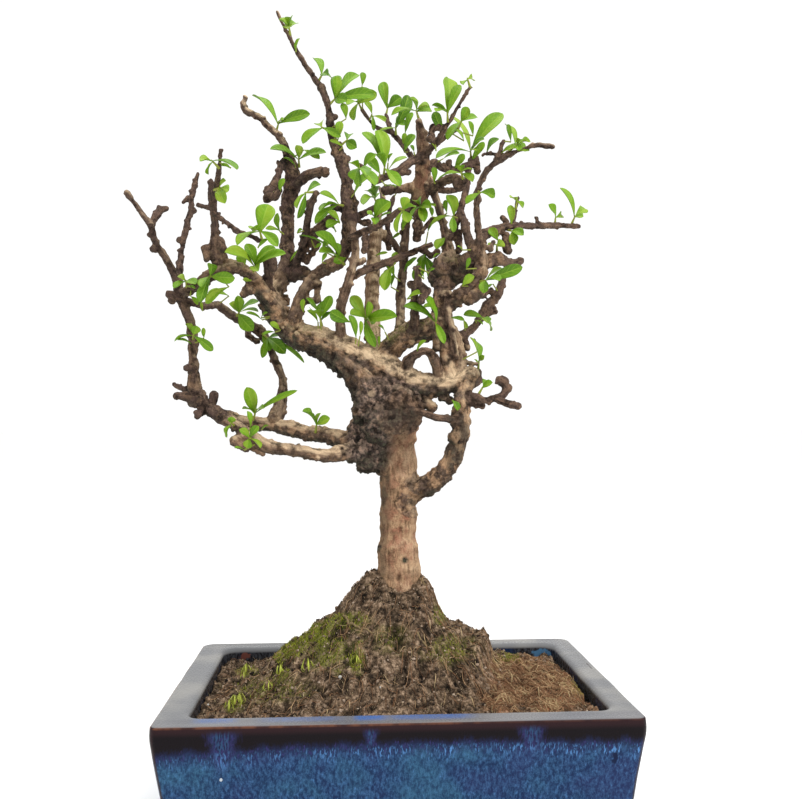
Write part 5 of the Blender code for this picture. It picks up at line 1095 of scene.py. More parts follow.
@dataclass(frozen=True)
class GlazeFinish:
    """Blue flowing glaze over dark clay: grey on the rim, near black under it, streaked where it breaks."""

    top: float
    half_width: float
    half_depth: float
    lean: float
    lip: float
    rim: Colour = (0.225, 0.220, 0.210)
    rim_dark: Colour = (0.140, 0.143, 0.150)
    rim_shade: Colour = (0.105, 0.106, 0.125)
    rim_blue: Colour = (0.045, 0.115, 0.330)
    rust: Colour = (0.210, 0.085, 0.045)
    band: Colour = (0.0065, 0.0045, 0.0060)
    band_brown: Colour = (0.022, 0.010, 0.012)
    navy: Colour = (0.010, 0.014, 0.045)
    deep: Colour = (0.007, 0.021, 0.066)
    blue: Colour = (0.027, 0.073, 0.166)
    bright: Colour = (0.080, 0.215, 0.470)
    teal: Colour = (0.034, 0.115, 0.190)
    violet: Colour = (0.028, 0.026, 0.105)
    well: Colour = (0.050, 0.054, 0.064)
    band_depth: float = 0.0083
    band_tilt: float = -0.009
    band_sag: float = 0.22

    def make(self) -> bpy.types.Material:
        """The material, laid out by height and by distance along the walls."""
        shader = Shader("glaze")
        place = shader.place()
        x, y, z = place.split()
        depth = self.top - z
        streak = place.scaled((1.0, 1.0, 0.22)).noise(1350.0, 2.0, 0.6)
        ragged = place.scaled((1.0, 1.0, 0.02)).noise(130.0, 3.0, 0.6)
        mottle = place.scaled((1.0, 1.0, 0.50)).noise(800.0, 4.0, 0.85)
        cloud = place.noise(34.0, 3.0, 0.55)
        below = depth - self.edge(shader, x, ragged, streak)
        body = self.body(shader, depth, below, (mottle, cloud, streak, ragged, x))
        dark = shader.mix(depth.step(0.0045, 0.0015), self.band, self.band_brown)
        sink = below.step(-0.0030, -0.0004) * streak.step(0.40, 0.62)
        dark = shader.mix(sink, dark, self.navy)
        for column, *sizes in DRIPS:
            centre = self.offset(column)
            half, length = (size * MM for size in sizes)
            away = abs(x - centre)
            away = away / depth.step(0.0, length, half, half * 0.38)
            away = away + (streak - 0.5) * 0.9
            run = away.step(1.05, 0.45) * depth.step(0.0012, 0.0045)
            run = run * depth.step(length, length * 0.75)
            glow = streak.step(0.46, 0.60) * away.step(0.95, 0.25)
            veil = shader.mix(mottle.step(0.40, 0.58), self.navy, self.violet)
            tone = shader.mix(glow, veil, self.blue)
            dark = shader.mix(run * 0.75, dark, tone)
            tone = shader.mix(glow * 0.7, veil, self.bright)
            body = shader.mix(run * 0.65, body, tone)
        colour = shader.mix(below.step(-0.0006, 0.0012), dark, body)
        fall = shader.math("MAXIMUM", depth - self.lip, 0.0)
        fall = fall * self.lean
        side_x = abs(x) - self.half_width + fall
        side_y = abs(y) - self.half_depth + fall
        near = shader.math("MINIMUM", side_x, side_y)
        near = near + (ragged - 0.5) * 0.002
        corner = shader.mix(ragged.step(0.4, 0.6), self.band, self.band_brown)
        colour = shader.mix(near.step(-0.0021, -0.0010, 0.0, 0.94), colour, corner)
        well = shader.mix(mottle.step(0.40, 0.62), self.band, self.well)
        well = shader.mix(cloud.step(0.52, 0.64) * 0.8, well, self.deep)
        colour = shader.mix(shader.note("inside"), colour, well)
        colour = shader.mix(shader.note("rim"), colour, self.top_face(shader, place, mottle, streak))
        broken = place.noise(330.0, 2.0, 0.6)
        for spot in glaze_spots():
            mask = self.mask(shader, (x, y, z), spot, broken)
            colour = shader.mix(mask, colour, spot.mark.value)
        outer = shader.math("MAXIMUM", side_x, side_y)
        lip = outer.step(-0.0010, -0.0005) * depth.step(0.0012, 0.0006)
        lip = lip * ragged.step(0.36, 0.60, 0.15, 0.8)
        lip = lip * x.step(0.045, 0.010, 0.25, 1.0)
        colour = shader.mix(lip * 0.55, colour, self.rust)
        colour = shader.mix(z.step(0.0022, 0.0010), colour, self.band_brown)
        return shader.finish(colour, mottle.step(0.3, 0.7, 0.18, 0.34), mottle, 0.00008, gloss=0.07)

    def offset(self, column: float) -> float:
        """How far to the side the pot's front shows at this pixel column, near its rim."""
        return float(VIEW.meet(column, RIM_ROW, 1, -self.half_depth)[0])

    def edge(self, shader: Shader, x: Value, ragged: Value, streak: Value) -> Value:
        """The depth below the rim at which the dark band gives way, lower towards the corners.

        Args:
            shader: Not used.
            x: Distance to the side.
            ragged: Broad unevenness.
            streak: Narrow unevenness.

        Returns:
            The depth.
        """
        broad = (ragged - 0.5) * 0.0065
        narrow = (streak - 0.5) * 0.0060
        sag = x * x * self.band_sag
        return self.band_depth + sag + broad + x * self.band_tilt + narrow

    def body(self, shader: Shader, depth: Value, below: Value, fields: tuple[Value, ...]) -> Value:
        """The blue of the walls: mottled, with short bright streaks under the band and teal clouds.

        Args:
            shader: The material being built.
            depth: Depth below the rim.
            below: Depth below the dark band.
            fields: Mottle, cloud, streak and ragged noise, and the distance to the side.

        Returns:
            The colour.
        """
        mottle, cloud, streak, ragged, side = fields
        colour = shader.mix(mottle.step(0.42, 0.58), self.deep, self.blue)
        colour = shader.mix(cloud.step(0.50, 0.36, 0.0, 0.24), colour, self.violet)
        veil = cloud.step(0.46, 0.66) * mottle.step(0.30, 0.60, 0.1, 0.6)
        colour = shader.mix(veil, colour, self.teal)
        dots = mottle.step(0.58, 0.72) * 0.60
        colour = shader.mix(dots, colour, self.bright)
        colour = shader.mix(below.step(0.0070, 0.0004, 0.0, 0.92), colour, self.navy)
        lines = streak.step(0.52, 0.64) * below.step(0.0085, 0.0030)
        lines = lines * ragged.step(0.40, 0.58, 0.30, 1.0)
        lines = lines * side.step(-0.095, 0.01, 0.50, 1.0)
        colour = shader.mix(lines * 0.85, colour, self.bright)
        gaps = streak.step(0.46, 0.34) * below.step(0.009, 0.002)
        colour = shader.mix(gaps * 0.8, colour, self.violet)
        return shader.mix(depth.step(0.026, 0.062, 0.0, 0.35), colour, self.deep)

    def top_face(self, shader: Shader, place: Value, mottle: Value, streak: Value) -> Value:
        """The grey of the rim's top, with blue glaze washes and painted blue sheen near its inner front edge.

        Args:
            shader: The material being built.
            place: The point being shaded.
            mottle: Fine noise.
            streak: Narrow noise.

        Returns:
            The colour.
        """
        x, y, _ = place.split()
        soft = place.noise(30.0, 2.0, 0.5)
        grey = shader.mix(soft.step(0.36, 0.66), self.rim_dark, self.rim)
        grey = shader.mix(mottle.step(0.40, 0.24) * 0.35, grey, self.rim_dark)
        front = y.step(0.0140 - self.half_depth, 0.0090 - self.half_depth, 0.0, 0.55)
        grey = shader.mix(front, grey, self.rim_shade)
        inner = y.step(0.0030 - self.half_depth, 0.0090 - self.half_depth)
        inner = inner * y.step(0.0, -0.02)
        # Blue glaze washes with painted sheen along the front rim's inner half
        for column, half, strength in SHEEN_WASHES:
            away = abs(x - self.offset(column))
            sheen_wash = away.step(half * MM, half * MM * 0.4) * inner
            sheen_wash = sheen_wash * streak.step(0.30, 0.52, 0.2, 1.0)
            grey = shader.mix(sheen_wash * strength, grey, self.rim_blue)
        return grey

    def mask(self, shader: Shader, at: tuple[Value, ...], spot: Spot, mottle: Value) -> Value:
        """How strongly a spot shows.

        Args:
            shader: The material being built.
            at: The shaded point's three distances.
            spot: The spot.
            mottle: Fine noise, which roughens its outline.

        Returns:
            The share, from 0 to 1.
        """
        total = (mottle - 0.5) * 4.0
        for value, middle, half in zip(at, spot.middle, spot.half):
            away = (value - middle) / half
            total = total + away * away
        shown = total.step(1.1, 0.5)
        inside = shader.note("inside")
        kept = inside if spot.inside else 1.0 - inside
        return shown * kept


def shifted(values: np.ndarray) -> np.ndarray:
    """A smooth rise from 0 to 1 for values from 0 to 1."""
    held = np.clip(values, 0.0, 1.0)
    return held * held * (3.0 - 2.0 * held)


def joined_grid(rows: int, columns: int, start: int = 0) -> Faces:
    """The faces of closed rings laid one after another.

    Args:
        rows: How many rings there are.
        columns: How many points a ring has.
        start: The first point's number.

    Returns:
        Four-sided faces.
    """
    faces = []
    for i in range(rows - 1):
        for k in range(columns):
            a = start + i * columns + k
            b = start + i * columns + (k + 1) % columns
            faces.append((a, b, b + columns, a + columns))
    return faces


def sheet(rows: int, columns: int) -> Faces:
    """The faces of an open grid."""
    return [(a, a + 1, a + columns + 1, a + columns)
            for i in range(rows - 1) for a in range(i * columns, (i + 1) * columns - 1)]


def grid_border(rows: int, columns: int) -> list[int]:
    """The points round the edge of an open grid, in order.

    Args:
        rows: How many rows of points it has.
        columns: How many points a row has.

    Returns:
        The points' numbers.
    """
    border = list(range(columns)) + [i * columns + columns - 1 for i in range(1, rows)]
    border += [(rows - 1) * columns + k for k in range(columns - 2, -1, -1)]
    return border + [i * columns for i in range(rows - 2, 0, -1)]


def vectors(items: bpy.types.bpy_prop_collection, key: str) -> np.ndarray:
    """One vector of every item of a mesh, a row each.

    Args:
        items: The mesh's vertices, faces or values.
        key: The vector's name.

    Returns:
        The vectors.
    """
    held = np.empty(len(items) * 3)
    items.foreach_get(key, held)
    return held.reshape(-1, 3)


def within(seen: np.ndarray, regions: tuple[Row, ...], reach: float, fall: float,
           ragged: np.ndarray | float = 0.0) -> np.ndarray:
    """How far each pixel lies within regions of the picture's pixel grid.

    Args:
        seen: Pixel columns and rows.
        regions: Each region's centre column and row, half width, half height and strength.
        reach: The share at a region's centre, before it is cut to 1.
        fall: How fast the share falls from there.
        ragged: What makes the outline uneven.

    Returns:
        A share from 0 to 1 per pixel.
    """
    total = np.zeros(len(seen))
    for column, row, half_width, half_height, strength in regions:
        away = np.hypot((seen[:, 0] - column) / half_width, (seen[:, 1] - row) / half_height) + ragged
        total = np.maximum(total, strength * shifted(reach - fall * away))
    return total


@dataclass(frozen=True)
class GlazedPot:
    """The rectangular pot: lip band, leaning walls, flat base, floor with two drainage holes."""

    width: float = 0.210
    depth: float = 0.1534
    height: float = 0.062
    lip: float = 0.0075
    rim_top: float = 0.0138
    taper: float = math.radians(8.8)
    floor: float = 0.008
    floor_wall: float = 0.008
    corner: float = 0.0038
    back_corner: float = 0.0062
    well_corner: float = 0.0085
    right_inset: float = 0.0022
    chamfer: float = 0.0015
    edge: float = 0.0009
    roll: float = 0.0026
    drain_x: float = 0.045
    drain_radius: float = 0.007
    drain_steps: int = 40
    corner_steps: int = 9
    long_steps: int = 26
    short_steps: int = 18
    wall_rows: int = 22
    sharp: float = math.radians(42.0)
    waviness: float = 0.00022

    def inner_half(self, height: float) -> tuple[float, float]:
        """The inner half width and half depth at this height.

        Args:
            height: Height over the pot's foot.

        Returns:
            Half width and half depth.
        """
        drop = (self.height - self.lip - self.floor) * math.tan(self.taper)
        share = (self.height - height) / (self.height - self.floor)
        inset = self.rim_top + (drop + self.floor_wall - self.rim_top) * share
        return self.width / 2 - inset, self.depth / 2 - inset

    def loop(self, inset: float, radius: float, height: float, well: float) -> np.ndarray:
        """One corner-rounded loop of points, with points along its straight sides too.

        Args:
            inset: How far it lies inside the rim's outline.
            radius: Its corner radius.
            height: Its height.
            well: How far it belongs to the well, whose right side lies nearer the outline.

        Returns:
            The points, anticlockwise from above.
        """
        half_x = self.width / 2 - inset
        half_y = self.depth / 2 - inset
        points = []
        front = radius
        for corner, (sx, sy) in enumerate(((1, 1), (-1, 1), (-1, -1), (1, -1))):
            radius = front if sy < 0 or well > 0 else front * self.back_corner / self.corner
            after = front if corner in (1, 2) or well > 0 else front * self.back_corner / self.corner
            for k in range(self.corner_steps + 1):
                angle = math.pi / 2 * (corner + k / self.corner_steps)
                x = sx * (half_x - radius) + radius * math.cos(angle)
                y = sy * (half_y - radius) + radius * math.sin(angle)
                points.append((x, y, height))
            last = np.array(points[-1])
            ends = ((-half_x + after, half_y, height), (-half_x, -half_y + after, height),
                    (half_x - after, -half_y, height), (half_x, half_y - after, height))
            steps = self.long_steps if corner % 2 == 0 else self.short_steps
            for k in range(1, steps):
                points.append(tuple(last + (np.array(ends[corner]) - last) * k / steps))
        found = np.array(points)
        found[:, 0] += self.right_inset * well * shifted(found[:, 0] / half_x)
        return found

    def profile(self) -> list[tuple[float, ...]]:
        """Every loop's inset, height, corner radius, and its shares of rim top, of inside and of well."""
        slope = math.tan(self.taper)
        low = (self.height - self.lip - self.chamfer) * slope
        rows = [(low + self.chamfer, 0.0, self.corner * 0.7, 0.0, 0.0, 0.0),
                (low + 0.0004, 0.0006, self.corner * 0.78, 0.0, 0.0, 0.0)]
        for share in np.linspace(0.0, 1.0, self.wall_rows):
            height = self.chamfer + (self.height - self.lip - self.chamfer) * share
            rows.append((low * (1 - share), height, self.corner * (0.8 + 0.2 * share), 0.0, 0.0, 0.0))
        for share in (0.25, 0.5, 0.75):
            rows.append((-0.0002 * math.sin(math.pi * share), self.height - self.lip * (1 - share * 0.86),
                         self.corner, 0.0, 0.0, 0.0))
        for angle in np.linspace(0.0, math.pi / 2, 5):
            rows.append((self.edge * (1 - math.cos(angle)), self.height - self.edge * (1 - math.sin(angle)),
                         self.corner, float(angle > 1.0), 0.0, 0.0))
        inner = self.rim_top
        for share in (0.2, 0.4, 0.6, 0.8):
            sag = 0.0002 * math.sin(math.pi * share)
            rows.append((self.edge + (inner - self.roll - self.edge) * share, self.height - sag,
                         self.corner + (self.well_corner - self.corner) * share, 1.0, 0.0, share))
        for angle in np.linspace(0.0, math.pi / 2, 5):
            reach = self.roll
            rows.append((inner - reach * (1 - math.sin(angle)), self.height - reach * (1 - math.cos(angle)),
                         self.well_corner, float(angle < 1.3), float(angle > 1.3), 1.0))
        for share in np.linspace(0.1, 1.0, 12):
            height = self.height - self.roll - (self.height - self.roll - self.floor) * share
            inset = self.width / 2 - self.inner_half(height)[0]
            rows.append((inset, height, self.well_corner, 0.0, 1.0, 1.0))
        return rows

    def build(self) -> bpy.types.Object:
        """The pot's mesh, with faint unevenness in its glaze, pierced by the drainage holes."""
        loops = []
        rim_notes = []
        inner_notes = []
        for inset, height, radius, rim, inside, well in self.profile():
            loop = self.loop(inset, radius, height, well)
            wave = layered(loop * 55.0, 11, 3) * self.waviness
            rise = shifted(np.array([(height - 0.001) / 0.004]))[0]
            wave *= rise * (1.0 - 0.75 * rim) * (1.0 - 0.7 * inside)
            outward = units(loop * np.array((1.0, self.width / self.depth, 0.0)))
            loops.append(loop + outward * wave[:, None])
            rim_notes.append(np.full(len(loop), rim))
            inner_notes.append(np.full(len(loop), inside))
        count = len(loops[0])
        faces = [tuple(range(count))[::-1]]
        faces += joined_grid(len(loops), count)
        faces.append(tuple(range((len(loops) - 1) * count, len(loops) * count)))
        parts = MeshParts()
        parts.add(np.concatenate(loops), faces, rim=np.concatenate(rim_notes),
                  inside=np.concatenate(inner_notes))
        pot = parts.build("glazed_pot")
        for side in (-1, 1):
            self.pierce(pot, side * self.drain_x)
        return pot

    def pierce(self, pot: bpy.types.Object, x: float) -> None:
        """Cuts one drainage hole through the floor at this distance to the side.

        Args:
            pot: The pot's mesh object.
            x: The hole's distance to the side.
        """
        count = self.drain_steps
        rings = []
        for height in (-0.01, self.floor + 0.01):
            angles = np.linspace(0.0, 2 * math.pi, count, endpoint=False)
            rings.append(np.stack((x + self.drain_radius * np.cos(angles), self.drain_radius * np.sin(angles),
                                   np.full(count, height)), axis=1))
        cutter = MeshParts()
        ends = [tuple(range(count))[::-1], tuple(range(count, 2 * count))]
        cutter.add(np.concatenate(rings), joined_grid(2, count) + ends)
        tool = cutter.build("drain_cutter")
        cut = pot.modifiers.new("drain", "BOOLEAN")
        cut.operation = "DIFFERENCE"
        cut.solver = "EXACT"
        cut.object = tool
        apply_modifiers(pot)
        bpy.data.objects.remove(tool, do_unlink=True)

    def place(self) -> None:
        """Builds and dresses the pot."""
        pot = self.build()
        pot.data.shade_smooth()
        pot.data.set_sharp_from_angle(angle=self.sharp)
        glaze = GlazeFinish(top=self.height, half_width=self.width / 2, half_depth=self.depth / 2,
                            lean=math.tan(self.taper), lip=self.lip)
        show(pot, glaze.make(), "glaze", "pot")


@dataclass(frozen=True)
class DrainScreens:
    """The two screens over the drainage holes, which keep the part's own solids."""

    finish: ScreenFinish
    nodes: tuple[str, ...] = ("drain_screen_left", "drain_screen_right")

    def place(self) -> None:
        """Dresses both screens."""
        plastic = self.finish.make()
        for name in self.nodes:
            node = frame["nodes"][name]
            node.data.materials.clear()
            node.data.materials.append(plastic)
            logging.info("%s: kept", name)


def apply_modifiers(made: bpy.types.Object) -> None:
    """Turns the object's modifiers into its own mesh.

    Args:
        made: The mesh object.
    """
    graph = bpy.context.evaluated_depsgraph_get()
    graph.update()
    mesh = bpy.data.meshes.new_from_object(made.evaluated_get(graph))
    old = made.data
    made.modifiers.clear()
    made.data = mesh
    bpy.data.meshes.remove(old)


@dataclass(frozen=True)
class SoilMound:
    """The soil's surface: higher on the left behind the trunk, with hollows and lumps."""

    pot: GlazedPot
    finish: GroundFinish
    foot: tuple[float, float] = (0.0031, 0.0)
    lumps: float = 0.0016
    edge_depth: float = 0.008
    edge_drop: float = 0.003
    edge_slope: float = 2.2
    calm_radius: float = 0.014
    calm_edge: float = 0.010
    gap: float = 0.0003
    crumbs: float = 0.0011
    near: float = 0.38
    far: float = 0.56
    columns: int = 250
    rows: int = 180

    def profile(self, side: tuple[Row, ...], distance: np.ndarray) -> np.ndarray:
        """One side's height over the rim at these distances.

        Args:
            side: The profile: distances from the trunk and heights, in mm.
            distance: Distances from the trunk.

        Returns:
            One height per distance.
        """
        reach = [d * MM for d, _ in side]
        rise = [h * MM for _, h in side]
        return np.interp(distance, reach, rise)

    def height(self, x: np.ndarray, y: np.ndarray) -> np.ndarray:
        """The surface's height at these places, before its crumbs.

        Args:
            x: Distances to the right.
            y: Distances to the back.

        Returns:
            One height per place.
        """
        dx = x - self.foot[0]
        dy = y - self.foot[1]
        distance = np.hypot(dx, dy)
        quarter = (np.arctan2(dy, dx) % (2 * math.pi)) / (math.pi / 2)
        first = quarter.astype(int) % 4
        share = shifted(quarter - quarter.astype(int))
        sides = (MOUND_RIGHT, MOUND_BACK, MOUND_LEFT, MOUND_FRONT)
        levels = np.stack([self.profile(side, distance) for side in sides])
        index = np.arange(len(x))
        found = levels[first, index] * (1 - share) + levels[(first + 1) % 4, index] * share
        broad = np.sin(x * 310 + y * 170) * np.sin(y * 290 - x * 120 + 1.3)
        fine = np.sin(x * 640 - y * 380 + 0.7) * np.sin(y * 590 + x * 260)
        spread = np.clip((distance - self.calm_radius) / self.calm_edge, 0.0, 1.0)
        found = self.pot.height + found + self.lumps * (broad + 0.6 * fine) * spread
        half = self.pot.inner_half(self.pot.height - self.edge_depth)
        inside = np.maximum(np.minimum(half[0] - np.abs(x), half[1] - np.abs(y)), 0.0)
        return np.minimum(found, self.pot.height - self.edge_drop + inside * self.edge_slope)

    def surface(self, x: np.ndarray, y: np.ndarray) -> np.ndarray:
        """The surface's height with its crumbs.

        Args:
            x: Distances to the right.
            y: Distances to the back.

        Returns:
            One height per place.
        """
        places = np.stack((x, y, np.zeros(len(x))), axis=1)
        rough = layered(places * 260.0, 23, 4) * self.crumbs
        rough += np.abs(layered(places * 700.0, 41, 2)) * self.crumbs * 0.55
        return self.height(x, y) + rough

    def inside(self, x: np.ndarray, y: np.ndarray, margin: float) -> np.ndarray:
        """Whether each place lies within the soil, this far from the wall at least."""
        half = self.pot.inner_half(self.pot.height - self.edge_depth)
        return (np.abs(x) < half[0] - margin) & (np.abs(y) < half[1] - margin)

    def build(self) -> bpy.types.Object:
        """The closed mound, with a note of where moss and fibres grow."""
        half_x, half_y = self.pot.inner_half(self.pot.height - self.edge_depth)
        low_x, low_y = self.pot.inner_half(self.pot.floor)
        u, v = np.meshgrid(np.linspace(-1, 1, self.columns), np.linspace(-1, 1, self.rows))
        x = u.ravel() * (half_x - self.gap)
        y = v.ravel() * (half_y - self.gap)
        radius = self.pot.corner
        over_x = np.abs(x) - (half_x - self.gap - radius)
        over_y = np.abs(y) - (half_y - self.gap - radius)
        over = np.hypot(over_x, over_y)
        corner = (over_x > 0) & (over_y > 0) & (over > radius)
        x = np.where(corner, np.sign(x) * (np.abs(x) - over_x * (1 - radius / np.maximum(over, 1e-9))), x)
        y = np.where(corner, np.sign(y) * (np.abs(y) - over_y * (1 - radius / np.maximum(over, 1e-9))), y)
        z = self.surface(x, y)
        top = np.stack((x, y, z), axis=1)
        faces = sheet(self.rows, self.columns)
        border = grid_border(self.rows, self.columns)
        shrink = np.array(((low_x - self.gap) / (half_x - self.gap),
                           (low_y - self.gap) / (half_y - self.gap), 0.0))
        base = top[border] * shrink + np.array((0.0, 0.0, self.pot.floor + 0.0016))
        count = len(border)
        for k in range(count):
            after = (k + 1) % count
            faces.append((border[k], len(top) + k, len(top) + after, border[after]))
        faces.append(tuple(len(top) + k for k in range(count))[::-1])
        points = np.concatenate((top, base))
        moss = self.growth(points, MOSS_PATCHES)
        rust = self.growth(points, FIBRE_PATCHES)
        ridge = 0.5 + (points[:, 2] - self.height(points[:, 0], points[:, 1])) / (2.4 * self.crumbs)
        ridge[len(top):] = 0.2
        parts = MeshParts()
        parts.add(points, faces, moss=moss, rust=rust, ridge=np.clip(ridge, 0.0, 1.0))
        return parts.build("soil_mound")

    def growth(self, points: np.ndarray, patches: tuple[Row, ...]) -> np.ndarray:
        """How strongly something grows at each point, from patches on the picture's pixel grid.

        Args:
            points: Places on the soil.
            patches: Each patch's centre column and row, half width, half height and strength.

        Returns:
            A share from 0 to 1 per point.
        """
        return within(VIEW.pixel(points), patches, 1.6, 1.2, layered(points * 180.0, 5, 3) * 0.35)

    def scatter(self, count: int, margin: float, rng: np.random.Generator) -> np.ndarray:
        """Places spread at random over the surface.

        Args:
            count: How many are tried.
            margin: Least distance from the wall.
            rng: Where the chance comes from.

        Returns:
            The places that fall inside and clear of the trunk.
        """
        half = self.pot.inner_half(self.pot.height - self.edge_depth)
        x = rng.uniform(-half[0], half[0], count)
        y = rng.uniform(-half[1], half[1], count)
        kept = self.inside(x, y, margin) & (np.hypot(x - self.foot[0], y - self.foot[1]) > 0.012)
        x = x[kept]
        y = y[kept]
        return np.stack((x, y, self.surface(x, y)), axis=1)

    def meet(self, column: float, row: float) -> np.ndarray:
        """The place on the soil that shows at this pixel.

        Args:
            column: Pixel column.
            row: Pixel row.

        Returns:
            The place.
        """
        ray = VIEW.ray(column, row)
        eye = np.array(VIEW.eye)
        line = eye + ray * np.linspace(self.near / ray[1], self.far / ray[1], 400)[:, None]
        gap = line[:, 2] - self.height(line[:, 0], line[:, 1])
        below = np.nonzero(gap < 0)[0]
        return line[below[0]] if len(below) else line[np.argmin(np.abs(gap))]

    def place(self) -> None:
        """Builds and dresses the soil."""
        soil = self.build()
        show(soil, self.finish.make(), "soil", "soil")


ICO = (1 + math.sqrt(5)) / 2
ICO_POINTS = units(np.array([
    (-1, ICO, 0), (1, ICO, 0), (-1, -ICO, 0), (1, -ICO, 0), (0, -1, ICO), (0, 1, ICO), (0, -1, -ICO),
    (0, 1, -ICO), (ICO, 0, -1), (ICO, 0, 1), (-ICO, 0, -1), (-ICO, 0, 1),
]))
ICO_FACES = [
    (0, 11, 5), (0, 5, 1), (0, 1, 7), (0, 7, 10), (0, 10, 11), (1, 5, 9), (5, 11, 4), (11, 10, 2), (10, 7, 6),
    (7, 1, 8), (3, 9, 4), (3, 4, 2), (3, 2, 6), (3, 6, 8), (3, 8, 9), (4, 9, 5), (2, 4, 11), (6, 2, 10),
    (8, 6, 7), (9, 8, 1),
]
THIRD_TURN = 2.094
SPIKE_FACES = [(0, 1, 3), (1, 2, 3), (2, 0, 3), (0, 2, 1)]


def turned(points: np.ndarray, rng: np.random.Generator) -> np.ndarray:
    """The points turned at random about the origin."""
    matrix, _ = np.linalg.qr(rng.normal(size=(3, 3)))
    return points @ matrix


def strand(points: np.ndarray, radii: np.ndarray, sides: int) -> Shape:
    """A closed thin tube through the points.

    Args:
        points: The middle line.
        radii: The radius at each of its points.
        sides: How many sides it has.

    Returns:
        Vertices and faces.
    """
    tangents = units(np.gradient(points, axis=0))
    side = unit(np.cross(tangents[0], SIDE_HINT))
    rings = []
    for place, tangent, radius in zip(points, tangents, radii):
        side = unit(side - tangent * float(side @ tangent))
        other = np.cross(tangent, side)
        angles = np.linspace(0.0, 2 * math.pi, sides, endpoint=False)[:, None]
        rings.append(place + (side * np.cos(angles) + other * np.sin(angles)) * radius)
    faces = joined_grid(len(rings), sides)
    faces.append(tuple(range(sides))[::-1])
    faces.append(tuple(range((len(rings) - 1) * sides, len(rings) * sides)))
    return np.concatenate(rings), faces


def slanted(turn: float, tilt: float) -> np.ndarray:
    """The direction that leans this far from upright, at this turn about the upright."""
    return np.array((math.cos(turn) * math.sin(tilt), math.sin(turn) * math.sin(tilt), math.cos(tilt)))


GRIT_TONES = ((0.0, (0.012, 0.009, 0.008)), (0.42, (0.095, 0.066, 0.045)), (0.75, (0.29, 0.21, 0.150)),
              (1.0, (0.46, 0.36, 0.28)))
PALE_TONES = ((0.0, (0.30, 0.28, 0.25)), (1.0, (0.52, 0.50, 0.46)))
FIBRE_TONES = ((0.0, (0.030, 0.019, 0.012)), (0.42, (0.235, 0.120, 0.064)), (0.75, (0.420, 0.255, 0.140)),
               (1.0, (0.58, 0.44, 0.24)))
ROOT_TONES = ((0.0, (0.10, 0.065, 0.035)), (0.5, (0.20, 0.145, 0.075)), (1.0, (0.30, 0.23, 0.12)))
WISP_TONES = ((0.0, (0.016, 0.012, 0.009)), (0.40, (0.100, 0.070, 0.042)), (0.72, (0.310, 0.225, 0.135)),
              (1.0, (0.56, 0.45, 0.26)))
MOSS_TONES = ((0.0, (0.045, 0.055, 0.010)), (0.5, (0.190, 0.210, 0.022)), (1.0, (0.40, 0.42, 0.040)))


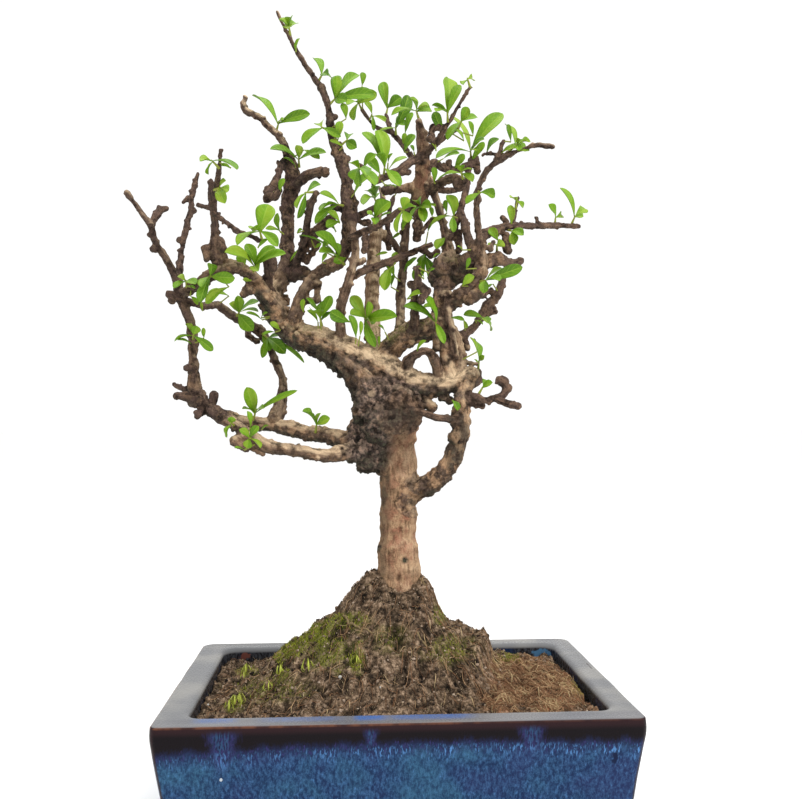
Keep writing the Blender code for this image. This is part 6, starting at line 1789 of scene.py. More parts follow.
@dataclass(frozen=True)
class GroundCover:
    """What lies and grows on the soil: grit, fibres, roots, moss, seedlings and a few white granules."""

    soil: SoilMound
    seed: int = 5
    grains: int = 5200
    fibres: int = 2600
    loose_fibres: int = 2200
    spikes: int = 9000
    wisps: int = 13000

    def grit(self, rng: np.random.Generator) -> bpy.types.Object:
        """Angular grains of many sizes and tones, half sunk in the surface.

        Args:
            rng: Where the chance comes from.

        Returns:
            The grains' mesh object.
        """
        parts = MeshParts()
        places = self.soil.scatter(self.grains, 0.003, rng)
        places = places[self.soil.growth(places, FIBRE_PATCHES) < 0.45]
        for place in places:
            size = 0.00028 + 0.0008 * rng.random() ** 4.0
            form = turned(ICO_POINTS * rng.uniform(0.6, 1.3, (12, 1)), rng) * rng.uniform(0.7, 1.25, 3) * size
            tone = float(np.clip(rng.normal(0.48, 0.28), 0.0, 1.0)) * min(1.0, 0.00075 / size)
            parts.add(place + form + UP * size * 0.35, ICO_FACES, tone=tone)
        return parts.build("grit", smooth=False)

    def granules(self, rng: np.random.Generator) -> bpy.types.Object:
        """A few pale granules among the grit.

        Args:
            rng: Where the chance comes from.

        Returns:
            The granules' mesh object.
        """
        parts = MeshParts()
        for column, row, size in GRANULES:
            place = self.soil.meet(column, row)
            form = turned(ICO_POINTS * rng.uniform(0.8, 1.15, (12, 1)), rng) * size * MM
            parts.add(place + form + UP * size * MM * 0.5, ICO_FACES, tone=rng.uniform(0.5, 1.0))
        return parts.build("pale_granules", smooth=False)

    def fibre_mat(self, rng: np.random.Generator) -> bpy.types.Object:
        """Short dry fibres, dense in their patches and loose elsewhere.

        Args:
            rng: Where the chance comes from.

        Returns:
            The fibres' mesh object.
        """
        parts = MeshParts()
        dense = self.soil.scatter(60000, 0.002, rng)
        share = self.soil.growth(dense, FIBRE_PATCHES)
        dense = dense[share > rng.uniform(0.15, 1.0, len(dense))][: self.fibres]
        loose = self.soil.scatter(self.loose_fibres, 0.004, rng)
        for k, place in enumerate(np.concatenate((dense, loose))):
            length = rng.uniform(0.004, 0.011) if k < len(dense) else rng.uniform(0.003, 0.008)
            downhill = math.atan2(place[1] - self.soil.foot[1], place[0] - self.soil.foot[0])
            heading = downhill + rng.normal(0.0, 0.75)
            bend = rng.normal(0.0, 0.7 if k < len(dense) else 0.4)
            steps = np.linspace(-0.5, 0.5, 6)
            angles = heading + bend * steps
            x = place[0] + np.cos(angles) * steps * length
            y = place[1] + np.sin(angles) * steps * length
            if not self.soil.inside(x, y, 0.001).all():
                continue
            lift = rng.uniform(0.0001, 0.0010) * (1 - (2 * steps) ** 2) + rng.uniform(-0.0001, 0.0003)
            line = np.stack((x, y, self.soil.surface(x, y) + lift), axis=1)
            radius = rng.uniform(0.00007, 0.00017) * (1 - 0.6 * np.abs(2 * steps) ** 3)
            patch = 0.30 * float(noise(place[None] * 170.0, 64)[0])
            tone = float(np.clip(rng.normal(0.58 if k < len(dense) else 0.46, 0.26) + patch, 0.0, 1.0))
            parts.add(*strand(line, radius, 3), tone=tone)
        return parts.build("dry_fibres")

    def roots(self, rng: np.random.Generator) -> bpy.types.Object:
        """Tan roots that cross the soil near the trunk.

        Args:
            rng: Where the chance comes from.

        Returns:
            The roots' mesh object.
        """
        parts = MeshParts()
        for route in ROOTS:
            ends = np.array([self.soil.meet(column, row) for column, row, _ in route])
            widths = np.array([radius * MM for _, _, radius in route])
            shares = np.linspace(0.0, len(route) - 1.0, 10 * len(route))
            line = np.stack([np.interp(shares, range(len(route)), ends[:, k]) for k in range(3)], axis=1)
            line[:, :2] += np.stack((noise(line * 400.0, 61), noise(line * 400.0, 62)), axis=1) * 0.0008
            radii = np.interp(shares, range(len(route)), widths) * (1 + 0.2 * noise(line * 700.0, 63))
            line[:, 2] = self.soil.surface(line[:, 0], line[:, 1]) + radii * 0.35
            parts.add(*strand(line, radii, 8), tone=rng.uniform(0.45, 0.8))
        return parts.build("surface_roots")

    def spike(self, foot: np.ndarray, tip: np.ndarray, width: float, rng: np.random.Generator) -> np.ndarray:
        """The three feet and the tip of one pointed wisp.

        Args:
            foot: The middle of its foot.
            tip: Its tip.
            width: The foot's radius.
            rng: Where the chance comes from.

        Returns:
            The four points.
        """
        angle = rng.uniform(0, 2.1) + np.arange(3) * THIRD_TURN
        feet = np.stack((np.cos(angle), np.sin(angle), np.zeros(3)), axis=1) * width
        return np.concatenate((foot + feet, tip[None]))

    def moss(self, rng: np.random.Generator) -> bpy.types.Object:
        """Moss of fine upright spikes, in its patches only.

        Args:
            rng: Where the chance comes from.

        Returns:
            The moss's mesh object.
        """
        parts = MeshParts()
        places = self.soil.scatter(90000, 0.002, rng)
        share = self.soil.growth(places, MOSS_PATCHES)
        places = places[share > rng.uniform(0.25, 1.0, len(places))][: self.spikes]
        for place in places:
            height = rng.uniform(0.0005, 0.0018)
            lean = np.array((rng.normal(0, 0.35), rng.normal(0, 0.35), 1.0)) * height
            points = self.spike(place - UP * 0.0004, place + lean, rng.uniform(0.00012, 0.00026), rng)
            parts.add(points, SPIKE_FACES, tone=rng.random())
        return parts.build("moss_spikes")

    def thatch(self, rng: np.random.Generator) -> bpy.types.Object:
        """Short dead wisps that stand and lean all over the soil.

        Args:
            rng: Where the chance comes from.

        Returns:
            The wisps' mesh object.
        """
        parts = MeshParts()
        for place in self.soil.scatter(self.wisps, 0.0015, rng):
            height = rng.uniform(0.0006, 0.0026)
            heading = rng.uniform(0.0, 2 * math.pi)
            tilt = rng.uniform(0.3, 1.35)
            tip = place + slanted(heading, tilt) * height
            points = self.spike(place - UP * 0.0003, tip, rng.uniform(0.00010, 0.00030), rng)
            parts.add(points, SPIKE_FACES, tone=float(np.clip(rng.normal(0.38, 0.26), 0.0, 1.0)))
        return parts.build("soil_thatch")

    def seedlings(self, rng: np.random.Generator) -> bpy.types.Object:
        """Small bright rosettes that have sprouted on the soil.

        Args:
            rng: Where the chance comes from.

        Returns:
            The seedlings' mesh object.
        """
        parts = MeshParts()
        for column, row, count, size in SEEDLINGS:
            centre = self.soil.meet(column, row)
            for k in range(int(count)):
                angle = LEAF_ANGLE * k
                rise = rng.uniform(0.75, 1.35)
                way = np.array((math.cos(angle) * math.cos(rise), math.sin(angle) * math.cos(rise),
                                math.sin(rise)))
                seat = centre + np.array((rng.normal(0, 1), rng.normal(0, 1), -0.2)) * size * MM * 0.10
                reach = size * MM * rng.uniform(0.7, 1.1)
                frame = blade_frame(seat, seat + way, 0.0, UP - way * 0.5)
                blade = Blade(seat, frame, reach, reach * 0.15, 0.30, -0.42)
                blade.add_to(parts, 7, 4, 0.00012, rng, 0.0)
        return parts.build("seedlings")

    def place(self) -> None:
        """Builds and dresses everything that lies on the soil."""
        rng = np.random.default_rng(self.seed)
        covers = ((self.grit, "grit", GRIT_TONES), (self.granules, "pale_granule", PALE_TONES),
                  (self.fibre_mat, "fibre", FIBRE_TONES), (self.roots, "root", ROOT_TONES),
                  (self.thatch, "wisp", WISP_TONES), (self.moss, "moss", MOSS_TONES))
        for build, name, stops in covers:
            show(build(rng), ToneFinish(name, stops).make(), "soil")
        fresh = LeafFinish(young=(0.500, 0.540, 0.090), fresh=(0.360, 0.450, 0.050),
                           stalk=(0.420, 0.430, 0.110))
        show(self.seedlings(rng), fresh.make(), "leaf")


def smooth_route(route: list[Row], step: float) -> tuple[np.ndarray, np.ndarray]:
    """Evenly spaced points and radii along the curve through a route's points.

    Args:
        route: Pixel column and row, depth and radius of each point.
        step: The wanted distance between points.

    Returns:
        The points and their radii.
    """
    points = np.array([VIEW.point(column, row, depth) for column, row, depth, _ in route])
    radii = np.array([radius * MM for _, _, _, radius in route])
    places = []
    widths = []
    for i in range(len(points) - 1):
        before = points[max(i - 1, 0)]
        start = points[i]
        end = points[i + 1]
        after = points[min(i + 2, len(points) - 1)]
        steps = max(1, round(float(np.linalg.norm(end - start)) / step))
        for k in range(steps):
            t = k / steps
            curve = 2 * start + (end - before) * t
            curve = curve + (2 * before - 5 * start + 4 * end - after) * t * t
            curve = curve + (3 * start - before - 3 * end + after) * t * t * t
            places.append(curve / 2)
            widths.append(radii[i] * (1 - t) + radii[i + 1] * t)
    places.append(points[-1])
    widths.append(radii[-1])
    return np.array(places), np.array(widths)


@dataclass
class Guide:
    """Every limb's middle line in fine steps, with the turning frame that the grain follows."""

    step: float = 0.0012
    candidates: int = 4

    def __post_init__(self) -> None:
        """Lays out the lines."""
        rows = []
        for index, route in enumerate(ROUTES.values()):
            line, widths = smooth_route(route, self.step)
            tangents = units(np.gradient(line, axis=0))
            side = unit(np.cross(tangents[0], SIDE_HINT))
            travel = 0.37 * index
            for k, place in enumerate(line):
                side = unit(side - tangents[k] * float(side @ tangents[k]))
                if k:
                    travel += float(np.linalg.norm(place - line[k - 1]))
                rows.append((place, widths[k], side, np.cross(tangents[k], side), travel, index))
        held = (np.array(column) for column in zip(*rows))
        self.places, self.radii, self.sides, self.others, self.travels, self.names = held
        self.shown = VIEW.pixel(self.places)

    def seat(self, column: float, row: float) -> int:
        """The number of the foremost guide place near this pixel, which carries what grows there.

        Args:
            column: Pixel column.
            row: Pixel row.

        Returns:
            The place's number.
        """
        away = np.hypot(self.shown[:, 0] - column, self.shown[:, 1] - row) - 1.2 * self.radii / MM
        near = np.nonzero(away < away.min() + 2.0)[0]
        return near[np.argmin(self.places[near, 1])]

    def nearest(self, points: np.ndarray) -> np.ndarray:
        """The number of the guide place whose limb each point lies on.

        Args:
            points: Places on the bark.

        Returns:
            One number per place.
        """
        found = np.zeros(len(points), dtype=int)
        tree = KDTree(len(self.places))
        for k, place in enumerate(self.places):
            tree.insert(place, k)
        tree.balance()
        for k, point in enumerate(points):
            best = 1e9
            for _, index, distance in tree.find_n(point, self.candidates):
                over = distance - 0.8 * self.radii[index]
                if over < best:
                    best = over
                    found[k] = index
        return found


@dataclass(frozen=True)
class TreeWood:
    """Trunk, burl, limbs and twigs, knobby all over, in bark whose grain follows each limb."""

    guide: Guide
    finish: BarkFinish
    voxel: float = 0.00050
    step: float = 0.0022
    nub_step: float = 0.0032
    kept_share: float = 0.52
    parts: tuple[str, ...] = ("wood_low", "wood_middle", "wood_high")
    seed: int = 17

    def pieces(self) -> Iterator[Shape]:
        """Every limb, lump and nub as a closed shape."""
        rng = np.random.default_rng(self.seed)
        for name, route in ROUTES.items():
            line, widths = smooth_route(route, self.step)
            shake = layered(line * 90.0, 31, 2) * 0.10 + layered(line * 260.0, 33, 2) * 0.07
            yield strand(line, widths * (1 + shake), 20 if widths.max() > 0.006 else 14)
            for end in (0, -1):
                yield self.ball(line[end], widths[end] * 0.98, rng)
            travel = self.nub_step * rng.random()
            for k in range(1, len(line)):
                travel += float(np.linalg.norm(line[k] - line[k - 1]))
                if travel < self.nub_step or name == "trunk":
                    continue
                travel = -self.nub_step * 0.7 * rng.random()
                tangent = unit(line[k] - line[k - 1])
                way = rng.normal(size=3)
                way = unit(way - tangent * float(way @ tangent))
                radius = float(widths[k])
                size = min(radius * rng.uniform(0.50, 0.90), rng.uniform(0.0009, 0.0016))
                yield self.ball(line[k] + way * (radius - 0.1 * size), size, rng)
        for column, row, depth, *half in (*LUMPS, *FILLS):
            yield self.ball(VIEW.point(column, row, depth), np.array(half) * MM * 0.97, rng)
        for column, row, end_column, end_row, radius in SPURS:
            seat = self.guide.places[self.guide.seat(column, row)]
            back = seat[1] / MM / VIEW.depth_spread
            ends = (seat, VIEW.point(column, row, back), VIEW.point(end_column, end_row, back))
            share = np.linspace(0.0, 2.0, 13)
            line = np.stack([np.interp(share, (0, 1, 2), [end[k] for end in ends]) for k in range(3)], axis=1)
            line += np.stack([noise(line * 300.0, 65 + k) for k in range(3)], axis=1) * 0.0004
            widths = radius * MM * (1.0 + 0.30 * noise(line * 420.0, 68))
            yield strand(line, widths, 10)
            for end in (6, 9, 12):
                yield self.ball(line[end], widths[end] * rng.uniform(1.0, 1.25), rng)

    def ball(self, centre: np.ndarray, radii: object, rng: np.random.Generator) -> Shape:
        """A knobby rounded lump.

        Args:
            centre: Its middle.
            radii: Its radius, or its three half sizes.
            rng: Where the chance comes from.

        Returns:
            Vertices and faces.
        """
        points = []
        rows = 9
        columns = 14
        for j in range(1, rows):
            tilt = math.pi * j / rows
            for k in range(columns):
                points.append(slanted(2 * math.pi * k / columns, tilt))
        points = np.array(points + [(0, 0, 1), (0, 0, -1)])
        faces = joined_grid(rows - 1, columns)
        for k in range(columns):
            after = (k + 1) % columns
            faces.append((len(points) - 2, after, k))
            faces.append((len(points) - 1, (rows - 2) * columns + k, (rows - 2) * columns + after))
        shift = rng.uniform(0, 50, 3)
        uneven = 1 + 0.12 * noise(points * 1.7 + shift, 3) + 0.06 * noise(points * 3.9 + shift, 4)
        return centre + points * np.asarray(radii) * uneven[:, None], faces

    def build(self) -> bpy.types.Object:
        """One knobby skin round all the wood."""
        parts = MeshParts()
        for points, faces in self.pieces():
            parts.add(points, [face[::-1] for face in faces])
        wood = parts.build("wood_skin")
        skin = wood.modifiers.new("skin", "REMESH")
        skin.mode = "VOXEL"
        skin.voxel_size = self.voxel * 1.0
        skin.use_smooth_shade = True
        soften = wood.modifiers.new("soften", "SMOOTH")
        soften.factor = 0.5
        soften.iterations = 2
        apply_modifiers(wood)
        return wood

    def dress(self, wood: bpy.types.Object) -> None:
        """Raises the bark's knobs and fibres, and notes its regions for the finish.

        Args:
            wood: The skin to dress.
        """
        points = vectors(wood.data.vertices, "co")
        normals = vectors(wood.data.vertices, "normal")
        guide = self.guide
        index = guide.nearest(points)
        offset = points - guide.places[index]
        across = (offset * guide.sides[index]).sum(axis=1)
        beside = (offset * guide.others[index]).sum(axis=1)
        grain = np.stack((across, beside, guide.travels[index] * 0.16), axis=1)
        radius = guide.radii[index]
        seen = VIEW.pixel(points)
        names = guide.names[index]
        burl = self.region(seen, BURL_REGIONS) * shifted((radius - 0.0022) / 0.002)
        warm = self.region(seen, WARM_REGIONS)
        thick = shifted((radius - 0.0016) / 0.0034)
        pale = self.by_route(PALE_ROUTES)[names]
        plain = self.by_route(PLAIN_ROUTES)[names]
        knobs = layered(points * 330.0, 71, 3)
        warts = np.maximum(noise(points * 640.0, 81), 0.0) ** 1.5
        fibre = layered(grain * 1150.0, 91, 3)
        furrow = -np.abs(layered(grain * 520.0, 95, 2))
        lumps = (layered(points * 230.0, 75, 2) + 0.5 * layered(points * 520.0, 76, 2)) * burl
        calm = 1.0 - 0.75 * plain
        lift = (0.00055 * knobs + 0.00080 * warts) * calm * (0.55 + 0.45 * thick) * (1.0 + 1.1 * burl)
        lift += (0.00014 * fibre + 0.00030 * furrow) * (0.45 + 0.55 * thick) * (1.0 - 0.6 * burl)
        lift += 0.00090 * lumps
        wood.data.vertices.foreach_set("co", (points + normals * lift[:, None]).ravel())
        ridge = 0.52 + lift / (0.0017 * (0.5 + 0.5 * thick) * (1.0 + 0.7 * burl))
        # Painted light: how far each point faces the key light, which sets the painted highlights and the
        # painted shade
        lit = normals @ unit(np.array((0.42, -0.30, 0.86)))
        lightened = pale * shifted(lit * 2.0 - 0.55 + 0.45 * knobs) * (1.0 - 0.85 * burl)
        # Partly lichen, partly painted shade on the sides turned from the light
        under = shifted(-lit * 1.5 + 0.10 + 0.35 * knobs) * (0.35 + 0.60 * thick) * (1.0 - 0.55 * plain)
        rough = (1.0 - 0.9 * plain) * (0.55 + 0.30 * thick) * (1.0 - 0.5 * lightened)
        # Dark spots, and painted shade on the limbs' shadow sides
        under = np.maximum(under, self.region(seen, DARK_AND_SHADED_BARK) * shifted(0.75 + 0.6 * knobs))
        # Painted highlights in the highlighted regions, on the sides that face the light
        light = self.region(seen, HIGHLIGHTED_BARK) * shifted(0.30 + 1.1 * lit + 0.35 * knobs)
        lightened = np.maximum(lightened, light)
        under = under * (1.0 - 0.9 * light)
        burl = burl * (1.0 - 0.8 * light)
        # Painted shadow over the shadowed regions and limbs, kept off highlights, burl and warm bark
        shadowed = self.region(seen, SHADOWED_BARK) * (1.0 - 0.8 * light)
        lightened = lightened * (1.0 - 0.9 * shadowed)
        shadowed = np.maximum(shadowed, self.by_route(SHADOWED_ROUTES)[names])
        shadowed = shadowed * (1.0 - self.by_route(dict.fromkeys(LIT_ROUTES, 1.0))[names])
        shadowed = shadowed * (1.0 - 0.85 * np.maximum(burl, warm))
        burl = burl * (1.0 - 0.4 * warm)
        mossy = self.region(seen, BARK_MOSS) * shifted(normals[:, 2] * 1.5 + 0.3)
        notes = {"grain": grain, "burl": burl, "warm": warm, "thin": 1.0 - thick, "lightened": lightened, "moss": mossy,
                 "under": under, "rough": rough, "shadowed": shadowed, "ridge": np.clip(ridge, 0.0, 1.0)}
        for key, values in notes.items():
            write_note(wood, key, values)

    def by_route(self, shares: dict[str, float]) -> np.ndarray:
        """Each limb's share, in the order of the routes, none where it has no entry."""
        return np.array([shares.get(name, 0.0) for name in ROUTES])

    def region(self, seen: np.ndarray, regions: tuple[Row, ...]) -> np.ndarray:
        """How far each pixel lies within these regions of the bark."""
        return within(seen, regions, 2.4, 1.9)

    def split(self, wood: bpy.types.Object) -> Iterator[bpy.types.Object]:
        """Thins the skin and parts it by height, with the whole skin's shading kept across the seams.

        Args:
            wood: The dressed skin.

        Yields:
            The pieces, from the trunk up.
        """
        thin = wood.modifiers.new("thin", "DECIMATE")
        thin.ratio = self.kept_share
        apply_modifiers(wood)
        write_note(wood, "whole", vectors(wood.data.vertices, "normal"))
        heights = vectors(wood.data.polygons, "center")[:, 2]
        cuts = np.quantile(heights, np.linspace(0.0, 1.0, len(self.parts) + 1))
        group = np.searchsorted(cuts[1:-1], heights)
        for number, name in enumerate(self.parts):
            built = bmesh.new()
            built.from_mesh(wood.data)
            built.faces.ensure_lookup_table()
            others = [built.faces[k] for k in np.nonzero(group != number)[0]]
            bmesh.ops.delete(built, geom=others, context="FACES")
            mesh = bpy.data.meshes.new(name)
            built.to_mesh(mesh)
            built.free()
            normals = vectors(mesh.attributes["whole"].data, "vector")
            mesh.attributes.remove(mesh.attributes["whole"])
            mesh.normals_split_custom_set_from_vertices(normals)
            piece = bpy.data.objects.new(name, mesh)
            bpy.context.scene.collection.objects.link(piece)
            yield piece
        bpy.data.objects.remove(wood, do_unlink=True)

    def place(self) -> None:
        """Builds the skin, dresses it and hands it over in pieces that a viewer can carry."""
        wood = self.build()
        self.dress(wood)
        material = self.finish.make()
        for piece in self.split(wood):
            show(piece, material, "bark", "wood")


def blade_frame(start: np.ndarray, tip: np.ndarray, roll: float, facing: np.ndarray) -> Frame3:
    """The blade's directions: along it, across it and out of its upper face.

    Args:
        start: The blade's base.
        tip: The blade's tip.
        roll: How far it is turned about its length.
        facing: The way that its upper face should look.

    Returns:
        The three directions.
    """
    along = unit(tip - start)
    hint = facing
    if abs(float(unit(hint) @ along)) > 0.93:
        hint = unit(np.cross(along, (1.0, 0.0, 0.0)))
        hint = hint * math.copysign(1.0, float(hint @ (SEEN_FACING + OPEN_FACING)))
    out = unit(hint - along * float(hint @ along))
    across = np.cross(along, out)
    turned_across = across * math.cos(roll) + out * math.sin(roll)
    return along, turned_across, np.cross(turned_across, along)


@dataclass(frozen=True)
class Blade:
    """One leaf blade: narrow at its stalk, broadest past the middle, rounded at the tip."""

    start: np.ndarray
    frame: Frame3
    length: float
    width: float
    fold: float = 0.24
    arch: float = 0.10

    def middle(self, share: np.ndarray, side: np.ndarray, twist: float, curl: float, wave: Row) -> np.ndarray:
        """Points of the blade's middle surface.

        Args:
            share: How far along each point lies.
            side: How far across, from -1 to 1.
            twist: How far the blade turns towards its tip.
            curl: How far its edges rise or fall.
            wave: Strength and phase of its edge's waviness.

        Returns:
            The points.
        """
        along, across, out = self.frame
        stops = (0.0, 0.05, 0.12, 0.22, 0.36, 0.5, 0.62, 0.72, 0.82, 0.90, 0.96, 0.99, 1.0)
        spans = (0.09, 0.11, 0.20, 0.39, 0.62, 0.82, 0.95, 1.0, 0.95, 0.78, 0.50, 0.25, 0.05)
        half = self.width / 2 * np.interp(share, stops, spans)
        rise = self.arch * self.length * (np.sin(math.pi * share * 0.9) - 1.1 * share * share)
        lift = self.fold * half * side * side * 2 + curl * half * np.abs(side) ** 3
        lift = lift + wave[0] * half * np.abs(side) * np.sin(share * 9.0 + wave[1] + side)
        angle = twist * share * share
        wide = side * half
        x = wide * np.cos(angle) - lift * np.sin(angle)
        y = wide * np.sin(angle) + lift * np.cos(angle) + rise
        return self.start + along * (share * self.length)[:, None] + across * x[:, None] + out * y[:, None]

    def add_to(self, parts: MeshParts, rows: int, columns: int, thickness: float, rng: np.random.Generator,
               age: float = 0.4) -> None:
        """Adds the blade as a thin closed shape.

        Args:
            parts: The mesh that collects it.
            rows: Steps along it.
            columns: Steps across it.
            thickness: How thick it is.
            rng: Where its own small differences come from.
            age: From 0, young and pale, to 1, old and dark.
        """
        shares = 1.0 - (1.0 - np.linspace(0.0, 1.0, rows)) ** 1.35
        grid = np.meshgrid(shares, np.linspace(-1, 1, columns), indexing="ij")
        share, side = (held.ravel() for held in grid)
        twist = rng.normal(0.0, 0.22)
        curl = rng.normal(0.0, 0.12)
        wave = (abs(rng.normal(0.0, 0.10)), rng.uniform(0, 6.28))
        flat = self.middle(share, side, twist, curl, wave)
        out = self.frame[2]
        belly = (1.0 - 0.75 * side ** 4)[:, None]
        upper = flat + out * thickness / 2 * belly
        lower = flat - out * thickness / 2 * belly
        count = len(flat)
        faces = sheet(rows, columns)
        faces += [tuple(v + count for v in (face[0], *face[:0:-1])) for face in faces]
        border = grid_border(rows, columns)
        faces += [(a, a + count, b + count, b) for a, b in zip(border, border[1:] + border[:1])]
        place = np.stack((share, side, np.zeros(count)), axis=1)
        parts.add(np.concatenate((upper, lower)), faces, blade=np.concatenate((place, place)), age=age)


class Thicket:
    """Keeps blades clear of the wood and of one another."""

    def __init__(self) -> None:
        """Takes in the wood's middle lines and lumps."""
        starts, ends, widths = [], [], []
        for route in ROUTES.values():
            places, radii = smooth_route(route, ROUTE_STEP)
            starts += list(places[:-1])
            ends += list(places[1:])
            widths += list(np.maximum(radii[:-1], radii[1:]))
        for column, row, depth, *half in LUMPS:
            centre = VIEW.point(column, row, depth)
            starts.append(centre)
            ends.append(centre + np.array((0.0, 0.0, 1e-6)))
            widths.append(max(half) * MM)
        self.starts = np.array(starts)
        self.along = np.array(ends) - self.starts
        self.widths = np.array(widths) * (1 + LIMB_GRAIN)
        self.squares = np.maximum((self.along ** 2).sum(axis=1), 1e-12)
        self.leaves = np.zeros((0, 3))

    def wood_gap(self, points: np.ndarray) -> np.ndarray:
        """Distance from each point to the wood's skin, less than zero inside it.

        Args:
            points: Places, three coordinates to a row.

        Returns:
            One distance per point.
        """
        offset = points[:, None, :] - self.starts[None]
        share = np.clip((offset * self.along[None]).sum(axis=2) / self.squares[None], 0, 1)
        nearest = self.starts[None] + share[:, :, None] * self.along[None]
        return (np.linalg.norm(points[:, None, :] - nearest, axis=2) - self.widths[None]).min(axis=1)

    def leaf_gap(self, points: np.ndarray, own: np.ndarray | None = None) -> float:
        """Least distance from the points to the leaves placed earlier and to the spray's own ones.

        Args:
            points: Places, three coordinates to a row.
            own: Points of the spray's own leaves.

        Returns:
            The distance.
        """
        others = self.leaves if own is None or not len(own) else np.vstack((self.leaves, own))
        if not len(others):
            return 1.0
        return float(np.linalg.norm(points[:, None, :] - others[None], axis=2).min())

    def keep(self, points: np.ndarray) -> None:
        """Remembers a finished spray."""
        self.leaves = np.vstack((self.leaves, points))


def turned_tips(start: np.ndarray, tip: np.ndarray, tries: int) -> Iterator[np.ndarray]:
    """The wanted tip, then the same blade swung about its base by growing angles.

    Args:
        start: The blade's base.
        tip: The wanted tip.
        tries: How many tips there are at most.

    Yields:
        One tip after another.
    """
    along = tip - start
    length = float(np.linalg.norm(along))
    along = along / length
    side = unit(np.cross(along, (0.2, 0.5, 0.84)))
    other = np.cross(along, side)
    yield tip
    for k in range(1, tries):
        swing = SWING_STEP * math.sqrt(k)
        angle = LEAF_ANGLE * k
        lean = (side * math.cos(angle) + other * math.sin(angle)) * math.sin(swing)
        yield start + (along * math.cos(swing) + lean) * length


@dataclass
class Spray:
    """One leafy shoot, laid out by the same rule as the part's own."""

    thicket: Thicket
    base: Row
    shown: list[Row]
    extra: int
    extra_length: float
    leaf_room: float

    def extra_tips(self, seat: np.ndarray, direction: np.ndarray,
                   rng: np.random.Generator) -> Iterator[np.ndarray]:
        """Tips of the blades that fill the tuft, spread round its shoot by the leaf angle of a spiral.

        Args:
            seat: The shoot's tip.
            direction: The shoot's direction.
            rng: Where the chance comes from.

        Yields:
            One tip after another.
        """
        side = unit(np.cross(direction, (0.13, 0.41, 0.9)))
        other = np.cross(direction, side)
        start = rng.uniform(0, 2 * math.pi)
        for k in range(self.extra):
            angle = start + LEAF_ANGLE * k
            spread = rng.uniform(0.8, 1.25)
            lean = (side * math.cos(angle) + other * math.sin(angle)) * math.sin(spread)
            away = (direction * math.cos(spread) + lean) * self.extra_length * MM
            yield seat + away * rng.uniform(0.85, 1.1)

    def buried(self, place: np.ndarray) -> bool:
        """Whether the place lies in the wood or hardly clear of it."""
        return self.thicket.wood_gap(place[None])[0] < SHOOT_CLEARANCE

    def samples(self, blade: Blade) -> np.ndarray:
        """Points spread over a blade past its stalk end.

        Args:
            blade: The blade.

        Returns:
            The points.
        """
        found = []
        along, across, out = blade.frame
        shares, breadths = zip((0.0, 0.08), *BLADE_OUTLINE, (1.0, 0.2))
        for share in np.linspace(shares[0] + 0.08, 1.0, BLADE_TESTS):
            half = blade.width / 2 * float(np.interp(share, shares, breadths))
            for side in (-1, -0.5, 0, 0.5, 1):
                rise = blade.arch * blade.length * (math.sin(math.pi * share * 0.9) - 1.1 * share * share)
                lift = blade.fold * half * side * side * 2
                place = blade.start + along * (share * blade.length) + across * (side * half)
                found.append(place + out * (rise + lift))
        return np.array(found)

    def layout(self, rng: np.random.Generator) -> tuple[np.ndarray, np.ndarray, list[Blade]]:
        """Shoot start and end, and its blades, clear of other things.

        Args:
            rng: Where the chance comes from.

        Returns:
            Start, end and blades.
        """
        anchor = VIEW.point(*self.base)
        tips = []
        for column, row, offset, width in self.shown:
            tips.append((VIEW.point(column, row, self.base[2] + offset), width * MM, SEEN_FACING))
        direction = unit(sum(unit(tip - anchor) for tip, _, _ in tips) + UP / 2)
        reach = 0.0
        for trial in turned_tips(anchor, anchor + direction * SHOOT_LENGTH, SWING_TRIES):
            way = unit(trial - anchor)
            reach = 0.0
            while self.buried(anchor + way * reach) and reach < SHOOT_REACH:
                reach += SHOOT_STEP
            start = anchor + way * reach
            line = start + way[None] * (SHOOT_LENGTH * np.linspace(0, 1, 5))[:, None]
            open_air = self.thicket.wood_gap(line[2:]).min() > 2 * SHOOT_CLEARANCE
            if self.thicket.leaf_gap(line) > self.leaf_room and open_air:
                direction = way
                break
        start = anchor + direction * reach
        end = start + direction * SHOOT_LENGTH
        for tip in self.extra_tips(end, direction, rng):
            tips.append((tip, self.extra_length * MM * EXTRA_BREADTH, OPEN_FACING))
        placed = []
        kept = []
        own = np.zeros((0, 3))
        for k, (tip, width, facing) in enumerate(tips):
            seat = start + direction * SHOOT_LENGTH * (0.55 + 0.35 * ((k * 0.618) % 1))
            base_roll = rng.uniform(-ROLL_SPREAD, ROLL_SPREAD)
            for attempt, trial in enumerate(turned_tips(seat, tip, SWING_TRIES)):
                roll = base_roll + ROLL_STEP * (attempt % 3 - 1)
                length = float(np.linalg.norm(trial - seat)) * (1 - 0.004 * attempt)
                blade = Blade(seat, blade_frame(seat, trial, roll, facing), length, width)
                samples = self.samples(blade)
                if float(self.thicket.wood_gap(samples).min()) < WOOD_CLEARANCE + BLADE_THICKNESS / 2:
                    continue
                if self.thicket.leaf_gap(samples) < self.leaf_room:
                    continue
                if len(own) and self.thicket.leaf_gap(samples[15:], own) < self.leaf_room * 0.6:
                    continue
                own = np.vstack((own, samples[15:]))
                placed.append(blade)
                kept.append(samples)
                break
        if placed:
            line = np.array([start + (end - start) * t for t in np.linspace(0, 1, 4)])
            self.thicket.keep(np.vstack(kept + [line]))
        return start, end, placed


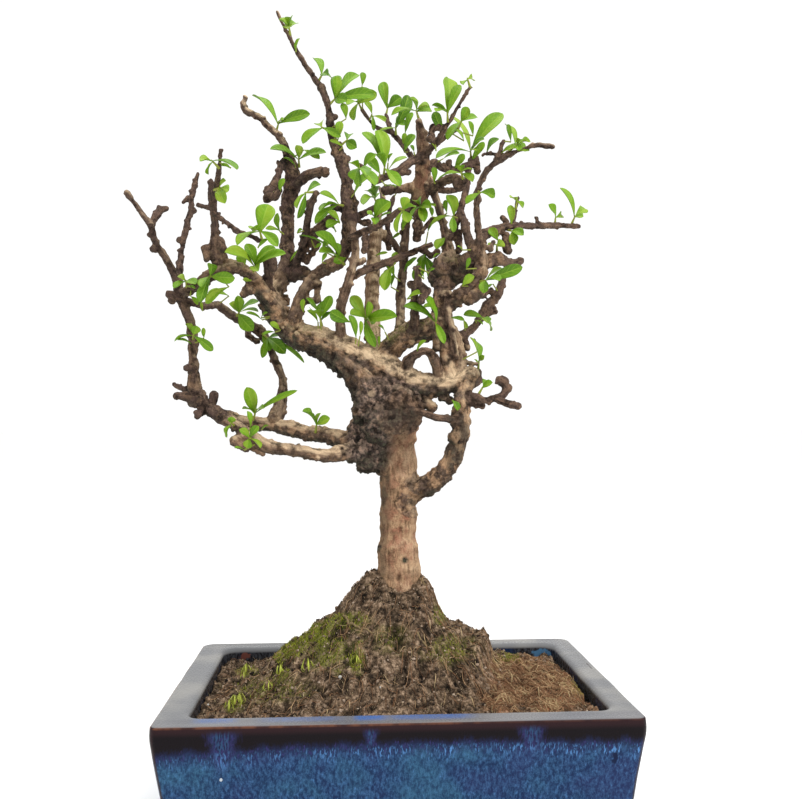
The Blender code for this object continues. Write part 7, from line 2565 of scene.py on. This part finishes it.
@dataclass(frozen=True)
class Foliage:
    """All the leaves, in bunches by where they grow."""

    guide: Guide
    finish: LeafFinish
    seed: int = 41
    thickness: float = 0.00024
    shoot_radius: float = 0.00075
    stalk_reach: float = 0.0022
    sunk: float = 0.0022
    small_blade: float = 0.0075

    def grow(self, parts: MeshParts, start: np.ndarray, end: np.ndarray, blades: list[Blade], green: float,
             rng: np.random.Generator) -> None:
        """Adds one shoot and its blades to a bunch.

        Args:
            parts: The bunch's mesh.
            start: Where the shoot leaves the bark.
            end: The shoot's tip.
            blades: Its blades.
            green: The spray's own share of age.
            rng: Where small differences come from.
        """
        back = unit(end - start) * self.sunk
        line = start - back + (end - start + back) * np.linspace(0, 1, 6)[:, None]
        radii = np.array((1.0, 0.95, 0.8, 0.7, 0.6, 0.35)) * self.shoot_radius
        points, faces = strand(line, radii, 7)
        parts.add(points, faces, blade=np.zeros((len(points), 3)), age=0.2)
        for blade in blades:
            small = blade.length < self.small_blade
            typical = 0.42 + 0.30 * (green - 0.5) - (0.22 if small else 0.0)
            age = float(np.clip(rng.normal(typical, 0.16), 0.0, 1.0))
            shoot = end - start
            share = float(np.clip((blade.start - start) @ shoot / (shoot @ shoot), 0.3, 0.9))
            grown = Blade(start + shoot * share, blade.frame, blade.length, blade.width)
            grown.add_to(parts, *((9, 5) if small else (14, 7)), self.thickness, rng, age)

    def place(self) -> None:
        """Builds every spray and tuft and hands them over bunch by bunch."""
        rng = np.random.default_rng(self.seed)
        looks = np.random.default_rng(self.seed + 1)
        thicket = Thicket()
        bunches: dict[str, MeshParts] = {}
        nodes: dict[str, list[str]] = {}
        for name, (base, shown, extra, extra_length) in SPRAYS.items():
            start, end, blades = Spray(thicket, base, shown, extra, extra_length, LEAF_CLEARANCE).layout(rng)
            green = float(rng.uniform())
            bunch = self.bunch(base)
            self.grow(bunches.setdefault(bunch, MeshParts()), start, end, blades, green, looks)
            nodes.setdefault(bunch, []).append(f"leaves_{name}")
        self.read_leaves(bunches, looks)
        material = self.finish.make()
        for name, parts in bunches.items():
            show(parts.build(name), material, "leaf", *nodes[name])

    def read_leaves(self, bunches: dict[str, MeshParts], rng: np.random.Generator) -> None:
        """Adds single leaves that grow straight from the bark.

        Args:
            bunches: Every bunch's mesh.
            rng: Where small differences come from.
        """
        for column, row, tip_column, tip_row, width in SINGLE_LEAVES:
            index = self.guide.seat(column, row)
            base = self.guide.shown[index]
            radius = self.guide.radii[index]
            back = (self.guide.places[index, 1] - radius * 0.6) / MM / VIEW.depth_spread
            tip = VIEW.point(tip_column, tip_row, back - 2.0 - 0.10 * abs(tip_column - base[0]))
            start = VIEW.point(float(base[0]), float(base[1]), back)
            start = start + unit(tip - start) * radius * 0.2
            parts = bunches[self.bunch((column, row))]
            root = VIEW.point(column, row, back - 1.0)
            age = float(np.clip(rng.normal(0.40, 0.20), 0.0, 1.0))
            if float(np.linalg.norm(root - start)) > self.stalk_reach:
                line = start + (root - start) * np.linspace(0, 1, 5)[:, None]
                points, faces = strand(line, np.full(5, self.shoot_radius * 0.5), 5)
                parts.add(points, faces, blade=np.zeros((len(points), 3)), age=age)
                start = root
            directions = blade_frame(start, tip, rng.normal(0.0, 0.35), SEEN_FACING)
            blade = Blade(start, directions, float(np.linalg.norm(tip - start)), width * MM)
            blade.add_to(parts, 12, 7, self.thickness, rng, age)

    def bunch(self, base: Row) -> str:
        """The name of the bunch that a spray with this base belongs to.

        Args:
            base: The spray's base.

        Returns:
            The name.
        """
        column, row = base[:2]
        side, level = next((name, level) for edge, name, level in BUNCHES if column < edge)
        return f"foliage_{side}_{'high' if row < level else 'low'}"


@dataclass(frozen=True)
class Studio:
    """A plain pale floor, soft light from above and a pale surround."""

    floor_reach: float = 40.0
    floor_tone: Colour = (0.95, 0.95, 0.945)
    floor_shade: Colour = (0.92, 0.92, 0.915)
    surround: Colour = (1.0, 0.997, 0.99)
    surround_strength: float = 1.07

    def lamp(self, name: str, place: Row, aim: Row, size: float, power: float, tone: Colour) -> None:
        """One soft square light.

        Args:
            name: Its name.
            place: Where it stands.
            aim: The point that it faces.
            size: Its side length.
            power: Its power in watts.
            tone: Its colour.
        """
        data = bpy.data.lights.new(name, "AREA")
        data.shape = "SQUARE"
        data.size = size
        data.energy = power
        data.color = tone
        made = bpy.data.objects.new(name, data)
        bpy.context.scene.collection.objects.link(made)
        made.location = place
        made.rotation_euler = (Vector(aim) - Vector(place)).to_track_quat("-Z", "Y").to_euler()

    def place(self) -> None:
        """Lays the floor and sets the lights, the surround and the camera."""
        parts = MeshParts()
        corners = np.array(((-1, -1, 0), (1, -1, 0), (1, 1, 0), (-1, 1, 0)))
        parts.add(corners * self.floor_reach, [(0, 1, 2, 3)])
        floor = parts.build("pale_floor", smooth=False)
        shader = Shader("floor_paper")
        cloud = shader.place().noise(3.0, 2.0, 0.5)
        tone = shader.mix(cloud.step(0.3, 0.7, 0.0, 0.3), self.floor_tone, self.floor_shade)
        floor.data.materials.append(shader.finish(tone, 0.8, gloss=0.5))
        world = bpy.data.worlds.new("surround")
        world.use_nodes = True
        backing = world.node_tree.nodes["Background"]
        backing.inputs["Color"].default_value = (*self.surround, 1.0)
        backing.inputs["Strength"].default_value = self.surround_strength
        bpy.context.scene.world = world
        self.lamp("key_light", (0.60, -0.60, 1.20), (0.0, 0.0, 0.18), 0.60, 11.0, (1.0, 0.975, 0.94))
        self.lamp("top_light", (-0.20, 0.10, 1.30), (0.0, 0.0, 0.2), 0.7, 6.0, (0.97, 0.985, 1.0))
        VIEW.make_camera()
        bpy.context.scene.view_settings.view_transform = "Standard"


def main() -> None:
    """Builds the bonsai piece by piece, then the light and the camera."""
    logging.basicConfig(level=logging.INFO, format="%(message)s")
    pot = GlazedPot()
    pot.place()
    DrainScreens(ScreenFinish()).place()
    soil = SoilMound(pot, GroundFinish())
    soil.place()
    GroundCover(soil).place()
    guide = Guide()
    TreeWood(guide, BarkFinish()).place()
    Foliage(guide, LeafFinish()).place()
    Studio().place()


if __name__ == "__main__":
    main()
